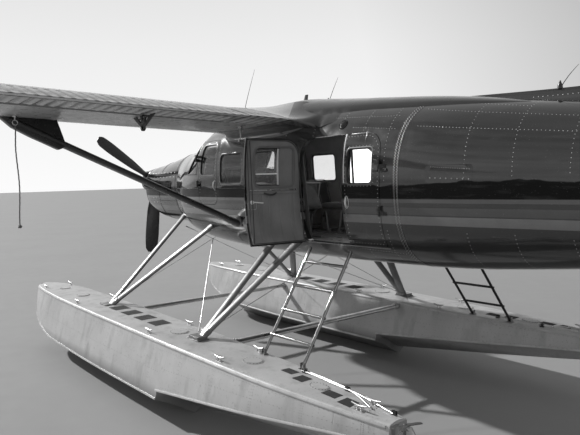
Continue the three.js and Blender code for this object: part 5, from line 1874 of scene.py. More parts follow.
def spinner():
    axis = (0, 0, PROP.z)
    length = SPINNER["base"] - SPINNER["tip"]
    profile = []
    for k in range(33):
        share = k / 32
        radius = SPINNER["radius"] * math.sqrt(max(0.0, 1 - share**2.2))
        profile.append((X(SPINNER["base"]) + share * length, radius))
    dome = Build().lathe(profile, axis, FORE, 72).raw("spinner_dome")
    hole = [(0.13, 0.082), (0.32, 0.082)]
    cut(dome, joined([Build().lathe(hole, PROP, blade_out(angle), 36).raw() for angle in PROP_ANGLES]))
    dress(dome, "propeller", "metal", [BRIGHT], angle=30, replaces=["spinner"])
    ring = Build()
    rim = [(X(-3.128), 0.2), (X(-3.13), 0.234), (X(-3.152), 0.234), (X(-3.154), 0.228)]
    ring.lathe(rim, axis, FORE, 72)
    normals = [blade_out(360 * (k + 0.5) / 24) for k in range(24)]
    spots = [Vector((X(-3.142), 0, PROP.z)) + out * 0.234 for out in normals]
    ring.domes(spots, normals, 0.005, 0.002)
    ring.piece("spinner_backplate", "propeller", "metal", BRUSHED)


# The middle line of an exhaust stack. Each row: station, distance from the middle, height.
EXHAUST = [
    (-2.72, 0.25, 2.64),
    (-2.7, 0.4, 2.642),
    (-2.62, 0.49, 2.65),
    (-2.5, 0.546, 2.658),
    (-2.37, 0.59, 2.665),
]


def exhausts():
    for side, word in ((1, "left"), (-1, "right")):
        line = curve_through([at(s, side * y, z) for s, y, z in EXHAUST], 24)
        rings = []
        for inside in (False, True):
            turn_back = line[::-1] if inside else line
            for i, point in enumerate(turn_back):
                before, after = turn_back[max(i - 1, 0)], turn_back[min(i + 1, len(line) - 1)]
                ahead = (after - before).normalized() * (-1 if inside else 1)
                out = (UP - UP.dot(ahead) * ahead).normalized()
                aside = ahead.cross(out)
                radius = 0.077 if inside else 0.085
                rings.append([
                    point + (aside * math.cos(a) * 0.95 + out * math.sin(a)) * radius
                    for a in 2 * np.pi * np.arange(36) / 36
                ])
        build = Build().loft(rings, joined=True)
        flange = line[9]
        ahead = (line[10] - line[8]).normalized()
        build.lathe([(-0.008, 0.084), (-0.006, 0.1), (0.006, 0.1), (0.008, 0.084)], flange, ahead, 36)
        build.piece(f"exhaust_{word}_stack", "airframe", "metal", HEAT, replaces=[f"exhaust_{word}"])


# The engine from its rear to its front. Each row: station, radius.
ENGINE_PROFILE = [
    (-1.72, 0.14), (-1.74, 0.2), (-2.0, 0.225), (-2.02, 0.232), (-2.06, 0.232), (-2.08, 0.22),
    (-2.4, 0.215), (-2.42, 0.233), (-2.47, 0.233), (-2.49, 0.218), (-2.78, 0.2),
    (-2.8, 0.225), (-2.84, 0.225), (-2.86, 0.17), (-2.98, 0.13), (-3.0, 0.1),
]


# Tubes to the firewall. Each row: height there, rise above the engine's middle, radius.
ENGINE_MOUNT = [(2.33, -0.081, 0.014), (2.8, 0.06, 0.014), (2.33, 0.06, 0.012), (2.8, -0.08, 0.012)]


def engine():
    build = Build()
    middle = (0, 0, PROP.z - 0.045)
    build.lathe([(X(s), radius) for s, radius in ENGINE_PROFILE], middle, FORE, 48)
    for k in range(8):
        a = 2 * math.pi * k / 8
        out = Vector((0, math.cos(a), math.sin(a)))
        build.tube([Vector((X(s), 0, middle[2])) + out * 0.222 for s in (-2.1, -2.38)], 0.012, 8)
    build.piece("engine_core", "airframe", "engine", CAST, replaces=["engine_block"])
    mount = Build()
    for side in (-1, 1):
        for z, rise, radius in ENGINE_MOUNT:
            mount.tube([at(-1.552, side * 0.24, z), at(-2.02, side * 0.2, middle[2] + rise)], radius, 12)
    mount.piece("engine_mount", "airframe", "engine", GREY_PAINT)


propeller()
exhausts()
engine()

# Water rudders. The blade's outline in stations behind the post.
RUDDER_POST = 4.15
WATER_BLADE = [
    (-0.016, 0.79),
    (-0.016, 0.36),
    (0.06, 0.25),
    (0.3, 0.29),
    (0.33, 0.48),
    (0.2, 0.62),
    (0.06, 0.79),
]
LUGS = (0.6, 0.76)  # heights of the stern's lugs, in slots of the blade


def water_rudders():
    for side, word in ((1, "left"), (-1, "right")):
        y = side * FLOAT_Y
        name = f"water_rudder_{word}"
        shape = [(RUDDER_POST + s, z) for s, z in WATER_BLADE]
        middle = Vector((RUDDER_POST + 0.14, 0.5))
        layers = []
        for depth, inset in ((-0.008, 0.005), (-0.005, 0), (0.005, 0), (0.008, 0.005)):
            ring = []
            for s, z in shape:
                out = middle - Vector((s, z))
                place = Vector((s, z)) + out.normalized() * inset
                ring.append(at(place.x, y + depth, place.y))
            layers.append(ring)
        blade = Build().loft(layers)
        for z in (0.36, 0.44, 0.52):
            for d in (1, -1):
                rib = [at(RUDDER_POST + s, y + d * 0.0075, z) for s in (0.05, 0.15, 0.26)]
                blade.tube(rib, 0.006, 8, flat=0.6)
        blade = blade.raw(name + "_blade")
        slots = []
        for z in LUGS:
            low = at(RUDDER_POST + 0.04, y - 0.04, z - 0.007)
            high = at(RUDDER_POST - 0.06, y + 0.04, z + 0.007)
            slots.append(Build().block(low, high).raw())
        cut(blade, joined(slots))
        dress(blade, name, "metal", [BRUSHED], replaces=[name])
        post = Build()
        for low, high in ((0.35, 0.592), (0.608, 0.752), (0.768, 0.8)):
            tube = [(low, 0.013), (low + 0.003, 0.016), (high - 0.003, 0.016), (high, 0.013)]
            post.lathe(tube, (X(RUDDER_POST), y, 0), UP, 24)
        half = [(-0.075, 0.11), (-0.055, 0.116), (-0.04, 0.11), (0.016, 0.0)]
        horn = half + [(x, -d) for x, d in half[-2::-1]] + [(-0.03, 0.0)]
        post.loft([[at(RUDDER_POST - x, y + d, z) for x, d in horn] for z in (0.79, 0.797)])
        post.piece(name + "_post", name, "metal", GREY_PAINT)
        lugs = Build()
        for z in LUGS:
            lugs.block((X(RUDDER_POST + 0.014), y - 0.014, z - 0.005), (X(4.06), y + 0.014, z + 0.005))
        lugs.block((X(4.088), y - 0.09, 0.66), (X(4.075), y + 0.09, 0.785))
        for dy in (-0.07, 0.07):
            bolts(lugs, [Vector((X(4.088), y + dy, z)) for z in (0.68, 0.765)], (-1, 0, 0), 0.007)
        lugs.piece(f"stern_fitting_{word}", "airframe", "metal", BRUSHED, bevel=0.002)


water_rudders()


# Cabin fittings
FLOOR_Z = 1.935
COCKPIT_Z = 2.13
ROOM = -0.052


def room():
    """The inside of the cabin, as a tool."""
    stations = np.linspace(CABIN_FRONT + 0.041, SPLICE - 0.041, 80)
    return Build().loft(hull_points(stations, ROOM)).raw()


def cabin_floor():
    under, thick = FLOOR_Z - 0.04, 0.04
    profile = [(3.315, under), (0.02, under), (0.02, COCKPIT_Z - thick), (-1.3, COCKPIT_Z - thick)]
    profile += [(-1.3, COCKPIT_Z), (0.06, COCKPIT_Z), (0.06, FLOOR_Z), (3.315, FLOOR_Z)]
    floor = prism(profile, -0.9, 0.9)
    floor.name = "cabin_floor_panels"
    cut(floor, room(), "INTERSECT")
    dress(floor, "airframe", "lining", [FLOOR_COVER], replaces=["cabin_floor"])
    low, high = (X(3.27), -0.15, FLOOR_Z - 0.001), (X(1.69), 0.9, FLOOR_Z + 0.006)
    wear_plate = Build().block(low, high).raw("cargo_plate")
    cut(wear_plate, room(), "INTERSECT")
    dress(wear_plate, "airframe", "metal", [BRUSHED])
    studs = Build()
    rows = [(X(s), y) for s in np.arange(1.75, 3.24, 0.15) for y in (-0.12, 0.2, 0.5)]
    studs.domes([(x, y, FLOOR_Z + 0.006) for x, y in rows], [UP] * len(rows), 0.012, 0.003, sides=10)
    studs.piece("cargo_plate_studs", "airframe", "metal", CAST)


def instrument_panel():
    profile = [(-0.76, 2.35), (-0.70, 2.35), (-0.72, 2.86), (-0.86, 2.93), (-0.98, 2.93), (-0.86, 2.86)]
    board = prism(profile, -0.9, 0.9)
    board.name = "instrument_board"
    cut(board, room(), "INTERSECT")
    dress(board, "airframe", "black_paint", [GREY_PAINT], bevel=0.004, replaces=["instrument_panel"])
    rims, faces = Build(), Build()
    dials = [(y, z, 0.042) for y in (-0.52, -0.42, -0.32, 0.32, 0.42, 0.52) for z in (2.72, 2.61)]
    dials += [(y, z, 0.032) for y in (-0.16, -0.08, 0.0, 0.08, 0.16) for z in (2.75, 2.67)]
    lean = (-1, 0, 0.04)
    for y, z, radius in dials:
        place = at(-0.714, y, z)
        rim = [(0, radius), (0.006, radius), (0.008, radius - 0.004), (0.003, radius - 0.005)]
        rims.lathe(rim, place, lean, 28)
        faces.lathe([(0, radius - 0.005), (0.005, radius - 0.006)], place, lean, 28)
        needle = Vector((-0.005, 0.0015, radius * 0.7))
        faces.block(place + Vector((-0.0075, -0.0015, 0)), place + needle, 1)
    for z in (2.56, 2.5, 2.44):
        faces.block(at(-0.698, -0.1, z - 0.024), at(-0.71, 0.1, z + 0.024))
        for d in (-0.08, 0.08):
            rims.lathe([(0, 0.01), (0.014, 0.009), (0.016, 0.006)], at(-0.7, d, z), -FORE, 16)
    rims.piece("instrument_bezels", "airframe", "black_paint", BLACK)
    faces.piece("instrument_faces", "airframe", "glass", DARK_LENS, BRIGHT)
    yokes = Build()
    wheel = [(0.13, 2.75), (0.15, 2.66), (0.07, 2.6), (0, 2.615), (-0.07, 2.6), (-0.15, 2.66), (-0.13, 2.75)]
    for y in (0.35, -0.35):
        yokes.tube([at(-0.74, y, 2.62), at(-0.56, y, 2.64)], 0.013, 16)
        yokes.tube(curve_through([at(-0.56, y + d, z) for d, z in wheel], 48), 0.013, 14)
        yokes.lathe([(0, 0.03), (0.02, 0.034), (0.035, 0.024)], at(-0.565, y, 2.63), -FORE, 24)
    for y in (-0.05, 0.0, 0.05):
        yokes.tube([at(-0.7, y, 2.4), at(-0.63, y, 2.47)], 0.006, 10)
        knob = [(0, 0.012), (0.012, 0.018), (0.03, 0.016), (0.036, 0.008)]
        yokes.lathe(knob, at(-0.63, y, 2.47), (-0.6, 0, 0.6), 18)
    yokes.piece("control_wheels", "airframe", "black_paint", BLACK)


# Seats. Each row: name of the CAD node, distance from the middle, floor, stations.
SEATS = [
    ("seats_left", 0.4, FLOOR_Z, (0.56, 1.26)),
    ("seats_right", -0.4, FLOOR_Z, (0.56, 1.26, 1.96, 2.66)),
    ("crew_seats", 0.35, COCKPIT_Z, (-0.25,)),
    ("crew_seats", -0.35, COCKPIT_Z, (-0.25,)),
]
SEAT = {"width": 0.42, "thick": 0.09, "rail": 0.153}
# Of each pad: offset from the seat's base, length of its mesh and of its piping.
CUSHION = {"offset": Vector((0.0, 0, 0.357)), "long": 0.43, "piping": 0.40}
BACKREST = {"offset": Vector((-0.223, 0, 0.525)), "long": 0.38, "piping": 0.36}
SWELL = {"voxel": 0.0085, "pressure": 4, "frames": 20, "cap": 0.009}


def pad_mesh(name, width, long, thick):
    grid = bmesh.new()
    bmesh.ops.create_cube(grid, size=1.0)
    bmesh.ops.subdivide_edges(grid, edges=grid.edges[:], cuts=5, use_grid_fill=True)
    for vert in grid.verts:
        x, y, z = (2 * c for c in vert.co)
        pinch = 1 - 0.05 * (1 - abs(x)) * (1 - abs(y))
        round_x = 1 - 0.1 * z * z - 0.04 * (1 - y * y)
        round_y = 1 - 0.1 * z * z - 0.04 * (1 - x * x)
        crown = 0.72 + 0.22 * (1 - x * x) * (1 - y * y)
        vert.co = (x * width / 2 * round_x * pinch, y * long / 2 * round_y * pinch, z * thick / 2 * crown)
    mesh = bpy.data.meshes.new(name)
    grid.to_mesh(mesh)
    grid.free()
    pad = bpy.data.objects.new(name, mesh)
    bpy.context.scene.collection.objects.link(pad)
    swell(pad)
    graph = bpy.context.evaluated_depsgraph_get()
    bpy.context.view_layer.update()
    result = bpy.data.meshes.new_from_object(pad.evaluated_get(graph))
    result.materials.clear()
    bpy.data.objects.remove(pad)
    return result


def swell(pad):
    """Voxel remesh and pressure, with each point's move capped."""
    remesh = pad.modifiers.new("remesh", "REMESH")
    remesh.mode = "VOXEL"
    remesh.voxel_size = SWELL["voxel"]
    graph = bpy.context.evaluated_depsgraph_get()
    bpy.context.view_layer.update()
    pad.data = bpy.data.meshes.new_from_object(pad.evaluated_get(graph))
    pad.modifiers.clear()
    start = np.array([v.co[:] for v in pad.data.vertices])
    cloth = pad.modifiers.new("cloth", "CLOTH")
    cloth.settings.quality = 5
    cloth.settings.use_pressure = True
    cloth.settings.uniform_pressure_force = SWELL["pressure"]
    cloth.settings.effector_weights.gravity = 0
    scene = bpy.context.scene
    for number in range(1, SWELL["frames"] + 1):
        scene.frame_set(number)
    graph = bpy.context.evaluated_depsgraph_get()
    blown = bpy.data.meshes.new_from_object(pad.evaluated_get(graph))
    pad.modifiers.clear()
    places = np.array([v.co[:] for v in blown.vertices])
    move = places - start
    reach = np.linalg.norm(move, axis=1, keepdims=True)
    places = start + move * np.minimum(1.0, SWELL["cap"] / np.maximum(reach, 1e-9))
    blown.vertices.foreach_set("co", places.ravel())
    pad.data = blown
    scene.frame_set(1)


def piping(width, long, lift):
    """The corded seam round a pad, as a closed line."""
    line = []
    for k in range(96):
        a = 2 * math.pi * k / 96
        c, s = math.cos(a), math.sin(a)
        reach = (abs(c) ** 7 + abs(s) ** 7) ** (-1 / 7)
        line.append(Vector((reach * c * width / 2, reach * s * long / 2, lift)))
    return line


def seats():
    width, thick = SEAT["width"] - 0.02, SEAT["thick"]
    cushion = pad_mesh("seat_cushion", width, CUSHION["long"], thick)
    backrest = pad_mesh("seat_backrest", width, BACKREST["long"], thick * 0.95)
    tilt = math.atan2(0.29, 0.09)
    pads = [("cushion", cushion, CUSHION, 0.0), ("backrest", backrest, BACKREST, -tilt)]
    number = 0
    frames = {}
    for node, y, floor, stations in SEATS:
        for station in stations:
            number += 1
            base = at(station, y, floor)
            for title, mesh, sizes, lean in pads:
                pad = bpy.data.objects.new(f"seat_{number}_{title}", mesh.copy())
                bpy.context.scene.collection.objects.link(pad)
                turn = Matrix.Rotation(lean, 4, "Y") @ Matrix.Rotation(math.pi / 2, 4, "Z")
                place = Matrix.Translation(base + sizes["offset"]) @ turn
                dress(pad, "airframe", "seat", [FABRIC], angle=80, place=place)
                cord = Build()
                for lift in (-thick * 0.34, thick * 0.34):
                    cord.tube(piping(width * 0.93, sizes["piping"], lift), 0.0035, 8, closed=True)
                cord.piece(f"seat_{number}_{title}_piping", "airframe", "seat", RUBBER, place=place)
            build = frames.setdefault(node, Build())
            seat_frame(build, base)
    for node, build in frames.items():
        build.piece(node + "_frames", "airframe", "seat", GREY_PAINT, replaces=[node])


def seat_frame(build, base):
    half = SEAT["rail"]
    for y in (half, -half):
        loop = [(0.19, 0.30), (-0.1, 0.30), (-0.2, 0.32), (-0.255, 0.5), (-0.3, 0.67)]
        build.tube(curve_through([base + Vector((x, y, z)) for x, z in loop], 24), 0.011, 12)
        for way in (1, -1):
            build.tube([base + Vector((way * x, y, z)) for x, z in ((0.15, 0.3), (0.1, 0.028))], 0.011, 12)
        for x0, x1, z0, z1, wide in (
            (-0.32, 0.32, 0.0, 0.02, 0.018),
            (-0.13, -0.07, 0.02, 0.045, 0.014),
            (0.07, 0.13, 0.02, 0.045, 0.014),
        ):
            build.block(base + Vector((x0, y - wide, z0)), base + Vector((x1, y + wide, z1)))
    for x, z in ((0.19, 0.3), (-0.15, 0.3), (0.1, 0.06), (-0.1, 0.06), (-0.3, 0.67)):
        build.tube([base + Vector((x, y, z)) for y in (-half, half)], 0.009, 10)


cabin_floor()
instrument_panel()
seats()


# Trim and fittings of the fuselage


def window_trims():
    """A grey rim and a rubber seal round each window, outside and inside, and rivets round the rim."""
    jobs = [(name, "airframe", side, edges, None) for name, side, edges in WINDOWS]
    jobs += [(d["name"], d["name"], d["side"], d["window"], door_place(d)) for d in DOORS]
    for name, body, side, edges, place in jobs:
        rim, seal = Build(), Build()
        trim(rim, outline(*edges, inset=-0.008, steps=10), side, 0.016, 0.0022)
        trim(rim, outline(*edges, inset=-0.012, steps=10), side, 0.026, -0.004, grow=-WALL)
        shape = outline(*edges, inset=0.005, steps=10)
        trim(seal, shape, side, 0.012, 0.008, grow=PANE[0])
        trim(seal, shape, side, 0.012, -0.008, grow=PANE[1])
        rim.piece(name + "_rim", body, "dark_paint", GREY_PAINT, place=place)
        seal.piece(name + "_seal", body, "black_paint", RUBBER, place=place)
        row = spaced(outline(*edges, inset=-0.024, steps=6), 0.045)
        heads = Build().domes(*on_skin(row, side), 0.0042, 0.0016)
        heads.piece(name + "_rim_rivets", body, "dark_paint", RIVET_GLINT, place=place)


def screen_trims():
    """Frames of the windshield's panes, bolted to the skin."""
    build, heads = Build(), Build()
    for side in (1, -1):
        corners = [(SCREEN["base"], SCREEN["post"]), (SCREEN["top"], SCREEN["post"])]
        corners += [(SCREEN["top"], SCREEN["side"]), (SCREEN["base"], SCREEN["side"])]
        path = spaced(corners + corners[:1], 0.03)
        places = []
        for s, y in path:
            places.append(at(s, side * y, roof_height(s, y)))
        rings = []
        for i, place in enumerate(places):
            normal = hull_normal(place)
            along = (places[(i + 1) % len(places)] - places[i - 1]).normalized()
            across = normal.cross(along).normalized()
            section = [(-1, -0.5), (-1, 0.6), (-0.6, 1), (0.6, 1), (1, 0.6), (1, -0.5)]
            rings.append([place + across * u * 0.014 + normal * v * 0.004 for u, v in section])
        build.loft(rings, joined=True)
        heads.domes(places[::2], [hull_normal(p) for p in places[::2]], 0.004, 0.006)
        trim(build, spaced(QUARTER + QUARTER[:1], 0.03), side, 0.022, 0.003)
    build.piece("screen_frames", "airframe", "dark_paint", BLACK)
    heads.piece("screen_screws", "airframe", "metal", RIVET_PALE)


def door_trims():
    for door in DOORS:
        name, side, place = door["name"], door["side"], door_place(door)
        edge = Build()
        trim(edge, door_outline(door, 0.014), side, 0.007, -0.004, grow=LEAF_SKIN)
        edge.piece(name + "_edge_seal", name, "black_paint", RUBBER, place=place)
        rim = Build()
        trim(rim, door_outline(door, PAN_INSET + 0.008), side, 0.012, -0.0025, grow=-WALL)
        rim.piece(name + "_pan_rim", name, "black_paint", RUBBER, place=place)
        frame_seal = Build()
        trim(frame_seal, door_outline(door, -0.012), side, 0.014, -0.006, grow=-WALL)
        frame_seal.piece(name + "_jamb_seal", "airframe", "lining", GREY_PAINT)
        loop = door_outline(door, 0.03)
        heads = Build().domes(*on_skin(spaced(loop + loop[:1], 0.04), side), 0.0042, 0.0016)
        heads.piece(name + "_rivets", name, "dark_paint", RIVET_GLINT, place=place)


def hinge_line(door, share):
    low, high = door["edges"][2], door["edges"][3]
    return low + (high - low) * share


def door_hinges():
    """Each hinge: a strap with a knuckle on the frame, and above it the same on the leaf."""
    for door in DOORS:
        name, side, place = door["name"], door["side"], door_place(door)
        x, y = door["pin"]
        forward = 1 if door["name"] != "cargo_door_rear" else -1
        fixed, moving = Build(), Build()
        for share in (0.28, 0.68):
            z = hinge_line(door, share)
            knuckle = [(0, 0.0105), (0.002, 0.0125), (0.0435, 0.0125), (0.0448, 0.0105)]
            fixed.lathe(knuckle, (x, y, z), UP, 24)
            fixed.lathe([(-0.006, 0.004), (-0.004, 0.008), (0, 0.008)], (x, y, z), UP, 16)
            moving.lathe(knuckle, (x, y, z + 0.04515), UP, 24)
            moving.lathe([(0, 0.008), (0.004, 0.008), (0.006, 0.004)], (x, y, z + 0.09), UP, 16)
            for build, way, low in ((fixed, forward, z + 0.003), (moving, -forward, z + 0.049)):
                skin = hull_side(DATUM - (x + way * 0.035), z, side)
                strap = [
                    (x - way * 0.002, y + side * 0.006), (x + way * 0.03, skin.y + side * 0.007),
                    (x + way * 0.075, skin.y + side * 0.005), (x + way * 0.078, skin.y - side * 0.004),
                    (x + way * 0.024, skin.y - side * 0.006), (x - way * 0.002, y - side * 0.006),
                ]
                build.loft([[(px, py, low + dz) for px, py in strap] for dz in (0, 0.038)])
                y_head = skin.y + side * 0.0055
                heads = [(x + way * d, y_head, low + dz) for d in (0.05, 0.066) for dz in (0.01, 0.028)]
                build.domes(heads, [(0, side, 0)] * 4, 0.0045, 0.0025, sides=10)
        fixed.piece(name + "_hinges_fixed", "airframe", "black_paint", BLACK, bevel=0.0008)
        moving.piece(name + "_hinges_moving", name, "black_paint", BLACK, place=place, bevel=0.0008)


def handle(build, place, normal, length):
    """An oval rim with a curved grip over it."""
    across = normal.cross(UP).normalized()
    along = across.cross(normal)
    dish = []
    for k in range(40):
        a = 2 * math.pi * k / 40
        dish.append(place + along * (length * 0.62 * math.cos(a)) + across * (0.026 * math.sin(a)))
    build.tube(dish, 0.0035, 8, closed=True)
    shares = np.linspace(-1, 1, 17)
    grip = [place + along * (length / 2 * t) + normal * (0.014 * (1 - t * t) + 0.004) for t in shares]
    build.tube(grip, [0.004 + 0.0075 * (1 - t**4) for t in shares], 14)


# The handles of the doors, in their order. Each row: station, height, length.
HANDLES = [
    (0.085, 2.6, 0.1),
    (0.085, 2.6, 0.1),
    (2.485, 2.42, 0.11),
    (2.615, 2.405, 0.1),
    (2.56, 2.42, 0.11),
]


def door_handles():
    for door, (station, z, length) in zip(DOORS, HANDLES):
        name = door["name"]
        place = hull_side(station, z, door["side"])
        build = Build()
        handle(build, place, hull_normal(place), length)
        inner = hull_side(station, z, door["side"], -WALL)
        normal = -hull_normal(place)
        out = inner + normal * 0.022
        lever = [inner + normal * 0.012, out + Vector((0.03, 0, 0)), out + Vector((0.12, 0, -0.01))]
        build.lathe([(0, 0.022), (0.006, 0.022), (0.014, 0.012), (0.022, 0.011)], inner, normal, 24)
        build.tube(lever, 0.0065, 12)
        build.piece(name + "_handle", name, "metal", PALE_TRIM, place=door_place(door))


BELT_Z = 2.515  # height of the belt over the ribs inside a door


def strip(build, stations, heights, count, side, width, height, grow=0.0):
    """An open strip of trim between two stations and two heights."""
    shape = list(zip(np.linspace(*stations, count), np.linspace(*heights, count)))
    trim(build, shape, side, width, height, closed=False, grow=grow)


def leaf_linings():
    """Ribs, a pull, a bare placard and ledges inside the cargo leaves and the cabin door."""
    for door in DOORS[2:]:
        name, side, place = door["name"], door["side"], door_place(door)
        front, rear, bottom, _ = door["edges"]
        ribs, bright, dark = Build(), Build(), Build()
        count = max(3, int((rear - front - 0.1) / 0.13))
        for k in range(count):
            s = front + 0.08 + (rear - front - 0.16) * (k + 0.5) / count
            strip(ribs, (s, s), (bottom + 0.05, 2.5), 24, side, 0.02, -0.007, -WALL)
        strip(ribs, (front + 0.05, rear - 0.05), (BELT_Z, BELT_Z), 20, side, 0.028, -0.008, -WALL)
        z = door["window"][2] - 0.045
        strip(bright, (front + 0.06, rear - 0.045), (z, z), 20, side, 0.014, -0.006, -WALL)
        s_pull = (front + rear) / 2 + 0.13
        pull = []
        for t in np.linspace(0, 1, 15):
            z = BELT_Z - 0.02 * math.sin(math.pi * t)
            p = hull_side(s_pull - 0.15 * t, z, side, -WALL - 0.012)
            pull.append(p - hull_normal(p) * 0.028 * math.sin(math.pi * t))
        dark.tube(pull, 0.0095, 12, flat=0.6, wide=(0, 0, 1))
        if name != "cargo_door_rear":
            card = [(rear - 0.12, 2.345), (rear - 0.02, 2.345), (rear - 0.02, 2.42), (rear - 0.12, 2.42)]
            trim(bright, spaced(card + card[:1], 0.02), side, 0.004, -0.002, grow=-WALL)
        ribs.piece(name + "_lining_ribs", name, "lining", LINING, place=place)
        bright.piece(name + "_ledges", name, "lining", SATIN, place=place)
        dark.piece(name + "_pull", name, "black_paint", RUBBER, place=place)
    cargo_leaf_trims(DOORS[2], DOORS[3])


def cargo_leaf_trims(front_leaf, rear_leaf):
    """The rear leaf's pale edge and stay, and the front leaf's guard bar, sliding pane and screen."""
    edge = Build()
    s = rear_leaf["edges"][0] + 0.013
    strip(edge, (s, s), (2.6, 3.1), 20, 1, 0.014, 0.0035)
    edge.piece("rear_leaf_edge_strip", "cargo_door_rear", "metal", PALE_TRIM, place=door_place(rear_leaf))
    # The guard bar's white is a painted reflection of the sky in the metal.
    bar = Build()
    strip(bar, (2.17, 2.5), (2.718, 2.718), 12, 1, 0.012, -0.006, -0.024)
    place = door_place(front_leaf)
    bar.piece("cargo_door_front_guard", "cargo_door_front", "metal", GUARD_BAR_REFLECTION, place=place)
    slide = Build()
    for s, depth in ((2.15, -0.026), (2.165, -0.034)):
        strip(slide, (s, s), (2.6, 2.985), 16, 1, 0.012, -0.006, depth)
    slide.piece("cargo_door_front_slide", "cargo_door_front", "metal", PALE_TRIM, place=place)
    screen = hull_patch(1.96, 2.16, 1, -0.038, -0.046)
    shape = outline(1.978, 2.15, 2.582, 2.998, 0.055, square="rear")
    cut(screen, side_prism(shape, 1), "INTERSECT")
    screen.name = "cargo_door_front_screen"
    dress(screen, "cargo_door_front", "lining", [LINING], place=place)
    stay = Build()
    z = 2.715
    line = [(s, z + 0.004 * math.sin(40 * s)) for s in np.linspace(3.085, 3.16, 8)]
    trim(stay, line, 1, 0.03, 0.014, closed=False)
    strip(stay, (2.985, 3.045), (z, z), 8, 1, 0.022, 0.01)
    stay.piece("rear_leaf_stay", "airframe", "black_paint", BLACK, bevel=0.001)


def doorway():
    """The sill plates, the post between the cargo leaves and the door surrounds inside."""
    sill, post, surround = Build(), Build(), Build()
    for side, rear, radii in ((1, 3.1, (0.21, 0.05)), (-1, 2.67, (0.17, 0.07))):
        strip(sill, (1.86, rear - 0.01), (1.945, 1.945), 40, side, 0.016, 0.004)
        shape = outline(1.85, rear, 1.935, 3.13, *radii, steps=12)
        trim(surround, shape, side, 0.05, -0.012, grow=-WALL)
    for width, height, grow in ((0.03, -0.02, -0.027), (0.009, 0.0025, -0.004)):
        strip(post, (2.561, 2.561), (1.95, 3.1), 40, 1, width, height, grow)
    sill.piece("door_sills", "airframe", "metal", BRIGHT)
    post.piece("door_post", "airframe", "dark_paint", BLACK)
    surround.piece("door_surrounds", "airframe", "lining", GREY_PAINT)


def free_skin(s, z, side):
    """Whether a rivet may sit there: outside the doors, the windows with their rims and the wing's root."""
    holes = [(door["side"], door["edges"], 0.012) for door in DOORS]
    holes += [(window_side, edges[:4], 0.035) for _, window_side, edges in WINDOWS]
    for hole_side, (front, rear, bottom, top), margin in holes:
        beside = front - margin < s < rear + margin and bottom - margin < z < top + margin
        if hole_side == side and beside:
            return False
    if -1.0 < s < -0.35 and z > 2.72:
        return False
    return not (-0.02 < s < 2.0 and z > wing_z(0.7) - 0.14 + 0.03 * s)


# Rows of rivets along the fuselage: stations and heights of the points that each row runs through.
RIVET_ROWS = [
    [(2.02, 3.31), (2.515, 3.281), (3.188, 3.238)],
    [(2.62, 3.168), (3.184, 3.11)],
    [(2.05, 3.43), (2.841, 3.375), (3.24, 3.345)],
    [(3.42, 3.282), (3.888, 3.21), (5.2, 3.04), (8.6, 2.78)],
    [(3.42, 3.117), (3.971, 3.054), (5.2, 2.925), (8.6, 2.73)],
    [(3.5, 3.35), (4.4, 3.21)],
    [(5.6, 2.72), (8.6, 2.68)],
    [(-1.5, 2.56), (1.84, 2.56)],
    [(-1.5, 2.2), (1.84, 2.2)],
    [(-1.5, 2.08), (3.3, 1.9)],
]
# Stations of the rows round the fuselage.
RIVET_HOOPS = [-1.5, -1.02, -0.46, 0.2, 0.83, 1.57, 2.05, 2.45, 2.79, 3.12, 3.98, 4.4]
RIVET_HOOPS += [4.85, 5.3, 5.75, 6.2, 6.65, 7.1, 7.6, 8.1, 8.55]


def hull_rivets():
    spots = []
    for side in (1, -1):
        for row in RIVET_ROWS:
            for s, z in spaced(row, 0.034):
                if free_skin(s, z, side):
                    spots.append(hull_side(s, z, side))
        for s in RIVET_HOOPS:
            ring = hull_points(s, 0.0, np.radians(np.linspace(-88, 88, 200)))[0]
            for point in spaced(ring, 0.038):
                if free_skin(s, point[2], side) and not 2.15 < point[2] < 2.62:
                    spots.append(Vector((point[0], side * point[1], point[2])))
    heads = Build().domes(spots, hull_gradient(np.array(spots, float)), 0.0046, 0.002, rings=1)
    heads.piece("hull_rivets", "airframe", "dark_paint", RIVET_GLINT)
    splice()


def splice():
    """A strap with two staggered rows of rivets, where the tail cone begins."""
    strap, heads = Build(), Build()
    angles = np.radians(np.linspace(-80, 89, 190))
    spots = []
    for side in (1, -1):
        edges = []
        for offset in (-0.036, 0.036):
            line = []
            for a in angles:
                s = 3.33 + offset - 0.07 * math.cos(a) ** 2 + 0.05 * max(0.0, math.sin(a)) ** 6
                point = hull_points(s, 0.0, np.array([a]))[0][0]
                line.append(Vector((point[0], side * point[1], point[2])))
            edges.append(line)
        rings = []
        for near, far in zip(*edges):
            out = hull_normal((near + far) / 2)
            rings.append([near - out * 0.002, near + out * 0.0012, far + out * 0.0012, far - out * 0.002])
        strap.loft(rings)
        for k, (near, far) in enumerate(zip(*edges)):
            for share in ((0.2, 0.7) if k % 2 else (0.35, 0.85)):
                spots.append(near.lerp(far, share) + hull_normal(near) * 0.0012)
    strap.piece("splice_strap", "airframe", "dark_paint", HULL_PAINT)
    heads.domes(spots, hull_gradient(np.array(spots, float)), 0.0062, 0.0026, rings=1)
    heads.piece("splice_rivets", "airframe", "dark_paint", RIVET_PALE)


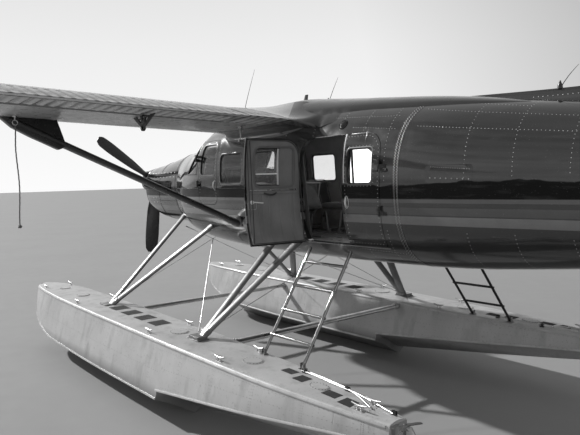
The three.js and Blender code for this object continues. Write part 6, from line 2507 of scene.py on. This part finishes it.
def doublers():
    """A riveted doubler plate aft of the splice and a round lens above the doors, on both sides."""
    plates, heads = Build(), Build()
    spots, small = [], []
    for side in (1, -1):
        loop = outline(3.6, 4.06, 2.585, 2.745, 0.02, steps=3)
        rings = []
        for grow in (-0.002, 0.0014):
            rings.append([hull_side(s, z, side, grow) for s, z in spaced(loop + loop[:1], 0.03)])
        plates.loft(rings)
        for s in np.arange(3.65, 4.04, 0.054):
            spots.append(hull_side(s, 2.632 - 0.045 * (s - 3.65), side, 0.0014))
        for s, z in spaced([(3.647, 2.73), (4.05, 2.7)], 0.022):
            small.append(hull_side(s, z, side, 0.0014))
    heads.domes(small, hull_gradient(np.array(small, float)), 0.004, 0.002)
    heads.domes(spots, hull_gradient(np.array(spots, float)), 0.007, 0.003)
    plates.piece("doubler_plates", "airframe", "dark_paint", HULL_PAINT, angle=20)
    heads.piece("doubler_rivets", "airframe", "dark_paint", RIVET_PALE)
    lens, ring = Build(), Build()
    for side in (1, -1):
        place = hull_side(2.47, 3.21, side)
        out = hull_normal(place)
        ring.lathe([(-0.004, 0.056), (0.003, 0.058), (0.008, 0.05), (0.002, 0.046)], place, out, 36)
        lens.lathe([(-0.004, 0.046), (0.006, 0.045), (0.014, 0.034), (0.018, 0.014)], place, out, 36)
    lens.piece("roof_lenses", "airframe", "glass", DARK_LENS)
    ring.piece("roof_lens_rings", "airframe", "dark_paint", BLACK)


# Whip antennas. Each row: station and height of the foot and of the tip, distance from the middle.
WHIPS = [(0.36, 3.56, 0.636, 4.08, 0.5), (1.48, 3.6, 1.66, 3.87, 0.0), (4.436, 3.40, 4.6, 3.56, 0.0)]
BLADE_ANTENNA = {"station": 1.02, "base": 3.585, "tall": 0.15, "chord": 0.055, "thick": 0.011}


def antennas():
    whips, feet = Build(), Build()
    socket = [(-0.02, 0.024), (0.012, 0.022), (0.03, 0.012), (0.05, 0.007)]
    for s0, z0, s1, z1, y in WHIPS:
        foot, tip = at(s0, y, z0 - 0.02), at(s1, y, z1)
        line = curve_through([foot, foot.lerp(tip, 0.5) + UP * 0.012, tip], 12)
        whips.tube(line, [0.0045 - 0.003 * k / 12 for k in range(13)], 8)
        feet.lathe(socket, foot + UP * 0.015, UP, 20)
    whips.piece("whip_antennas", "airframe", "metal", BLACK)
    feet.piece("antenna_feet", "airframe", "black_paint", BLACK)
    rings = []
    for k in range(7):
        t = k / 6
        chord, thick = BLADE_ANTENNA["chord"] * (1 - 0.45 * t), BLADE_ANTENNA["thick"] * (1 - 0.5 * t)
        s, z = BLADE_ANTENNA["station"] + 0.05 * t, BLADE_ANTENNA["base"] + BLADE_ANTENNA["tall"] * t
        rings.append([at(s + chord * math.cos(a), thick * math.sin(a), z) for a in around(20)])
    Build().loft(rings).piece("blade_antennas", "airframe", "black_paint", BLACK)


window_trims()
screen_trims()
door_trims()
door_hinges()
door_handles()
leaf_linings()
doorway()
hull_rivets()
doublers()
antennas()


# The fairing over the cabin roof behind the wing. Each row: station, height of its ridge, half width.
ROOF_FAIRING = np.array(
    [
        (0.2, 3.530, 0.66),
        (0.5, 3.600, 0.66),
        (0.9, 3.635, 0.66),
        (1.3, 3.640, 0.66),
        (1.7, 3.605, 0.66),
        (2.1, 3.562, 0.62),
        (2.7, 3.505, 0.56),
        (3.3, 3.445, 0.50),
        (3.9, 3.360, 0.40),
        (4.4, 3.270, 0.30),
    ]
)
ROOF_SIDE = 0.42  # distance from the middle where the fairing's shoulders start
# Reach and drop of the fillet at the wing's root, the stations where its edge turns in and where it
# ends, and its height there.
FILLET = {"reach": 0.35, "edge": 1.98, "end": 2.12, "drop": 0.13, "tail_z": 3.2}


def roof_fairing():
    """A spine over the roof, and on each side a shoulder from it down to the wing's root."""
    build = Build()
    rings = []
    for s in np.linspace(0.2, 4.4, 80):
        top, half = between(ROOF_FAIRING, s)[0]
        base = roof_height(s, half) - 0.008
        ring = []
        for u in np.linspace(-1, 1, 33):
            ring.append(at(s, half * u, base + max(0.0, top - base) * (1 - abs(u) ** 2.6) ** 0.55))
        for u in np.linspace(0.96, -0.96, 17):
            ring.append(at(s, half * u, max(base, roof_height(s, half * u) - 0.03)))
        rings.append(ring)
    build.loft(rings)
    for side in (1, -1):
        rings = []
        for s in np.linspace(0.35, 2.6, 54):
            rings.append([at(s, side * p.x, p.y) for p in shoulder(s)])
        build.loft(rings)
    build.piece("roof_fairing", "airframe", "dark_paint", ROOF_PAINT, angle=50)


def bent(start, middle, end, t):
    """A point of the curve from start to end that is drawn towards the middle one."""
    return start * (1 - t) ** 2 + middle * (2 * t * (1 - t)) + end * t * t


def shoulder(s):
    """The shoulder's section. It leaves the wing and settles on the hull towards the rear."""
    root, far, upper, _ = fillet_edge(min(s, FILLET["end"]))
    near = Vector((ROOF_SIDE, between(ROOF_FAIRING, s)[0][0] - 0.05))
    middle = Vector((root - 0.02, upper + 0.012))
    high = Vector((far, upper + 0.004))
    share = progress(s, 1.5, 0.62)
    share = share * share * (3 - 2 * share)
    lift = 0.014 - 0.024 * progress(s, 2.0, 0.55)
    low_z = FILLET["tail_z"] + 0.01 + 0.12 * max(0.0, (s - FILLET["end"]) / 0.48)
    late = progress(s, FILLET["edge"], FILLET["end"] - FILLET["edge"])
    roof = roof_height(s, ROOF_SIDE)
    curve = []
    for t in np.linspace(0, 1, 13):
        skin = hull_side(s, roof * (1 - t) + low_z * t, 1, lift)
        curve.append(bent(near, middle, high, t).lerp(skin.yz, share * (1 - t * (1 - late))))
    curve.append(Vector((curve[-1].x - 0.012, curve[-1].y - 0.014)))
    for t in np.linspace(1, 0, 9):
        curve.append(hull_side(s, min(roof, 3.35) * (1 - t) + low_z * t, 1, -0.035).yz)
    curve.append(Vector((ROOF_SIDE, roof - 0.03)))
    return curve


def fillet_edge(s):
    """The hull's side, the fillet's outer edge, and the wing's upper and lower height there."""
    root = hull_side(s, 3.3).y
    far = root + 0.03 + FILLET["reach"] * progress(s, 0.05, 0.5)
    share = min(s / CHORD, 1.0)
    upper = float(wing_points(far, [share], True)[0][2])
    under = float(wing_points(far, [share], False)[0][2])
    if s > FILLET["edge"]:
        u = (s - FILLET["edge"]) / (FILLET["end"] - FILLET["edge"])
        far += (root - 0.01 - far) * u
        upper += (FILLET["tail_z"] + 0.01 - upper) * u
        under += (FILLET["tail_z"] - 0.01 - under) * u
    return root, far, upper, under


def wing_fillets():
    """The dark fairing in the corner under the wing's root."""
    build = Build()
    for side in (1, -1):
        rings = []
        for s in np.linspace(0.1, FILLET["end"], 44):
            _, far, upper, under = fillet_edge(s)
            drop = FILLET["drop"] * min(1.0, (s - 0.02) / 0.4) * min(1.0, max(0.12, (2.2 - s) / 0.7))
            low = Vector((hull_side(s, under - drop).y - 0.006, under - drop))
            edge = Vector((far, under - 0.004))
            crook = under - 0.03 * min(1.0, drop / 0.1)
            corner = Vector((hull_side(s, crook).y + 0.008, crook))
            curve = [bent(low, corner, edge, t) for t in np.linspace(0, 1, 13)]
            middle = (upper + under) / 2
            curve += [Vector((far - 0.012, middle)), Vector((hull_side(s, middle).y - 0.02, middle))]
            rings.append([at(s, side * p.x, p.y) for p in curve])
        build.loft(rings)
    build.piece("wing_fillets", "airframe", "dark_paint", HULL_PAINT, angle=50)


def plate(build, shape, y, low, high):
    """A flat plate cut to an outline of stations and heights, between two distances outside `y`."""
    side = 1 if y > 0 else -1
    build.loft([[at(s, y + side * d, z) for s, z in shape] for d in (low, high)])


# The brackets' two halves. Each row: stations of the feet, near and far face of the arms and of the shoe.
BRACKET_HALVES = [
    ((1.27, 1.42), (-0.014, -0.001), (-0.030, -0.001)),
    ((1.56, 1.76), (0.001, 0.014), (0.001, 0.030)),
]
ARM_WIDE = 0.022


def flap_brackets():
    """Under each flap: a V of two arms on the wing, two on the flap, and the pin between them."""
    for side, word in ((1, "left"), (-1, "right")):
        for place in FLAP_BRACKETS:
            y = side * place
            z_pin = wing_z(place) - FLAP_PIN_BELOW
            fixed, moving, pins = Build(), Build(), Build()
            for build, (feet, faces, shoe_faces) in zip((fixed, moving), BRACKET_HALVES):
                tops = [wing_points(place, [s / CHORD], False)[0][2] + 0.012 for s in feet]
                for foot, top in zip(feet, tops):
                    ds, dz = foot - FLAP_PIN_S, top - z_pin
                    length = math.hypot(ds, dz)
                    ns, nz = -dz / length * ARM_WIDE, ds / length * ARM_WIDE
                    arm = [(FLAP_PIN_S + ns * 0.8, z_pin + nz * 0.8), (foot + ns, top + nz)]
                    arm += [(foot - ns, top - nz), (FLAP_PIN_S - ns * 0.8, z_pin - nz * 0.8)]
                    plate(build, arm, y, *faces)
                low, high = faces
                for share in (0.38, 0.72):
                    left, right = (FLAP_PIN_S + (foot - FLAP_PIN_S) * share for foot in feet)
                    z = z_pin + (sum(tops) / 2 - z_pin) * share
                    bar = [(left, z - 0.009), (right, z - 0.009), (right, z + 0.009), (left, z + 0.009)]
                    plate(build, bar, y, low + 0.002, high - 0.002)
                ends = (feet[0] - 0.03, tops[0]), (feet[1] + 0.03, tops[1])
                shoe = [(s, z - 0.016) for s, z in ends] + list(ends[::-1])
                plate(build, shoe, y, *shoe_faces)
                boss = [(low, 0.024), (low + 0.002, 0.027), (high, 0.027)]
                build.lathe(boss, at(FLAP_PIN_S, y, z_pin), (0, side, 0), 28)
            head = [(0.015, 0.014), (0.024, 0.014), (0.026, 0.011)]
            for profile in ([(-d, radius) for d, radius in head[::-1]], head):
                pins.lathe(profile, at(FLAP_PIN_S, y, z_pin), (0, side, 0), 6)
            tag = f"{word}_{int(place * 1000)}"
            fixed.piece(f"flap_bracket_{tag}", "airframe", "black_paint", BLACK, bevel=0.0015)
            moving.piece(f"flap_arm_{tag}", f"flap_{word}", "black_paint", BLACK, bevel=0.0015)
            pins.piece(f"flap_pin_{tag}", "airframe", "metal", BRIGHT)


def under_wing(side, span, count, shares, depths):
    """A strip under the wing between two shares of the chord. `depths` go up, down, down, up from there."""
    rings = []
    for y in np.linspace(*span, count):
        a, b = wing_points(side * y, shares, False)
        up_a, down_a, down_b, up_b = depths
        rings.append([a + [0, 0, up_a], a - [0, 0, down_a], b - [0, 0, down_b], b + [0, 0, up_b]])
    return Build().loft(rings)


def wing_details():
    for side, word in ((1, "left"), (-1, "right")):
        span = (FLAP_SPAN[0] + 0.01, FLAP_SPAN[1] - 0.01)
        slot = under_wing(side, span, 30, [0.957, 0.963], (0.004, 0.006, 0.006, 0.004))
        slot.piece(f"flap_{word}_slot", f"flap_{word}", "black_paint", RUBBER)
        edge = under_wing(side, span, 30, [0.966, 0.997], (0.003, 0.005, 0.0022, 0.0005))
        edge.piece(f"flap_{word}_rear_plate", f"flap_{word}", "wing_paint", PALE_PAINT)
        spots, normals = [], []
        for upper in (True, False):
            for share in (0.03, 0.15, 0.3, 0.42, 0.56, 0.7):
                for y in np.arange(WING_ROOT + 0.12, 8.35, 0.05):
                    if share == 0.7 or y < 8.3:
                        spots.append(wing_points(side * y, [share], upper)[0])
                        normals.append((0, 0, 1 if upper else -1))
            for y in np.arange(0.9, 8.3, 0.5):
                for share in np.arange(0.04, 0.72, 0.026):
                    spots.append(wing_points(side * y, [share], upper)[0])
                    normals.append((0.25 if share < 0.1 else 0, 0, 1 if upper else -1))
        heads = Build().domes(spots, normals, 0.0055, 0.0022, rings=1)
        heads.piece(f"wing_{word}_rivets", "airframe", "wing_paint", RIVET_WING)
        plates = Build()
        for y in (2.1, 3.05, 4.0, 5.4, 6.3, 7.2):
            middle = wing_points(side * y, [0.36], False)[0]
            plates.lathe([(-0.002, 0.085), (0.003, 0.083), (0.004, 0.07)], middle, (0.03, 0, -1), 32)
            ring = [middle + [0.075 * math.cos(a), 0.075 * math.sin(a), -0.0035] for a in around(12)]
            plates.domes(ring, [-UP] * 12, 0.004, 0.002)
        cap = [(-0.004, 0.07), (0.003, 0.068), (0.005, 0.05), (0.012, 0.046), (0.014, 0.03)]
        for y in (1.35, 2.6):
            plates.lathe(cap, wing_points(side * y, [0.33], True)[0], UP, 32)
        plates.piece(f"wing_{word}_plates", "airframe", "wing_paint", PALE_PAINT)
        aileron_details(side, word)
        wing_lights(side, word)
    pitot_tube()
    tie_down_eye()
    door_catch()


def offsets(base, rows):
    return [base + Vector(row) for row in rows]


def aileron_details(side, word):
    """The wing's hinge arms, and the aileron's trim tab line and static wicks."""
    arms = Build()
    boss = [(-0.011, 0.013), (-0.009, 0.016), (0.009, 0.016), (0.011, 0.013)]
    for y in (5.113, 8.286):
        z = AILERON_AXIS_Z + (y - AILERON_MIDDLE) * DIHEDRAL
        shape = [(1.39, z - 0.03), (1.545, z - 0.018), (1.56, z), (1.545, z + 0.018), (1.39, z + 0.03)]
        plate(arms, shape, side * y, -0.006, 0.006)
        arms.lathe(boss, at(1.545, side * y, z), (0, 1, 0), 24)
    arms.piece(f"aileron_arms_{word}", "airframe", "metal", CAST)
    tab = under_wing(side, (5.25, 6.5), 14, [0.905, 0.913], (0.003, 0.003, 0.003, 0.003))
    tab.piece(f"aileron_{word}_tab_line", f"aileron_{word}", "black_paint", RUBBER)
    wicks = Build()
    for y in (5.6, 6.3, 7.0, 7.7, 8.15):
        root = Vector(wing_points(side * y, [0.995], False)[0])
        wicks.tube(offsets(root, [(0.02, 0, 0.002), (-0.03, 0, 0), (-0.1, 0, -0.004)]), 0.0028, 8)
        wicks.tube(offsets(root, [(0.03, 0, 0.001), (-0.01, 0, 0.001)]), 0.005, 8)
    wicks.piece(f"aileron_{word}_wicks", f"aileron_{word}", "black_paint", BLACK)


def wing_lights(side, word):
    """A lens at the wing's tip and a landing light in its leading edge."""
    tip = at(0.62, side * (SPAN / 2 - 0.008), wing_z(SPAN / 2 - 0.1) + 0.01)
    rings = []
    for k in range(9):
        t = k / 8
        radius = 0.03 * math.sqrt(max(0.02, 1 - (2 * t - 1) ** 2))
        x = 0.09 * (0.5 - t)
        ring = [(x, radius * 0.5 * math.cos(a) * side, radius * math.sin(a)) for a in around(16)]
        rings.append(offsets(tip, ring))
    lights = Build().loft(rings)
    place = Vector(wing_points(side * 4.62, [0.002], True)[0])
    lights.lathe([(-0.03, 0.075), (0.004, 0.074), (0.016, 0.06), (0.022, 0.03)], place, (1, 0, -0.1), 36)
    lights.piece(f"wing_{word}_lights", "airframe", "glass", LENS)


def pitot_tube():
    tube = Build()
    base = Vector(wing_points(5.6, [0.04], False)[0])
    route = [(-0.1, 0, 0.03), (-0.06, 0, -0.1), (0.02, 0, -0.13), (0.26, 0, -0.13), (0.34, 0, -0.13)]
    tube.tube(offsets(base, route[:4]), 0.011, 14)
    tube.tube(offsets(base, route[3:]), 0.007, 12)
    tube.piece("pitot_tube", "airframe", "metal", BRUSHED)


def tie_down_eye():
    ring = Build()
    eye = at(EYE["station"], EYE["y"], EYE["z"])
    circle = [(0, EYE["radius"] * math.cos(a), EYE["radius"] * math.sin(a)) for a in around(32)]
    ring.tube(offsets(eye, circle), EYE["wire"], 12, closed=True)
    ring.lathe([(EYE["radius"] - 0.002, 0.009), (0.2, 0.009)], eye, UP, 16)
    ring.lathe([(0.052, 0.02), (0.06, 0.022), (0.2, 0.022)], eye, UP, 24)
    ring.piece("tie_down_eye", "airframe", "metal", BRUSHED)


def door_catch():
    """A rod under the wing that holds the open front leaf."""
    rod = Build()
    high = at(1.26, 1.18, float(wing_points(1.18, [1.26 / CHORD], False)[0][2]) + 0.02)
    rod.tube(offsets(high, [(0, 0, 0), (0, 0.004, -0.08), (0, 0, -0.17)]), 0.007, 12)
    rod.lathe([(-0.01, 0.024), (0.03, 0.022), (0.034, 0.012)], high - UP * 0.012, -UP, 20)
    rod.block(high + Vector((-0.01, -0.03, -0.19)), high + Vector((0.01, 0.03, -0.165)))
    rod.piece("door_catch", "airframe", "metal", SATIN, bevel=0.001)


def tail_details():
    arms = Build()
    for z in (2.96, 3.9):
        arms.block(at(8.946, -0.005, z - 0.012), at(8.81, 0.005, z + 0.012))
    for side in (1, -1):
        arms.block(at(8.816, side * 2 - 0.013, TAIL_Z - 0.014), at(8.68, side * 2 + 0.013, TAIL_Z + 0.014))
    arms.piece("tail_hinge_arms", "airframe", "metal", CAST)
    tab = Build()
    for side in (1, -1):
        rings = []
        for z in np.linspace(2.86, 3.62, 12):
            ring = tab_ring(RUDDER, RUDDER_HINGE, z, 0.14, 0.012)
            rings.append([at(s, side * h, z) for s, h in ring])
        tab.loft(rings)
    tab.tube([at(9.2, 0.052, 3.3), at(9.5, 0.04, 3.3), at(9.62, 0.03, 3.3)], 0.004, 10)
    tab.lathe([(0, 0.01), (0.014, 0.01)], at(9.2, 0.036, 3.3), (0, 1, 0), 16)
    tab.piece("rudder_tab", "rudder", "black_paint", BLACK)
    lens = [(-0.01, 0.026), (0.012, 0.025), (0.03, 0.018), (0.036, 0.008)]
    Build().lathe(lens, at(9.705, 0, 2.95), -FORE, 24).piece("tail_lamp", "rudder", "glass", LENS)
    dome = [(-0.02, 0.05), (0.01, 0.05), (0.06, 0.044), (0.09, 0.03), (0.1, 0.01)]
    Build().lathe(dome, at(4.95, 0, 3.375), UP, 32).piece("fin_beacon", "airframe", "glass", LENS)
    trims = Build()
    for side in (1, -1):
        for way in (1, -1):
            rings = []
            for y in np.linspace(0.5, 1.7, 14):
                ring = tab_ring(ELEVATOR, TAIL_HINGE, y, 0.11, 0.01)
                rings.append([at(s, side * y, TAIL_Z + way * h) for s, h in ring])
            trims.loft(rings)
    trims.piece("elevator_tabs", "elevator", "black_paint", BLACK)
    tail_rivets()


def tab_ring(table, hinge, place, ahead, wide):
    """The seam of a trim tab on a moving surface: stations, and distances from its middle plane."""
    trailing, half = linear(table, place)
    s = trailing - ahead
    h = TRAILING_HALF + (half - TRAILING_HALF) * (ahead / (trailing - hinge)) + 0.0045
    return [(s, h - 0.006), (s, h), (s + wide, h), (s + wide, h - 0.006)]


def tail_rivets():
    # The rivets follow the section without the two rows at its nose and the row at 0.3.
    section = np.array(TAIL_SECTION)[[0, 3, 4, 6, 7, 8]]
    spots, normals = [], []
    for side in (1, -1):
        for ridge_drop in (0.06, 0.22):
            for s in np.arange(4.2, 8.8, 0.045):
                ridge, half = between(FIN, s)[0]
                z = ridge - ridge_drop
                if z > between(HULL, min(s, CONE_END))[0][2] - 0.06:
                    spots.append(at(s, side * (half + 0.0002), z))
                    normals.append((0, side, 0))
        for s in (7.6, 7.95, 8.35, 8.75):
            ridge, half = between(FIN, s)[0]
            for z in np.arange(between(HULL, s)[0][2] + 0.02, ridge - 0.1, 0.045):
                spots.append(at(s, side * half, z))
                normals.append((0, side, 0))
        for way in (1, -1):
            for share in (0.12, 0.45, 0.85):
                for y in np.arange(0.25, 3.0, 0.045):
                    leading, half = linear(TAILPLANE, y)
                    s = leading + (TAIL_REAR - leading) * share
                    height = linear(section, share)[0]
                    spots.append(at(s, side * y, TAIL_Z + way * half * height))
                    normals.append((0, 0, way))
    heads = Build().domes(spots, normals, 0.005, 0.002, rings=1)
    heads.piece("tail_rivets", "airframe", "tail_paint", RIVET_GLINT)


def float_side(s, t, side, way):
    """A place on a float's side and its normal. `t` runs from deck to chine, `way` is 1 on the port side."""
    deck, deck_z, chine, chine_z, _ = float_row(s)
    top = deck_z - DECK_DROP
    out = Vector((0, top - chine_z, chine - deck)).normalized()
    y = deck + (chine - deck) * t + side_bulge(deck, t)
    place = at(s, side * FLOAT_Y + way * y, top + (chine_z - top) * t)
    return place, Vector((0, way * out.y, out.z))


def float_deck(s, y, grow=0.0):
    """A place on a deck, `y` measured from the middle of the aircraft."""
    return at(s, y, deck_height(s, abs(y) - FLOAT_Y) + grow)


def deck_patch(build, shape, thick=0.0025):
    """A thin sheet on the deck with the given outline of stations and distances."""
    build.loft([[float_deck(s, y, grow) for s, y in shape] for grow in (-0.003, thick)])


# Things on each deck. Each row: front and rear station, near and far distance from the middle.
NON_SKID_SHEETS = [
    (-1.2, -0.95, 1.62, 1.84), (-0.8, -0.55, 1.62, 1.84), (-0.4, -0.15, 1.62, 1.84), (0.0, 0.25, 1.62, 1.84),
    (2.60, 2.76, 1.63, 1.73), (2.84, 2.98, 1.66, 1.79), (3.28, 3.45, 1.73, 1.83), (3.51, 3.66, 1.74, 1.86),
]
# Each row: station and distance of a hatch's middle, half length, half width.
HATCHES = [
    (-3.2, 1.76, 0.09, 0.09),
    (-2.4, 1.76, 0.12, 0.1),
    (0.7, 1.76, 0.13, 0.11),
    (2.2, 1.76, 0.12, 0.1),
    (3.165, 1.74, 0.115, 0.07),
]
CLEATS = [-3.55, -1.9, 0.45, 1.95, 3.75]
# Cables and their pulleys. Each row: station, distance from the middle.
CABLE = [(2.77, 1.53), (3.0, 1.528), (3.30, 1.545), (3.7, 1.61), (4.0, 1.68)]
PULLEYS = [(2.8, 1.6), (3.38, 1.61), (3.99, 1.705)]
STRIP_SECTION = [(-1, -0.4), (-0.8, 0.8), (-0.3, 1), (0.3, 1), (0.8, 0.8), (1, -0.4)]
# Rows of rivets along a float's side, as shares of its height.
SIDE_ROWS = (0.11, 0.5, 0.9)


def hatches(side, word):
    covers, screws = Build(), []
    for s, y, long, wide in HATCHES:
        for inset, thick in ((0, 0.004), (0.02, 0.008)):
            a, b = long - inset, wide - inset
            oval = [(s + a * math.cos(t), side * (y + b * math.sin(t))) for t in around(36)]
            deck_patch(covers, oval, thick)
            if not inset:
                for p in oval[::2]:
                    screws.append(float_deck(p[0] * 0.92 + s * 0.08, p[1] * 0.92 + side * y * 0.08, thick))
    covers.piece(f"float_{word}_hatches", "airframe", "float_paint", FLOAT_PAINT)
    for s in (3.68, 3.75, 3.82):
        screws += [float_deck(s, side * y, 0.0) for y in np.arange(1.72, 1.82, 0.025)]
    heads = Build().domes(screws, [UP] * len(screws), 0.006, 0.003)
    heads.piece(f"float_{word}_screws", "airframe", "metal", RIVET_DEEP)


def cleats(side, word):
    build = Build()
    thickness = [0.005 + 0.005 * math.cos(d) for d in np.linspace(-1.4, 1.4, 13)]
    for s in CLEATS:
        for way in (1, -1):
            base = float_deck(s, side * FLOAT_Y + way * (float_row(s)[0] - 0.065))
            build.block(*offsets(base, [(-0.05, -0.016, -0.003), (0.05, 0.016, 0.005)]))
            for d in (-0.022, 0.022):
                build.lathe([(0.003, 0.011), (0.024, 0.007), (0.034, 0.009)], base + FORE * d, UP, 14)
            horn = [(d, 0, 0.036 + 0.5 * abs(d) ** 1.5) for d in np.linspace(-0.085, 0.085, 13)]
            build.tube(offsets(base, horn), thickness, 12)
    build.piece(f"float_{word}_cleats", "airframe", "metal", BRUSHED)


def deck_cables(side, word):
    """Two cables to the water rudder on each deck, their lever and their pulleys."""
    cables, blocks = Build(), Build()
    for path in ([(s, y + 0.05) for s, y in CABLE], [(s, y + 0.08) for s, y in CABLE[:3]] + [(3.5, 1.63)]):
        places = [float_deck(s, side * y, 0.018) for s, y in path]
        cables.tube(curve_through(places, 24), 0.0035, 8)
    lever = [(3.36, 1.6, 0.02), (3.6, 1.69, 0.024), (3.81, 1.78, 0.02)]
    cables.tube([float_deck(s, side * y, rise) for s, y, rise in lever], 0.006, 10)
    cables.piece(f"float_{word}_cables", "airframe", "metal", BRUSHED)
    wheel = [(-0.005, 0.019), (-0.002, 0.013), (0.002, 0.013), (0.005, 0.019)]
    for s, y in PULLEYS:
        base = float_deck(s, side * y)
        blocks.block(*offsets(base, [(-0.025, -0.012, -0.003), (0.025, -0.006, 0.034)]))
        blocks.block(*offsets(base, [(-0.025, 0.006, -0.003), (0.025, 0.012, 0.034)]))
        blocks.lathe(wheel, base + UP * 0.022, (0, 1, 0), 20)
    blocks.piece(f"float_{word}_pulleys", "airframe", "black_paint", BLACK, bevel=0.001)


def bumper(side, word):
    """The rubber bumper on a float's bow."""
    middle = side * FLOAT_Y
    rings = []
    for k in range(13):
        t = k / 12
        z = 0.79 + 0.12 * t
        bulge = 0.05 * math.sin(math.pi * min(0.98, max(0.02, t)))
        front = np.linspace(-1.57, 1.57, 13)
        ring = [at(-4.24 - bulge * math.cos(a), middle + 0.075 * math.sin(a), z) for a in front]
        rings.append(ring + [at(-4.2, middle + 0.05, z), at(-4.2, middle - 0.05, z)])
    build = Build().loft(rings)
    build.piece(f"float_{word}_bumper", "airframe", "black_paint", RUBBER, angle=60)


def float_details():
    for side, word in ((1, "left"), (-1, "right")):
        sheets = Build()
        for s0, s1, y0, y1 in NON_SKID_SHEETS:
            deck_patch(sheets, [(s0, side * y0), (s1, side * y0), (s1, side * y1), (s0, side * y1)])
        sheets.piece(f"float_{word}_non_skid", "airframe", "black_paint", NON_SKID)
        hatches(side, word)
        cleats(side, word)
        deck_cables(side, word)
        strips = Build()
        spots, normals = [], []
        for way in (1, -1):
            for t, height in ((0.0, 0.014), (0.985, 0.012)):
                for ends in ((-4.0, STEP - 0.005), (STEP + 0.005, 4.05)):
                    rings = []
                    for s in np.linspace(*ends, 50):
                        place, out = float_side(s, t, side, way)
                        up = Vector((0, -out.z * way, abs(out.y))) * 0.013
                        rings.append([place + up * u + out * (v * height) for u, v in STRIP_SECTION])
                    strips.loft(rings)
            for t in SIDE_ROWS:
                for s in np.arange(-3.95, 4.0, 0.05):
                    if t == 0.5 and s < -3.2:
                        continue
                    place, out = float_side(s, t, side, way)
                    spots.append(place)
                    normals.append(out)
            for s in np.arange(-3.6, 3.9, 0.62):
                for t in np.arange(0.14, 0.9, 0.09):
                    for d in (-0.012, 0.012):
                        place, out = float_side(s + d, t, side, way)
                        spots.append(place)
                        normals.append(out)
        strips.piece(f"float_{word}_strips", "airframe", "float_paint", PALE_PAINT)
        for s in np.arange(-3.9, 4.0, 0.05):
            half = float_row(s)[0] - 0.035
            for y in (-half, half):
                spots.append(float_deck(s, side * FLOAT_Y + y))
                normals.append((0, 0, 1))
        heads = Build().domes(spots, normals, 0.0065, 0.0028, rings=1)
        heads.piece(f"float_{word}_rivets", "airframe", "float_paint", RIVET_WING)
        bumper(side, word)


def cowl_details():
    seams, screws = Build(), []
    for s in (-3.0, -2.3, -1.62):
        seams.tube(cowl_ring(s, 0.0006, 72), 0.0035, 6, closed=True)
    for side in (1, -1):
        for z in (2.36, 2.78):
            path = [cowl_side(s, z, side, 0.0005) for s in np.linspace(-2.99, -1.62, 30)]
            seams.tube(path, 0.0035, 6)
            for s in np.linspace(-2.9, -1.7, 9):
                for d in (-0.035, 0.035):
                    screws.append(cowl_side(s, z + d, side, 0.001))
    seams.piece("cowl_seams", "airframe", "black_paint", RUBBER)
    normals = [(0, p.y, (p.z - 2.56) * 0.6) for p in screws]
    heads = Build().domes(screws, normals, 0.011, 0.003, sides=10)
    heads.piece("cowl_fasteners", "airframe", "metal", CAST)
    louvres = Build()
    for side in (1, -1):
        for k in range(6):
            s = -2.15 + 0.07 * k
            path = []
            for t, z in zip(np.linspace(0, 1, 9), np.linspace(2.5, 2.66, 9)):
                path.append(cowl_side(s - 0.02 * t, z, side, 0.002 + 0.008 * math.sin(math.pi * t)))
            louvres.tube(path, 0.009, 10, flat=0.6)
    louvres.piece("cowl_louvres", "airframe", "dark_paint", HULL_PAINT)
    lip = Build()
    rows = [(-0.12, 2.35), (0.12, 2.35), (0.13, 2.42), (0.12, 2.49), (-0.12, 2.49), (-0.13, 2.42)]
    loop = curve_through([Vector((X(-3.105), y, z)) for y, z in rows + rows[:1]], 40)
    lip.tube(loop[:-1], 0.012, 12, closed=True)
    ring = [Vector(p) + Vector((0.004, 0, 0)) for p in cowl_ring(-3.115, -0.002, 60)]
    lip.tube(ring, 0.009, 10, closed=True)
    lip.piece("intake_lip", "airframe", "metal", BRUSHED)


roof_fairing()
wing_fillets()
flap_brackets()
wing_details()
tail_details()
float_details()
cowl_details()
